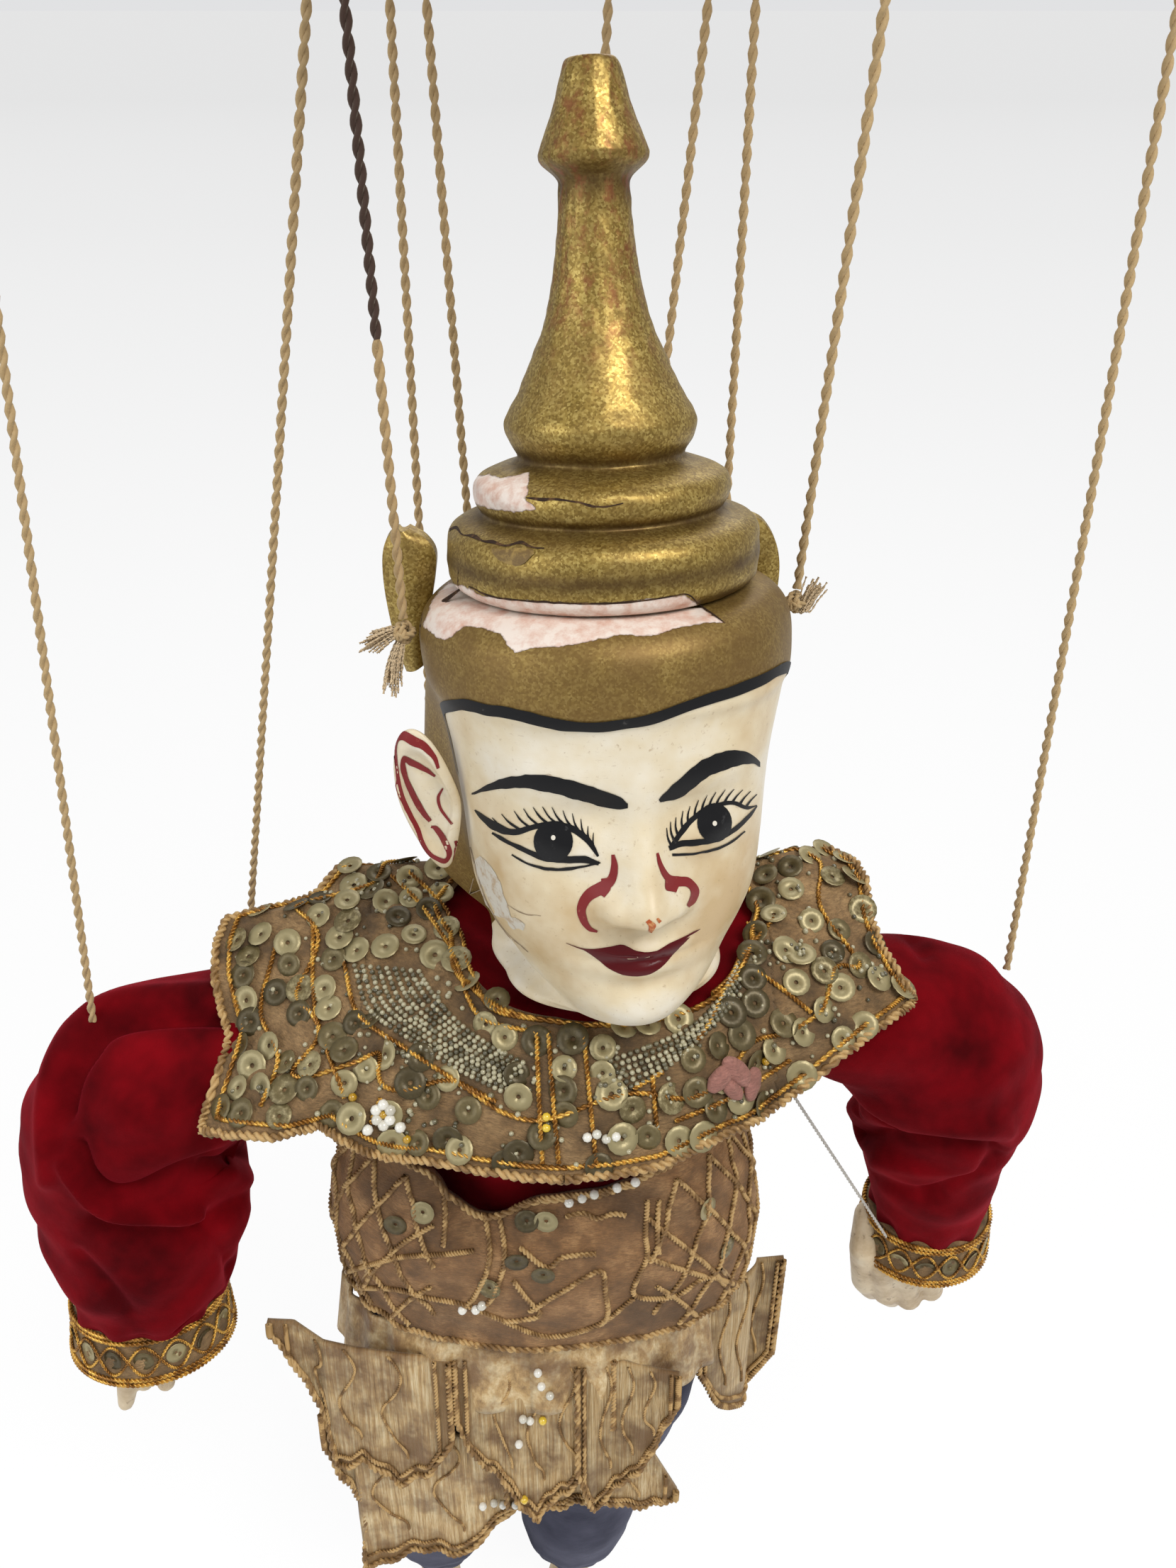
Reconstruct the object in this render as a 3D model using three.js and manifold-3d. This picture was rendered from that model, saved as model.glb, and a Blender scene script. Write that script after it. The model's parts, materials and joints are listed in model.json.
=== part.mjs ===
// A string marionette: a carved and gilded prince hung from a wooden hand control.
// Millimetres, +Z up, the figure faces -Y. Right and left are the figure's own, so right is -X.
// The origin is the top of the control's spine, where a hand holds it.
import * as THREE from "three";
import { mergeVertices } from "three/addons/utils/BufferGeometryUtils.js";
import { RoundedBoxGeometry } from "three/addons/geometries/RoundedBoxGeometry.js";
import Module from "manifold-3d";

// Driving dimensions of the figure
const clearance = 0.35; // between pieces that touch
const socketGap = 0.75; // between a ball and its cup
const overrun = 2; // how far a cutting shape runs past what it cuts
const twine = 1.9; // diameter of the strings
const thread = 0.9; // diameter of the left hand's thin thread
const bandRadius = 35; // of the crown's head band
const spireHeight = 91.4; // from the head band's middle to the tip
const neckDrop = 78; // from the head band's middle to the neck's lower end
const upperArmLength = 72;
const forearmLength = 74;
const thighLength = 80;
const shinLength = 76;
const clothThickness = 2.4;

// Places on the hanging figure, from the control
const headPlace = { x: 3.2, y: -1.7, z: -160.7 };
const bodyCentre = { x: -6, y: -8 };
const neckFoot = headPlace.z - neckDrop; // every height of the body hangs from the neck's lower end
const shoulderDrop = 13.3;
const waistDrop = 107.3;
const hipDrop = 135.3;
const shoulderHeight = neckFoot - shoulderDrop;
const shoulderSpacing = 80;
const shoulderBack = 6; // how far the shoulders stand behind the body's middle
const waistHeight = neckFoot - waistDrop;
const hipCentre = { x: -15, y: -10 };
const hipHeight = neckFoot - hipDrop;
const hipSpacing = 46;

const degrees = Math.PI / 180;
const wasm = await Module();
wasm.setup();

// Materials
function paint(colour, roughness, metalness = 0) {
  return new THREE.MeshStandardMaterial({ color: colour, roughness, metalness });
}
const bareWood = paint(0x9a6b3f, 0.7);
const creamPaint = paint(0xe9dcc3, 0.55);
const goldPaint = paint(0x9a7a2c, 0.45, 0.5);
const redVelvet = paint(0x7c0714, 0.9);
const navyVelvet = paint(0x33364a, 0.9);
const embroidery = paint(0xa98a62, 0.85);
const twineFibre = paint(0xb99a67, 0.95);

const figure = new THREE.Group();

// Solids: a closed geometry becomes a manifold, and comes back as a named mesh
function solid(geometry, matrix) {
  const bare = geometry.clone();
  bare.deleteAttribute("normal");
  bare.deleteAttribute("uv");
  if (matrix) bare.applyMatrix4(matrix);
  const merged = mergeVertices(bare, clearance / 1000);
  const made = new wasm.Manifold(
    new wasm.Mesh({
      numProp: 3,
      vertProperties: merged.attributes.position.array,
      triVerts: new Uint32Array(merged.index.array),
    }),
  );
  if (made.volume() >= 0) return made;
  const turned = new Uint32Array(merged.index.array);
  for (let i = 0; i < turned.length; i += 3) {
    [turned[i + 1], turned[i + 2]] = [turned[i + 2], turned[i + 1]];
  }
  return new wasm.Manifold(
    new wasm.Mesh({
      numProp: 3,
      vertProperties: merged.attributes.position.array,
      triVerts: turned,
    }),
  );
}

function piece(name, body, material, parent = figure) {
  const source = body.getMesh();
  const geometry = new THREE.BufferGeometry();
  geometry.setAttribute("position", new THREE.BufferAttribute(source.vertProperties, source.numProp));
  geometry.setIndex(new THREE.BufferAttribute(source.triVerts, 1));
  geometry.computeVertexNormals();
  const mesh = new THREE.Mesh(geometry, material);
  mesh.name = name;
  parent.add(mesh);
  return mesh;
}

function joined(bodies) {
  return bodies.reduce((all, body) => all.add(body));
}

function move(x, y, z) {
  return new THREE.Matrix4().makeTranslation(x, y, z);
}

// Rings of equal count become one closed skin: a tube with a bore, or a body with end caps
function loft(rings, bored) {
  const count = rings[0].length;
  const points = rings.flat();
  const faces = [];
  const spans = bored ? rings.length : rings.length - 1;
  for (let r = 0; r < spans; r += 1) {
    const low = r * count;
    const high = ((r + 1) % rings.length) * count;
    for (let i = 0; i < count; i += 1) {
      const next = (i + 1) % count;
      faces.push(low + i, low + next, high + next, low + i, high + next, high + i);
    }
  }
  if (!bored) {
    for (const [ring, start] of [[rings[0], 0], [rings.at(-1), (rings.length - 1) * count]]) {
      const middle = new THREE.Vector3();
      ring.forEach((point) => middle.addScaledVector(point, 1 / count));
      points.push(middle);
      for (let i = 0; i < count; i += 1) {
        const next = (i + 1) % count;
        const fan = start === 0 ? [start + next, start + i] : [start + i, start + next];
        faces.push(...fan, points.length - 1);
      }
    }
  }
  const geometry = new THREE.BufferGeometry().setFromPoints(points);
  geometry.setIndex(faces);
  return geometry;
}

// An oval ring at height z: half width across, and reach to the front and to the back
function oval(x, y, z, across, front, back, sides, power = 2) {
  return Array.from({ length: sides }, (unused, i) => {
    const angle = (i / sides) * 2 * Math.PI;
    const s = Math.sin(angle);
    const c = Math.cos(angle);
    const bend = 2 / power;
    const reach = c > 0 ? front : back;
    return new THREE.Vector3(
      x + across * Math.sign(s) * Math.abs(s) ** bend,
      y - reach * Math.sign(c) * Math.abs(c) ** bend,
      z,
    );
  });
}

// A smooth value from a table of [place, value, ...] rows
function fromTable(table, place, column) {
  const last = table.length - 1;
  if (place <= table[0][0]) return table[0][column];
  if (place >= table[last][0]) return table[last][column];
  const i = table.findIndex((row) => row[0] > place) - 1;
  const share = (place - table[i][0]) / (table[i + 1][0] - table[i][0]);
  const before = table[Math.max(i - 1, 0)][column];
  const after = table[Math.min(i + 2, last)][column];
  const a = table[i][column];
  const b = table[i + 1][column];
  const slopeA = (b - before) / 2;
  const slopeB = (after - a) / 2;
  const s2 = share * share;
  const s3 = s2 * share;
  return (
    a * (2 * s3 - 3 * s2 + 1) + b * (3 * s2 - 2 * s3) + slopeA * (s3 - 2 * s2 + share) + slopeB * (s3 - s2)
  );
}

function straightValue(table, place, column) {
  const i = Math.min(Math.max(table.findIndex((row) => row[0] >= place), 1), table.length - 1);
  const share = (place - table[i - 1][0]) / (table[i][0] - table[i - 1][0]);
  return THREE.MathUtils.lerp(table[i - 1][column], table[i][column], share);
}

// The hand control: a spine with three crossbars pegged under it
const spine = { length: 150, width: 20, thickness: 12, rear: 98, corner: 3 };
const bar = { width: 15, thickness: 8, endMargin: 9, corner: 2.5 };
const peg = { radius: 2.6, sides: 12, standing: 1.5 };
const temple = { forward: -8, halfSpan: 38.5, centre: 4.6 };
const arms = { forward: 22, halfSpan: 94, centre: -1.9, handString: -36.3 };
const rear = { forward: 52, shoulderSpan: 32.5, waistSpan: 27.8, centre: -2.4, backString: 6.2 };
const barTop = -spine.thickness - clearance;
const barUnder = barTop - bar.thickness;
const cornerRounds = 1;

function roundedBar(x, y, top, alongX, alongY, thickness, corner) {
  const shape = new RoundedBoxGeometry(alongX, alongY, thickness, cornerRounds, corner);
  return solid(shape, move(x, y, top - thickness / 2));
}

function peghole(x, y, radius) {
  const deep = spine.thickness + bar.thickness + overrun;
  const shape = new THREE.CylinderGeometry(radius, radius, deep + 2 * overrun, peg.sides);
  shape.rotateX(Math.PI / 2);
  return solid(shape, move(x, y, -deep / 2));
}

const spineMiddle = spine.rear - spine.length / 2;
let spineBody = roundedBar(0, spineMiddle, 0, spine.width, spine.length, spine.thickness, spine.corner);
const crossbars = [
  ["control_front_bar", "control_peg_front", temple.forward, temple.centre, temple.halfSpan],
  ["control_arm_bar", "control_peg_arm", arms.forward, arms.centre, arms.halfSpan],
  ["control_rear_bar", "control_peg_rear", rear.forward, rear.centre, rear.shoulderSpan],
];
for (const [barName, pegName, forward, centre, halfSpan] of crossbars) {
  const length = 2 * (halfSpan + bar.endMargin);
  const hole = peghole(0, forward, peg.radius + clearance);
  const body = roundedBar(centre, forward, barTop, length, bar.width, bar.thickness, bar.corner);
  piece(barName, body.subtract(hole), bareWood);
  spineBody = spineBody.subtract(hole);
  const deep = spine.thickness + clearance + bar.thickness;
  const shape = new THREE.CylinderGeometry(peg.radius, peg.radius, deep + peg.standing, peg.sides);
  shape.rotateX(Math.PI / 2);
  piece(pegName, solid(shape, move(0, forward, (peg.standing - deep) / 2)), bareWood);
}
piece("control_spine", spineBody, bareWood);

// The head's own frame: its axis leans back, the face turns to the figure's left
const headLean = { back: 9.9 * degrees, aside: 1.7 * degrees, turn: 10 * degrees };
const head = new THREE.Group();
head.position.set(headPlace.x, headPlace.y, headPlace.z);
head.rotation.set(-headLean.back, -headLean.aside, headLean.turn, "XYZ");
head.updateMatrixWorld(true);
figure.add(head);

function onHead(x, y, z) {
  return new THREE.Vector3(x, y, z).applyMatrix4(head.matrixWorld);
}

// The turned crown: [height, radius] as shares of the spire's height and of the band's radius
const crownFoot = 7.6; // above the band's middle
const crownSides = 22;
const crownProfileShares = [
  [1, 0.1], [0.99, 0.126], [0.93, 0.178], [0.862, 0.252], [0.848, 0.262], [0.836, 0.246],
  [0.812, 0.176], [0.79, 0.171], [0.722, 0.186], [0.638, 0.22], [0.569, 0.266], [0.52, 0.323],
  [0.454, 0.406], [0.41, 0.474], [0.386, 0.49], [0.359, 0.466], [0.335, 0.434], [0.323, 0.45],
  [0.312, 0.543], [0.296, 0.637], [0.272, 0.666], [0.247, 0.654], [0.232, 0.636], [0.223, 0.66],
  [0.21, 0.76], [0.192, 0.808], [0.153, 0.823], [0.107, 0.817], [0.091, 0.79],
];
const crownProfile = crownProfileShares.map(
  ([height, radius]) => new THREE.Vector2(radius * bandRadius, height * spireHeight),
);
crownProfile.unshift(new THREE.Vector2(0, spireHeight));
crownProfile.push(new THREE.Vector2(crownProfile.at(-1).x, crownFoot));
crownProfile.push(new THREE.Vector2(0, crownFoot));
const crownLathe = new THREE.LatheGeometry(crownProfile, crownSides);
crownLathe.rotateX(Math.PI / 2);
piece("crown", solid(crownLathe), goldPaint, head);

// The carved head: rows of [place down the head, height in front, height behind, half width in front,
// half width behind, front, back, squareness]. Heights are shares of the head's height below the band's
// top, the rest shares of the band's radius.
const bandTop = crownFoot - clearance;
const headHeight = neckDrop + bandTop;
const headSectionShares = [
  [0, 0, 0, 0.766, 0.766, 0.766, 0.766, 2],
  [0.059, -0.0147, -0.0147, 0.886, 0.886, 0.886, 0.886, 2],
  [0.118, -0.0449, -0.0449, 0.966, 0.966, 0.966, 0.966, 2],
  [0.176, -0.0847, -0.0847, 1, 1, 1, 1, 2],
  [0.235, -0.137, -0.137, 1.003, 1.009, 1.006, 1.006, 2.05],
  [0.294, -0.179, -0.1886, 0.989, 1.034, 0.997, 1.017, 2.1],
  [0.353, -0.2188, -0.2262, 0.949, 1.057, 0.96, 1, 2.15],
  [0.412, -0.302, -0.3197, 0.9, 1.097, 0.943, 0.97, 2.3],
  [0.471, -0.4368, -0.4604, 0.863, 1.137, 0.903, 0.943, 2.3],
  [0.529, -0.5658, -0.5775, 0.846, 1.16, 0.903, 0.9, 2.25],
  [0.588, -0.6777, -0.6777, 0.817, 1.149, 0.903, 0.857, 2.2],
  [0.647, -0.7477, -0.7418, 0.766, 1.097, 0.903, 0.8, 2.1],
  [0.706, -0.8066, -0.7949, 0.694, 0.971, 0.891, 0.72, 2.05],
  [0.765, -0.8884, -0.8361, 0.6, 0.829, 0.88, 0.657, 2],
  [0.824, -0.9532, -0.8943, 0.5, 0.806, 0.783, 0.586, 2],
  [0.882, -0.9717, -0.9473, 0.643, 0.806, 0.6, 0.543, 2],
  [0.941, -0.9886, -0.9834, 0.657, 0.743, 0.543, 0.5, 2],
  [1, -1, -1, 0.557, 0.629, 0.457, 0.429, 2],
];
const neck = { hole: 2.4, holeDepth: 9 };
const headSides = 36;
const headRows = 28;
const frontCrowding = 1.35; // the front of the head has the closest points
const rearShares = { from: 0.26, to: -0.06 }; // where the front's width gives way to the width behind
const nose = { length: 22, width: 4.6, tipWidth: 7.2, height: 7.4, tipDrop: 45, underHeight: 3.5 };
const lips = { drop: 56.6, width: 11.5, height: 3.6, depth: 1.5 };
const eye = { drop: 31.5, aside: 12.5, width: 8.5, height: 5, depth: 1.6 };
const chin = { drop: 70.5, width: 8, height: 6, depth: 1.6 };
const cheek = { drop: 44, aside: 19, size: 10, depth: 1.1 };

function bump(x, z, centreX, centreZ, sizeX, sizeZ) {
  return Math.exp(-(((x - centreX) / sizeX) ** 2) - ((z - centreZ) / sizeZ) ** 2);
}

function faceRelief(x, z) {
  const down = THREE.MathUtils.clamp((-z - (nose.tipDrop - nose.length)) / nose.length, 0, 1);
  const under = THREE.MathUtils.smoothstep(z, -nose.tipDrop - nose.underHeight, -nose.tipDrop);
  const width = THREE.MathUtils.lerp(nose.width, nose.tipWidth, down ** 3);
  let out = nose.height * down ** 1.6 * under * Math.exp(-((x / width) ** 2) * 2);
  out += lips.depth * bump(x, z, 0, -lips.drop, lips.width, lips.height);
  out += chin.depth * bump(x, z, 0, -chin.drop, chin.width, chin.height);
  for (const side of [-1, 1]) {
    out -= eye.depth * bump(x, z, side * eye.aside, -eye.drop, eye.width, eye.height);
    out += cheek.depth * bump(x, z, side * cheek.aside, -cheek.drop, cheek.size, cheek.size);
  }
  return out;
}

function headAngle(i) {
  const turn = (i / headSides) * 2 - 1;
  return Math.PI * Math.sign(turn) * Math.abs(turn) ** frontCrowding;
}

const headRings = [];
for (let row = 0; row <= headRows; row += 1) {
  const place = row / headRows;
  const [front, back, across, acrossBehind, forward, behind, power] = [1, 2, 3, 4, 5, 6, 7].map((column) =>
    fromTable(headSectionShares, place, column),
  );
  const ring = [];
  for (let i = 0; i < headSides; i += 1) {
    const angle = headAngle(i);
    const s = Math.sin(angle);
    const c = Math.cos(angle);
    const bend = 2 / power;
    const rear = 1 - THREE.MathUtils.smoothstep(c, rearShares.to, rearShares.from);
    const width = THREE.MathUtils.lerp(across, acrossBehind, rear) * bandRadius;
    const x = width * Math.sign(s) * Math.abs(s) ** bend;
    const reach = (c > 0 ? forward : behind) * bandRadius;
    const height = THREE.MathUtils.lerp(back, front, (1 + c) / 2) * headHeight + bandTop;
    const y = -reach * Math.sign(c) * Math.abs(c) ** bend;
    const relief = c > 0 ? faceRelief(x, height) * c : 0;
    ring.push(new THREE.Vector3(x, y - relief, height));
  }
  headRings.push(ring);
}
const ear = { out: 36.2, back: -0.5, drop: 35.2, height: 32, width: 13.5, thickness: 5.4 };
const earTurn = { lean: -5 * degrees, roll: 17 * degrees, turn: 38 * degrees };
const hollow = { out: 2.8, height: 20, width: 7.5, thickness: 3 };
const ballSides = 10;

function ellipsoid(x, y, z, across, deep, high) {
  const shape = new THREE.SphereGeometry(1, ballSides, ballSides / 2);
  shape.scale(across / 2, deep / 2, high / 2);
  return solid(shape, move(x, y, z));
}

let headBody = solid(loft(headRings, false));
for (const side of [-1, 1]) {
  const turned = new THREE.Euler(earTurn.lean, side * earTurn.roll, -side * earTurn.turn, "ZYX");
  const atEar = new THREE.Matrix4().makeRotationFromEuler(turned);
  atEar.setPosition(side * ear.out, ear.back, -ear.drop);
  const shell = ellipsoid(0, 0, 0, ear.thickness, ear.width, ear.height);
  const dish = ellipsoid(side * hollow.out, 0, 0, hollow.thickness, hollow.width, hollow.height);
  headBody = headBody.add(shell.subtract(dish).transform(atEar.elements));
}
const neckHole = new THREE.CylinderGeometry(neck.hole, neck.hole, neck.holeDepth + overrun, peg.sides);
neckHole.rotateX(Math.PI / 2);
headBody = headBody.subtract(solid(neckHole, move(0, 0, -neckDrop + (neck.holeDepth - overrun) / 2)));
piece("head", headBody, creamPaint, head);

// The leaf shaped wings of the crown, glued to the head's band behind the ears
const wing = {
  height: 27, reach: 12, thickness: 2.4, bevel: 0.6, drop: 11, place: 101 * degrees, sweep: 38 * degrees,
};
// outline as shares of the wing's reach out from the band and of its height
const wingOutlineShares = [
  [-0.4, 0.02], [0.12, 0], [0.52, 0.14], [0.62, 0.34], [0.94, 0.46], [0.86, 0.7], [1, 1], [0.66, 0.9],
  [0.34, 0.8], [0.2, 0.66], [-0.4, 0.62],
];
const wingPoints = 30;
for (const [name, side] of [["crown_wing_right", -1], ["crown_wing_left", 1]]) {
  const points = wingOutlineShares.map(
    ([out, up]) => new THREE.Vector2(side * out * wing.reach, up * wing.height - wing.drop),
  );
  const curve = new THREE.SplineCurve([...points, points[0]]);
  const leaf = new THREE.ExtrudeGeometry(new THREE.Shape(curve.getPoints(wingPoints).slice(0, -1)), {
    depth: wing.thickness,
    bevelEnabled: true,
    bevelSize: wing.bevel,
    bevelThickness: wing.bevel,
    bevelSegments: 1,
    steps: 1,
  });
  leaf.translate(0, 0, -wing.thickness / 2);
  leaf.rotateX(Math.PI / 2);
  leaf.rotateZ(side * wing.sweep);
  const x = side * bandRadius * Math.sin(wing.place);
  const body = solid(leaf, move(x, -bandRadius * Math.cos(wing.place), 0));
  piece(name, largest(body.subtract(headBody.add(ringGuard(2 * clearance)))), goldPaint, head);
}

// What keeps the wings clear of the band they stand against
function ringGuard(gap) {
  const shape = new THREE.CylinderGeometry(bandRadius + gap, bandRadius + gap, 2 * spireHeight, headSides);
  shape.rotateX(Math.PI / 2);
  return solid(shape);
}

// Knots of the two head strings on the band, over the ears
const knot = { radius: 2.5, sides: 10 };
const templeTurn = 2 * degrees;
const knots = [["temple_knot_right", -1], ["temple_knot_left", 1]].map(([name, side]) => {
  const out = bandRadius + clearance + knot.radius;
  const place = onHead(side * out * Math.cos(templeTurn), 0, 0);
  const shape = new THREE.SphereGeometry(knot.radius, knot.sides, knot.sides / 2);
  piece(name, solid(shape, move(place.x, place.y, place.z)), twineFibre);
  return place;
});

// The torso: rows of [height below the shoulders, half width, half depth] as shares
const torso = { height: 90, halfWidth: 39.5, halfDepth: 17.5, rise: 1, power: 2.4 };
const torsoSectionShares = [
  [0, 0.78, 0.8], [0.08, 1, 0.97], [0.25, 1, 1.03], [0.5, 0.87, 0.98], [0.8, 0.77, 0.93], [1, 0.76, 0.92],
];
const bodySides = 24;
const torsoTop = shoulderHeight + torso.rise;

function bodySection(z, grow) {
  const place = THREE.MathUtils.clamp((torsoTop - z) / torso.height, 0, 1);
  const across = fromTable(torsoSectionShares, place, 1) * torso.halfWidth + grow;
  const deep = fromTable(torsoSectionShares, place, 2) * torso.halfDepth + grow;
  return oval(bodyCentre.x, bodyCentre.y, z, across, deep, deep, bodySides, torso.power);
}

const shoulderBall = { radius: 8, sides: 14, roomRadius: 13.6 };
const shoulders = [-1, 1].map((side) => {
  const across = bodyCentre.x + (side * shoulderSpacing) / 2;
  return new THREE.Vector3(across, bodyCentre.y + shoulderBack, shoulderHeight);
});
const waistPeg = { radius: 5, length: 20 };
const torsoRows = 5;
const torsoRings = Array.from({ length: torsoRows + 1 }, (unused, i) =>
  bodySection(torsoTop - (torso.height * i) / torsoRows, 0),
);
let torsoBody = solid(loft(torsoRings, false));
const shoulderCup = shoulderBall.radius + socketGap;
for (const place of shoulders) {
  const cup = new THREE.SphereGeometry(shoulderCup, shoulderBall.sides, shoulderBall.sides / 2);
  torsoBody = torsoBody.subtract(solid(cup, move(place.x, place.y, place.z)));
}
const torsoFoot = torsoTop - torso.height;
const waistBore = new THREE.CylinderGeometry(
  waistPeg.radius + clearance, waistPeg.radius + clearance, waistPeg.length + overrun, peg.sides,
);
waistBore.rotateX(Math.PI / 2);
const waistPegAcross = hipCentre.x + waistPeg.radius;
torsoBody = torsoBody.subtract(
  solid(waistBore, move(waistPegAcross, bodyCentre.y, torsoFoot + (waistPeg.length - overrun) / 2)),
);

// The cord that ties the neck to the torso
const neckEnd = onHead(0, 0, -neckDrop);
const neckCord = { radius: 1.5, sides: 10, sunk: 6, bendShare: 0.4, steps: 6 };
const cordTop = onHead(0, 0, -neckDrop + neck.holeDepth - clearance);
const cordFoot = new THREE.Vector3(neckEnd.x, neckEnd.y, torsoTop - neckCord.sunk + clearance);
const cordHole = new THREE.CylinderGeometry(neck.hole, neck.hole, neckCord.sunk + overrun, peg.sides);
cordHole.rotateX(Math.PI / 2);
torsoBody = torsoBody.subtract(
  solid(cordHole, move(neckEnd.x, neckEnd.y, torsoTop - (neckCord.sunk - overrun) / 2)),
);
piece("torso", torsoBody, bareWood);

function tube(points, radius, sides, steps) {
  const curve = points.length === 2 ? new THREE.LineCurve3(...points) : new THREE.CatmullRomCurve3(points);
  const section = new THREE.Shape(
    Array.from({ length: sides }, (unused, i) => {
      const angle = (i / sides) * 2 * Math.PI;
      return new THREE.Vector2(radius * Math.cos(angle), radius * Math.sin(angle));
    }),
  );
  return solid(new THREE.ExtrudeGeometry(section, { steps, extrudePath: curve, bevelEnabled: false }));
}
const neckMiddle = neckEnd.clone().lerp(cordFoot, neckCord.bendShare);
const neckPath = [cordTop, neckEnd, neckMiddle, cordFoot];
piece("neck_cord", tube(neckPath, neckCord.radius, neckCord.sides, neckCord.steps), twineFibre);

// The cape, about its middle: [turn from the front round by the figure's right, reach, drop] as shares
const cape = { x: -4, y: -12, rise: 5.2, reach: 88, drop: 46, bulge: 2.5 };
const capeOutlineShares = [
  [0.003, 0.464, 0.609], [0.042, 0.456, 0.643], [0.081, 0.472, 0.68], [0.119, 0.511, 0.693],
  [0.136, 0.56, 0.698], [0.161, 0.651, 0.626], [0.174, 0.675, 0.617], [0.18, 0.789, 0.639],
  [0.191, 0.867, 0.678], [0.204, 0.953, 0.726], [0.229, 0.892, 0.563], [0.238, 0.879, 0.502],
  [0.26, 0.935, 0.354], [0.274, 0.952, 0.263], [0.284, 0.946, 0.198], [0.299, 0.783, 0.139],
  [0.324, 0.708, 0.039], [0.371, 0.534, 0.283], [0.494, 0.359, 0.5], [0.636, 0.572, 0.272],
  [0.671, 0.788, -0.011], [0.702, 0.82, -0.002], [0.72, 0.795, 0.083], [0.749, 0.84, 0.241],
  [0.757, 0.869, 0.285], [0.777, 0.758, 0.365], [0.812, 0.616, 0.504], [0.829, 0.569, 0.554],
  [0.877, 0.514, 0.546], [0.929, 0.482, 0.587], [0.966, 0.467, 0.604], [1.003, 0.464, 0.609],
];
const capeTop = neckFoot + cape.rise;
// its neck opening, about the neck's middle: [turn, reach] as shares
const neckline = { x: 3, y: -5, reach: 40 };
const capeNeckDrop = { front: 7, back: 1 };
const necklineShares = [
  [0, 0.6], [0.0625, 0.62], [0.125, 0.71], [0.1875, 0.76], [0.25, 0.77], [0.29, 0.93], [0.33, 0.93],
  [0.4, 0.6], [0.5, 0.47], [0.6, 0.6], [0.67, 0.9], [0.72, 0.88], [0.75, 0.8], [0.8125, 0.77],
  [0.875, 0.71], [0.9375, 0.62], [1, 0.6],
];
const columnsPerSpan = 2;
const capeRows = 3;

function capePoint(turn, out) {
  const angle = turn * 2 * Math.PI;
  const c = Math.cos(angle);
  const neckReach = fromTable(necklineShares, turn % 1, 1) * neckline.reach;
  const inner = new THREE.Vector3(
    neckline.x - neckReach * Math.sin(angle), neckline.y - neckReach * c,
    capeTop - THREE.MathUtils.lerp(capeNeckDrop.back, capeNeckDrop.front, (1 + c) / 2),
  );
  const reach = straightValue(capeOutlineShares, turn, 1) * cape.reach;
  const drop = straightValue(capeOutlineShares, turn, 2) * cape.drop;
  const outer = new THREE.Vector3(
    cape.x - reach * Math.sin(angle), cape.y - reach * c, capeTop - drop,
  );
  const point = inner.lerp(outer, out);
  point.z += cape.bulge * Math.sin(Math.PI * out);
  return point;
}

function capeColumns() {
  const turns = [];
  for (let i = 0; i < capeOutlineShares.length - 1; i += 1) {
    for (let k = 0; k < columnsPerSpan; k += 1) {
      const share = k / columnsPerSpan;
      turns.push(THREE.MathUtils.lerp(capeOutlineShares[i][0], capeOutlineShares[i + 1][0], share));
    }
  }
  return turns;
}
const capeTurns = capeColumns();
const capeTopRings = [];
const capeUnderRings = [];
for (let row = 0; row <= capeRows; row += 1) {
  const out = row / capeRows;
  capeTopRings.push(capeTurns.map((turn) => capePoint(turn, out)));
  capeUnderRings.unshift(
    capeTurns.map((turn) => {
      const point = capePoint(turn, out);
      point.z -= clothThickness;
      return point;
    }),
  );
}
const capeBody = solid(loft([...capeTopRings, ...capeUnderRings], true));
piece("cape", capeBody, embroidery);

// The room the cape takes from what lies under it: all that is above its underside
const capeLift = 60;
const capeRoomMargin = 1;
const raised = (ring, rise, grow) =>
  ring.map((point) => {
    const away = new THREE.Vector3(point.x - cape.x, point.y - cape.y, 0).normalize();
    return point.clone().addScaledVector(away, grow).setZ(point.z + rise);
  });
const capeEdge = capeUnderRings[0];
const capeRoom = solid(
  loft(
    [
      ...[...capeUnderRings].reverse().map((ring) => raised(ring, -clearance, 0)),
      raised(capeEdge, -clearance, capeRoomMargin),
      raised(capeEdge, capeLift, capeRoomMargin),
      raised(capeUnderRings.at(-1), capeLift, 0),
    ],
    true,
  ),
);

// Limbs hang along their own -Z from a joint, with -Y forward
function limbMatrix(from, to) {
  const down = to.clone().sub(from).normalize();
  const z = down.clone().negate();
  const y = new THREE.Vector3(0, 1, 0).addScaledVector(z, -z.y).normalize();
  const x = new THREE.Vector3().crossVectors(y, z);
  return new THREE.Matrix4().makeBasis(x, y, z).setPosition(from);
}

const bone = { ball: 6, shaft: 5, wrist: 4.5, cupWall: 1.8, wristBall: 4.4, sides: 10 };
const ballTurn = 128 * degrees; // how far the ball's profile runs from its crown
// places along a limb and radii, as shares of the cup's rim or of the ball
const limbShares = { neck: 1.5, end: 0.95, swell: 1.2, lip: 0.35, rim: 0.92 };
const ballRows = 4;

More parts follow.
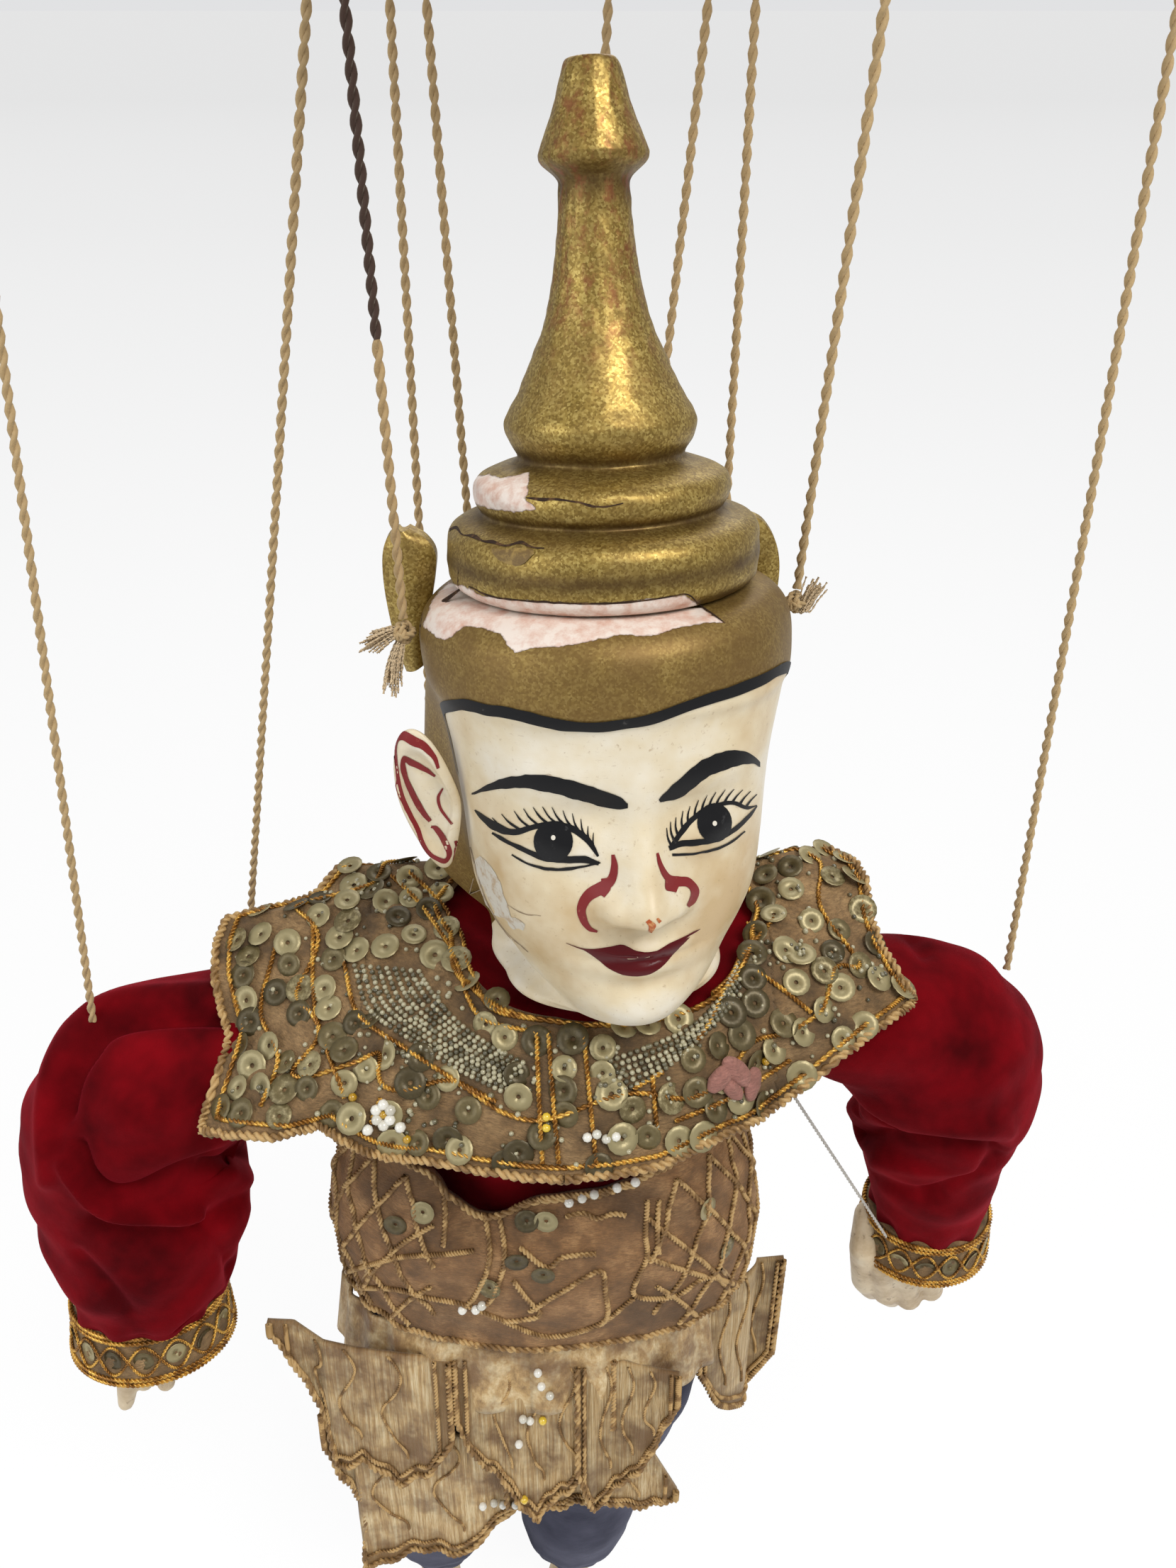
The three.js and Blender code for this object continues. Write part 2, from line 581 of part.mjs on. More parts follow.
// A turned limb: a ball at the top, a shaft, and an end with a cup for the next ball
function limb(ball, shaft, foot, length, nextBall) {
  const cup = nextBall + socketGap;
  const profile = [];
  for (let i = 0; i <= ballRows; i += 1) {
    const angle = (i / ballRows) * ballTurn;
    profile.push(new THREE.Vector2(ball * Math.sin(angle), ball * Math.cos(angle)));
  }
  const rim = cup + bone.cupWall;
  const end = -length + nextBall * limbShares.end;
  profile.push(new THREE.Vector2(shaft, -ball * limbShares.neck));
  profile.push(new THREE.Vector2(foot, end + rim * limbShares.swell));
  profile.push(new THREE.Vector2(rim * limbShares.rim, end + rim * limbShares.lip));
  profile.push(new THREE.Vector2(rim * limbShares.rim, end));
  profile.push(new THREE.Vector2(0, end));
  const shape = new THREE.LatheGeometry(profile, bone.sides);
  shape.rotateX(Math.PI / 2);
  const hollowBall = new THREE.SphereGeometry(cup, bone.sides, bone.sides / 2);
  return solid(shape).subtract(solid(hollowBall, move(0, 0, -length)));
}

// How each arm hangs: the elbows are held up and out by their strings
const armPose = {
  right: {
    side: -1, drop: 25.5 * degrees, forward: 8 * degrees, foreForward: 13 * degrees, foreOut: 1.5 * degrees,
  },
  left: {
    side: 1, drop: 27 * degrees, forward: -7 * degrees, foreForward: 2.5 * degrees, foreOut: 0.5 * degrees,
  },
};

function armPoints(pose, shoulder) {
  const flat = Math.cos(pose.drop);
  const elbow = shoulder.clone().add(
    new THREE.Vector3(
      pose.side * flat * Math.cos(pose.forward), -flat * Math.sin(pose.forward), -Math.sin(pose.drop),
    ).multiplyScalar(upperArmLength),
  );
  const wrist = elbow.clone().add(
    new THREE.Vector3(
      pose.side * Math.sin(pose.foreOut), -Math.sin(pose.foreForward), -Math.cos(pose.foreForward),
    ).normalize().multiplyScalar(forearmLength),
  );
  return { shoulder, elbow, wrist };
}

const sleeve = { boreGap: 1.6, elbowRadius: 24, cuffRadius: 15, folds: 1.6, start: 10, overlap: 24 };
const cuff = { height: 15, wall: 2.6, topShare: 0.94, deepShare: 0.9 };
const cuffRadii = { right: 19.4, left: 17 };
const cuffAside = { right: -2, left: 0 };
const sleeveSides = 20;
const sleeveRows = 8;
// rows of [share of the arm's length, upward reach, downward reach, width] as shares of the elbow's radius
const upperSleeveShares = [
  [0, 0.42, 0.46, 0.5], [0.25, 0.42, 0.72, 0.64], [0.5, 0.5, 0.92, 0.76], [0.75, 0.72, 1.02, 0.94],
  [1, 0.92, 1.06, 1.04], [1.2, 0.88, 1, 0.95], [1.33, 0.6, 0.66, 0.62],
];
const lowerSleeveShares = [
  [-0.33, 0.62, 0.6, 0.6], [-0.2, 0.92, 0.95, 0.95], [0, 1.06, 1.02, 1.05], [0.25, 1.08, 1.02, 1.04],
  [0.5, 0.96, 0.94, 0.94], [0.7, 0.8, 0.78, 0.8], [0.8, 0.68, 0.68, 0.7],
];

function sleeveRings(table, length, first, last, foldTurn) {
  return Array.from({ length: sleeveRows + 1 }, (unused, row) => {
    const place = first + ((last - first) * row) / sleeveRows;
    const [up, down, side] = [1, 2, 3].map((column) => fromTable(table, place, column) * sleeve.elbowRadius);
    return Array.from({ length: sleeveSides }, (none, i) => {
      const angle = (i / sleeveSides) * 2 * Math.PI;
      const c = Math.cos(angle);
      const wave = Math.sin(3 * angle + 9 * place + foldTurn);
      const fold = sleeve.folds * wave * Math.sin(2 * Math.PI * place + angle);
      const reach = (c > 0 ? up : down) + fold;
      return new THREE.Vector3((side + fold) * Math.sin(angle), reach * c, -place * length);
    });
  });
}

function capsule(from, to, radius, sides = bone.sides) {
  const length = from.distanceTo(to);
  const shape = new THREE.CapsuleGeometry(radius, length, 2, sides);
  shape.rotateX(Math.PI / 2);
  shape.translate(0, 0, -length / 2);
  return solid(shape, limbMatrix(from, to));
}

// Half of space beyond a plane, as a box large enough for a limb
function beyond(point, normal) {
  const size = upperArmLength * 2;
  const shape = new THREE.BoxGeometry(size, size, size);
  shape.translate(0, 0, size / 2);
  const turn = new THREE.Quaternion().setFromUnitVectors(new THREE.Vector3(0, 0, 1), normal);
  const matrix = new THREE.Matrix4().compose(point, turn, new THREE.Vector3(1, 1, 1));
  return solid(shape, matrix);
}

const hand = { palmLength: 18, corner: 3.7, neck: 3.9, reach: 10 };
const finger = { root: 6.8, tip: 7.5, bent: 8.3, count: 4, sides: 6, taper: 0.95 };
const thumb = { radius: 2.4, root: 1.3, drop: 5.7, length: 12, inward: 4.2, aside: 3.5 };
// the open right hand leans out, the left is a broad fist that shows its back
const handShapes = {
  right: { fist: false, width: 16, thickness: 8.5, finger: 2.3, aside: 0, turn: 0, lean: 14 * degrees },
  left: { fist: true, width: 25, thickness: 11, finger: 3.4, aside: -8.5, turn: -90 * degrees, lean: 0 },
};

function carvedHand(shape) {
  const palmTop = -hand.reach;
  const palmFoot = palmTop - hand.palmLength;
  const { thickness, width } = shape;
  const palm = new RoundedBoxGeometry(thickness, width, hand.palmLength, cornerRounds, hand.corner);
  palm.translate(0, shape.aside, (palmTop + palmFoot) / 2);
  const parts = [
    solid(new THREE.SphereGeometry(bone.wristBall, bone.sides, bone.sides / 2)),
    capsule(new THREE.Vector3(0, 0, 0), new THREE.Vector3(0, 0, palmTop - hand.neck), hand.neck),
    solid(palm),
  ];
  for (let i = 0; i < finger.count; i += 1) {
    const y = ((i + 1 / 2) / finger.count - 1 / 2) * width + shape.aside;
    const root = new THREE.Vector3(0, y, palmFoot + shape.finger);
    const knuckle = new THREE.Vector3(0, y, root.z - finger.root);
    const bent = new THREE.Vector3(-finger.bent, y, knuckle.z);
    const straight = new THREE.Vector3(0, y, knuckle.z - finger.tip);
    parts.push(capsule(root, knuckle, shape.finger, finger.sides));
    parts.push(capsule(knuckle, shape.fist ? bent : straight, shape.finger * finger.taper, finger.sides));
  }
  const thumbRoot = new THREE.Vector3(0, thumb.root - width / 2 + shape.aside, palmTop - thumb.drop);
  const thumbTip = thumbRoot.clone().add(new THREE.Vector3(-thumb.inward, -thumb.aside, -thumb.length));
  parts.push(capsule(thumbRoot, thumbTip, thumb.radius, finger.sides));
  const placed = new THREE.Matrix4().makeRotationFromEuler(new THREE.Euler(0, shape.lean, shape.turn));
  return joined(parts).transform(placed.elements);
}

const limbs = {};
for (const [sideName, pose, shoulder] of [
  ["right", armPose.right, shoulders[0]],
  ["left", armPose.left, shoulders[1]],
]) {
  const { elbow, wrist } = armPoints(pose, shoulder);
  limbs[sideName] = { shoulder, elbow, wrist };
  const upper = limbMatrix(shoulder, elbow);
  const fore = limbMatrix(elbow, wrist);
  const atWrist = move(wrist.x, wrist.y, wrist.z);
  const upperArm = limb(shoulderBall.radius, bone.shaft, bone.shaft, upperArmLength, bone.ball);
  const forearm = limb(bone.ball, bone.shaft, bone.wrist, forearmLength, bone.wristBall);
  piece("upper_arm_" + sideName, upperArm.transform(upper.elements), bareWood);
  piece("forearm_" + sideName, forearm.transform(fore.elements), bareWood);
  piece("hand_" + sideName, carvedHand(handShapes[sideName]).transform(atWrist.elements), creamPaint);

  // the two halves of the sleeve meet on the plane that halves the elbow's bend
  const upperDown = elbow.clone().sub(shoulder).normalize();
  const foreDown = wrist.clone().sub(elbow).normalize();
  const normal = upperDown.clone().add(foreDown).normalize();
  const armSpace = bone.ball + bone.cupWall + sleeve.boreGap;
  const boneRoom = capsule(shoulder.clone().addScaledVector(upperDown, -overrun), elbow, armSpace).add(
    capsule(elbow, wrist.clone().addScaledVector(foreDown, overrun), armSpace),
  );
  const seam = elbow.clone().addScaledVector(normal, -clearance / 2);
  const upperStart = sleeve.start / upperArmLength;
  const upperEnd = upperSleeveShares.at(-1)[0];
  const upperRings = sleeveRings(upperSleeveShares, upperArmLength, upperStart, upperEnd, pose.side);
  const upperBody = solid(loft(upperRings, false), upper)
    .subtract(beyond(seam, normal))
    .subtract(boneRoom)
    .subtract(capeRoom);
  const cuffStart = lowerSleeveShares.at(-1)[0];
  const lowerStart = lowerSleeveShares[0][0];
  const lowerRings = sleeveRings(lowerSleeveShares, forearmLength, lowerStart, cuffStart, pose.side + 1);
  const lowerBody = solid(loft(lowerRings, false), fore)
    .subtract(beyond(seam.clone().addScaledVector(normal, clearance), normal.clone().negate()))
    .subtract(boneRoom);
  limbs[sideName].crest = largest(upperBody);
  piece("sleeve_upper_" + sideName, limbs[sideName].crest, redVelvet);
  piece("sleeve_lower_" + sideName, largest(lowerBody), redVelvet);

  const cuffRadius = cuffRadii[sideName];
  const cuffTop = -cuffStart * forearmLength - clearance;
  const cuffRing = (z, share, wall) => {
    const deep = cuffRadius * (share < 1 ? cuff.deepShare : 1) - wall;
    return oval(cuffAside[sideName], 0, z, cuffRadius * share - wall, deep, deep, sleeveSides);
  };
  const cuffFoot = cuffTop - cuff.height;
  const cuffRings = [
    cuffRing(cuffTop, cuff.topShare, 0), cuffRing(cuffFoot, 1, 0),
    cuffRing(cuffFoot, 1, cuff.wall), cuffRing(cuffTop, cuff.topShare, cuff.wall),
  ];
  piece("cuff_" + sideName, solid(loft(cuffRings, true), fore), embroidery);
}

// The largest of the separate solids that a cut leaves
function largest(body) {
  return body.decompose().sort((a, b) => b.volume() - a.volume())[0];
}

// The velvet jacket: a shell round the torso, open at the arms and at the neck
const jacket = { gap: 0.4, wall: 2.2, below: 4, neckHole: 8 };
const jacketRows = 5;
const jacketTop = torsoTop + jacket.gap + jacket.wall;
const jacketFoot = torsoFoot + jacket.below;
const neckRing = (z) =>
  oval(neckEnd.x, neckEnd.y, z, jacket.neckHole, jacket.neckHole, jacket.neckHole, bodySides);
const outerJacket = [neckRing(jacketTop)];
const innerJacket = [];
for (let i = 0; i <= jacketRows; i += 1) {
  const z = THREE.MathUtils.lerp(torsoTop, jacketFoot, i / jacketRows);
  const lift = i === 0 ? jacket.gap : 0;
  outerJacket.push(bodySection(z, jacket.gap + jacket.wall).map((point) => point.setZ(z + lift * 2)));
  innerJacket.unshift(bodySection(z, jacket.gap).map((point) => point.setZ(z + lift)));
}
innerJacket.push(neckRing(jacketTop - jacket.wall));
let jacketBody = solid(loft([...outerJacket, ...innerJacket], true));
for (const place of shoulders) {
  const hole = new THREE.SphereGeometry(shoulderBall.roomRadius, shoulderBall.sides, shoulderBall.sides / 2);
  jacketBody = jacketBody.subtract(solid(hole, move(place.x, place.y, place.z)));
}
piece("jacket", largest(jacketBody), redVelvet);

// The stiff waist piece below the cape: a barrel shaped ring with a scalloped foot
const barrel = { drop: 46.3, height: 60, across: 54, deep: 30, x: -11, y: -10, power: 2.2 };
const barrelShares = [[0, 0.8, 0.74], [0.25, 0.93, 0.9], [0.6, 1, 1], [1, 0.98, 0.97]];
const barrelTop = neckFoot - barrel.drop;
const barrelFoot = barrelTop - barrel.height;
const barrelRows = 3;
const barrelSides = 28;
const outerBarrel = [];
const innerBarrel = [];
for (let row = 0; row <= barrelRows; row += 1) {
  const place = row / barrelRows;
  const z = THREE.MathUtils.lerp(barrelTop, barrelFoot, place);
  const across = fromTable(barrelShares, place, 1) * barrel.across;
  const deep = fromTable(barrelShares, place, 2) * barrel.deep;
  const barrelRing = (wall) =>
    oval(barrel.x, barrel.y, z, across - wall, deep - wall, deep - wall, barrelSides, barrel.power);
  outerBarrel.push(barrelRing(0));
  innerBarrel.unshift(barrelRing(clothThickness));
}
const jacketRoomRings = Array.from({ length: jacketRows + 1 }, (unused, i) => {
  const z = THREE.MathUtils.lerp(jacketTop, barrelFoot - overrun, i / jacketRows);
  return bodySection(z, jacket.gap + jacket.wall + clearance);
});
const jacketRoom = solid(loft(jacketRoomRings, false));
piece("waist_panel", solid(loft([...outerBarrel, ...innerBarrel], true)).subtract(jacketRoom), embroidery);

// The pelvis block, with its peg up into the torso and cups for the thighs
const pelvis = { halfWidth: 45, halfDepth: 21, height: 20, gap: 1.4, power: 2.3 };
const pelvisShares = [[0, 0.97], [0.12, 1], [0.7, 0.98], [1, 0.82]];
const pelvisTop = waistHeight - pelvis.gap;
const hipBall = 8;
const hips = [-1, 1].map(
  (side) => new THREE.Vector3(hipCentre.x + (side * hipSpacing) / 2, hipCentre.y, hipHeight),
);
const pelvisRings = pelvisShares.map(([down, share]) =>
  oval(
    hipCentre.x, hipCentre.y, pelvisTop - pelvis.height * down, pelvis.halfWidth * share,
    pelvis.halfDepth * share, pelvis.halfDepth * share, bodySides, pelvis.power,
  ),
);
let pelvisBody = solid(loft(pelvisRings, false));
const pegHeight = torsoFoot - clearance - pelvisTop + waistPeg.length;
const waistPegShape = new THREE.CylinderGeometry(
  waistPeg.radius, waistPeg.radius, pegHeight + overrun, peg.sides,
);
waistPegShape.rotateX(Math.PI / 2);
pelvisBody = pelvisBody.add(
  solid(waistPegShape, move(waistPegAcross, bodyCentre.y, pelvisTop + (pegHeight - overrun) / 2)),
);
for (const place of hips) {
  const cup = new THREE.SphereGeometry(hipBall + socketGap, shoulderBall.sides, shoulderBall.sides / 2);
  pelvisBody = pelvisBody.subtract(solid(cup, move(place.x, place.y, place.z)));
}
piece("pelvis", pelvisBody, bareWood);

// Legs: thighs and shins with carved feet, in puffed velvet trousers
const legPose = {
  thighOut: 7 * degrees, thighForward: 2 * degrees, shinOut: 4 * degrees, shinBack: 4 * degrees,
};
const foot = { length: 34, width: 15, height: 12, forward: 9, drop: 5.4 };
const leg = { ball: 6.6, thigh: 6.5, thighEnd: 6, calf: 5.5, ankle: 4.75, kneeAcross: 13.2, calfShare: 0.5 };
const legRoom = { knee: 9.3, shin: 8.6, hip: 17.4 };
const trouser = { kneeRadius: 19, fold: 1.2, inner: 22.3 };
const thighSleeveShares = [
  [0.06, 1.3, 1.3, 1.34], [0.25, 1.34, 1.34, 1.44], [0.5, 1.22, 1.22, 1.3], [0.8, 1.02, 1.02, 1.05],
  [0.98, 0.9, 0.9, 0.92],
];
const shinSleeveShares = [
  [0.01, 0.9, 0.9, 0.92], [0.25, 1.02, 1.02, 1.02], [0.5, 0.95, 0.95, 0.95], [0.7, 0.75, 0.75, 0.75],
  [0.78, 0.68, 0.68, 0.68],
];

function trouserBody(table, length, matrix, side, rooms) {
  const rows = sleeveRows - 2;
  const rings = Array.from({ length: rows + 1 }, (unused, row) => {
    const place = THREE.MathUtils.lerp(table[0][0], table.at(-1)[0], row / rows);
    const [front, back, across] = [1, 2, 3].map(
      (column) => fromTable(table, place, column) * trouser.kneeRadius,
    );
    return Array.from({ length: sleeveSides }, (none, i) => {
      const angle = (i / sleeveSides) * 2 * Math.PI;
      const fold = trouser.fold * Math.sin(5 * angle + side) * Math.sin(Math.PI * place);
      const s = Math.sin(angle);
      // the puffed cloth swells outwards and stays flat between the legs
      const reach = s * side > 0 ? across : Math.min(across, trouser.inner);
      const swollen = reach + fold * (s * side > 0 ? 1 : 0);
      const deep = Math.cos(angle) > 0 ? front : back;
      return new THREE.Vector3(swollen * s, -deep * Math.cos(angle), -place * length);
    });
  });
  return solid(loft(rings, false), matrix).subtract(rooms);
}

for (const [sideName, side, hip] of [["right", -1, hips[0]], ["left", 1, hips[1]]]) {
  const thighWay = new THREE.Vector3(
    -Math.sin(legPose.thighOut), -Math.sin(legPose.thighForward), -Math.cos(legPose.thighOut),
  );
  const knee = hip.clone().addScaledVector(thighWay.normalize(), thighLength);
  const ankle = knee.clone().add(
    new THREE.Vector3(-Math.sin(legPose.shinOut), Math.sin(legPose.shinBack), -Math.cos(legPose.shinOut))
      .normalize().multiplyScalar(shinLength),
  );
  limbs[sideName].hip = hip;
  limbs[sideName].knee = knee;
  limbs[sideName].ankle = ankle;
  const upper = limbMatrix(hip, knee);
  const lower = limbMatrix(knee, ankle);
  const thigh = limb(hipBall, leg.thigh, leg.thighEnd, thighLength, leg.ball).transform(upper.elements);
  piece("thigh_" + sideName, thigh, bareWood);
  const calfEnd = knee.clone().lerp(ankle, leg.calfShare);
  const shinParts = [
    capsule(knee, calfEnd, leg.calf),
    capsule(knee, ankle, leg.ankle),
    ellipsoid(knee.x, knee.y, knee.z, leg.kneeAcross, leg.kneeAcross, leg.kneeAcross),
    ellipsoid(ankle.x, ankle.y - foot.forward, ankle.z - foot.drop, foot.width, foot.length, foot.height),
  ];
  piece("shin_" + sideName, joined(shinParts), creamPaint);
  const rooms = capsule(hip, knee, legRoom.knee)
    .add(capsule(knee, ankle, legRoom.shin))
    .add(ellipsoid(hip.x, hip.y, hip.z, legRoom.hip, legRoom.hip, legRoom.hip));
  const upperTrouser = trouserBody(thighSleeveShares, thighLength, upper, side, rooms);
  const lowerTrouser = trouserBody(shinSleeveShares, shinLength, lower, side, rooms);
  piece("trouser_upper_" + sideName, largest(upperTrouser), navyVelvet);
  piece("trouser_lower_" + sideName, largest(lowerTrouser), navyVelvet);
}

// Apron cloths that hang from the hips: columns of [across, top, foot, forward] as shares
const apronBand = { top: pelvisTop - clearance, height: 13 };
const bandSections = [0, 1].map((share) => apronBand.top - apronBand.height * share);

function bandRing(z, grow) {
  const deep = pelvis.halfDepth + grow;
  return oval(hipCentre.x, hipCentre.y, z, pelvis.halfWidth + grow, deep, deep, barrelSides, pelvis.power);
}
const bandBody = solid(
  loft(
    [
      ...bandSections.map((z) => bandRing(z, clearance + clothThickness)),
      ...bandSections.map((z) => bandRing(z, clearance)).reverse(),
    ],
    true,
  ),
);

const clothTop = apronBand.top - apronBand.height - clearance;

// A hanging cloth: columns run from a top line to a foot line, bowed forward round the hips
function hangingCloth(cloth, shares, rows) {
  const clothHead = clothTop + cloth.lift;
  const sheet = (back) => {
    const all = [];
    for (let row = 0; row <= rows; row += 1) {
      const down = row / rows;
      all.push(
        clothPlaces(shares).map((place) => {
          const across = straightValue(shares, place, 1);
          const top = straightValue(shares, place, 2);
          const low = straightValue(shares, place, 3);
          const z = clothHead - cloth.drop * THREE.MathUtils.lerp(top, low, down);
          const x = cloth.x + across * cloth.width;
          const round = Math.min(Math.abs(x - hipCentre.x) / (cloth.wrap * pelvis.halfWidth), 1);
          const bow = Math.sqrt(1 - round ** 2);
          const ripple = cloth.ripple * down * Math.sin(place * cloth.waves * 2 * Math.PI);
          const out = cloth.out + cloth.flare * (clothHead - z) + ripple - (back ? clothThickness : 0);
          return new THREE.Vector3(x, hipCentre.y - out * (1 - cloth.hug + cloth.hug * bow), z);
        }),
      );
    }
    return all;
  };
  return solid(sheetSkin(sheet(false), sheet(true)));
}

function clothPlaces(shares) {
  const places = [];
  for (let i = 0; i < shares.length - 1; i += 1) {
    places.push(shares[i][0], (shares[i][0] + shares[i + 1][0]) / 2);
  }
  places.push(shares.at(-1)[0]);
  return places;
}

// Two grids of points, face and back, sewn along their edges
function sheetSkin(face, back) {
  const rows = face.length;
  const columns = face[0].length;
  const points = [...face.flat(), ...back.flat()];
  const shift = rows * columns;
  const faces = [];
  const quad = (a, b, c, d) => faces.push(a, b, c, a, c, d);
  for (let r = 0; r < rows - 1; r += 1) {
    for (let c = 0; c < columns - 1; c += 1) {
      const a = r * columns + c;
      quad(a, a + columns, a + columns + 1, a + 1);
      quad(shift + a, shift + a + 1, shift + a + columns + 1, shift + a + columns);
    }
  }
  const rim = [];
  for (let c = 0; c < columns - 1; c += 1) rim.push(c);
  for (let r = 0; r < rows - 1; r += 1) rim.push(r * columns + columns - 1);
  for (let c = columns - 1; c > 0; c -= 1) rim.push((rows - 1) * columns + c);
  for (let r = rows - 1; r > 0; r -= 1) rim.push(r * columns);
  rim.forEach((a, i) => {
    const b = rim[(i + 1) % rim.length];
    quad(a, b, shift + b, shift + a);
  });
  const geometry = new THREE.BufferGeometry().setFromPoints(points);
  geometry.setIndex(faces);
  return geometry;
}

// Each cloth: how high it starts, its width and drop, how far out it hangs, and how it flares and ripples
const frontCloth = {
  x: -14, lift: 6.5, width: 34, drop: 56, wrap: 1.5, out: 24.5, flare: 0.21, hug: 0.4, ripple: 0.8, waves: 3,
};
const frontClothShares = [
  [0, -0.62, 0, 0.35], [0.15, -0.45, 0, 0.62], [0.3, -0.25, 0, 0.78], [0.5, 0, 0, 1], [0.7, 0.25, 0, 0.8],
  [0.85, 0.45, 0, 0.62], [1, 0.62, 0, 0.4],
];
const rightCloth = {
  x: -53.5, lift: 14.9, width: 36, drop: 57.4, wrap: 2.2, out: 25.6, flare: 0.2, hug: 0.75, ripple: 0.9, waves: 2.5,
};
const rightClothShares = [
  [0, -0.82, 0.02, 0.06], [0.12, -0.62, 0.0, 0.24], [0.25, -0.5, 0.06, 0.5], [0.4, -0.42, 0.1, 0.9],
  [0.55, -0.2, 0.12, 0.8], [0.7, 0.05, 0.13, 1], [0.85, 0.3, 0.14, 0.84], [1, 0.5, 0.15, 0.6],
];
const leftCloth = {
  x: 18, lift: 5.2, width: 30, drop: 50, wrap: 2.2, out: 27.5, flare: 0.25, hug: 0.75, ripple: 0.8, waves: 2,
};
const leftClothShares = [
  [0, -0.5, 0, 0.7], [0.2, -0.3, 0, 1], [0.45, 0, 0, 0.82], [0.7, 0.3, 0.05, 0.62], [1, 0.62, 0.1, 0.3],
];
const sideCloth = {
  x: 41.5, lift: 14.9, width: 23, drop: 56, wrap: 1.35, out: 14.9, flare: 0.34, hug: 0.8, ripple: 0.6, waves: 1.5,
};
const sideClothShares = [
  [0, -0.5, 0.12, 0.5], [0.3, -0.2, 0.06, 0.8], [0.6, 0.15, 0.02, 1], [1, 0.5, 0, 0.7],
];
const rightHem = {
  x: -42, lift: -13, width: 46, drop: 66, wrap: 2.4, out: 35.6, flare: 0.1, hug: 0.5, ripple: 0.9, waves: 3,
};
const rightHemShares = [
  [0, -0.66, 0.02, 0.2], [0.15, -0.52, 0.06, 0.46], [0.28, -0.42, 0.2, 0.62], [0.4, -0.5, 0.52, 1],
  [0.55, -0.2, 0.5, 0.92], [0.75, 0.15, 0.36, 0.86], [0.88, 0.38, 0.34, 0.66], [1, 0.56, 0.3, 0.5],
];
const leftHem = {
  x: 4, lift: -16.9, width: 36, drop: 30, wrap: 2.4, out: 40.4, flare: 0.1, hug: 0.5, ripple: 0.8, waves: 2,
};
const leftHemShares = [
  [0, -0.4, 0.3, 0.98], [0.3, -0.1, 0.24, 0.94], [0.6, 0.2, 0.2, 0.8], [0.8, 0.4, 0.3, 0.9],
  [1, 0.56, 0.78, 0.84],
];
const cloths = [
  ["apron_front", frontCloth, frontClothShares],
  ["apron_right", rightCloth, rightClothShares],
  ["apron_left", leftCloth, leftClothShares],
  ["side_wing_left", sideCloth, sideClothShares],
  ["apron_hem_right", rightHem, rightHemShares],
  ["apron_hem_left", leftHem, leftHemShares],
];
const clothRows = 6;
const hung = cloths.map(([name, cloth, shares]) => [name, hangingCloth(cloth, shares, clothRows)]);
hung.forEach(([name, body], i) => {
  const whole = i === 0 ? body.add(bandBody) : body;
  piece(name, whole, embroidery);
});

// The strings, from the underside of the control's bars to the figure
const stringSteps = 1;
const stringSides = 8;
const stringTop = barUnder - clearance;
const stringGap = 0.8; // a slanting string's end stands this far off, at its middle

function stretched(name, from, to, diameter = twine, material = twineFibre) {
  piece(name, tube([from, to], diameter / 2, stringSides, stringSteps), material);
}

knots.forEach((place, i) => {
  const side = i === 0 ? -1 : 1;
  const top = new THREE.Vector3(temple.centre + side * temple.halfSpan, temple.forward, stringTop);
  const end = new THREE.Vector3(place.x, place.y, place.z + knot.radius + clearance);
  stretched(i === 0 ? "string_temple_right" : "string_temple_left", top, end);
});

// Each shoulder string is sewn to the back of the cape
const shoulderStitch = { turns: [0.365, 0.624], out: 0.78 };
shoulderStitch.turns.forEach((turn, i) => {
  const side = i === 0 ? -1 : 1;
  const top = new THREE.Vector3(rear.centre + side * rear.shoulderSpan, rear.forward, stringTop);
  const end = capePoint(turn, shoulderStitch.out);
  end.z = topAt(capeBody, end.x, end.y) + stringGap;
  stretched(i === 0 ? "string_shoulder_right" : "string_shoulder_left", top, end);
});

// The waist strings and the back string are sewn to the back of the waist piece
const waistStitch = { place: 0.4, spread: 10 };
const stitchAcross = fromTable(barrelShares, waistStitch.place, 1) * barrel.across;
const stitchDepth = fromTable(barrelShares, waistStitch.place, 2) * barrel.deep;
const stitchHeight = THREE.MathUtils.lerp(barrelTop, barrelFoot, waistStitch.place);
for (const [name, across, foot] of [
  ["string_waist_right", rear.centre - rear.waistSpan, -1],
  ["string_back", rear.backString, 0],
  ["string_waist_left", rear.centre + rear.waistSpan, 1],
]) {
  const top = new THREE.Vector3(across, rear.forward, stringTop);
  const aside = foot * waistStitch.spread;
  const bowed = stitchDepth * (1 - (Math.abs(aside) / stitchAcross) ** barrel.power) ** (1 / barrel.power);
  const end = new THREE.Vector3(barrel.x + aside, barrel.y + bowed + twine / 2 + clearance, stitchHeight);
  stretched(name, top, end);
}

// The elbow strings end on the crest of each sleeve
const crest = { out: 3, forward: 1 };

// The height of a body's top at one place, under the end of a string
function topAt(body, x, y) {
  const probe = new THREE.CylinderGeometry(twine / 2, twine / 2, 2 * spireHeight, stringSides);
  probe.rotateX(Math.PI / 2);
  return body.intersect(solid(probe, move(x, y, body.boundingBox().max[2]))).boundingBox().max[2];
}
for (const [sideName, side] of [["right", -1], ["left", 1]]) {
  const top = new THREE.Vector3(arms.centre + side * arms.halfSpan, arms.forward, stringTop);
  const end = limbs[sideName].elbow.clone().add(new THREE.Vector3(side * crest.out, -crest.forward, 0));
  end.z = topAt(limbs[sideName].crest, end.x, end.y) + stringGap;
  stretched("string_elbow_" + sideName, top, end);
}

// The right hand's string goes to an eye behind the elbow, then down behind the sleeve to the hand
const guide = { x: -86, y: 20, drop: 23.3 };
const handGuide = new THREE.Vector3(guide.x, guide.y, neckFoot - guide.drop);
stretched("string_hand_right", new THREE.Vector3(arms.handString, arms.forward, stringTop), handGuide);
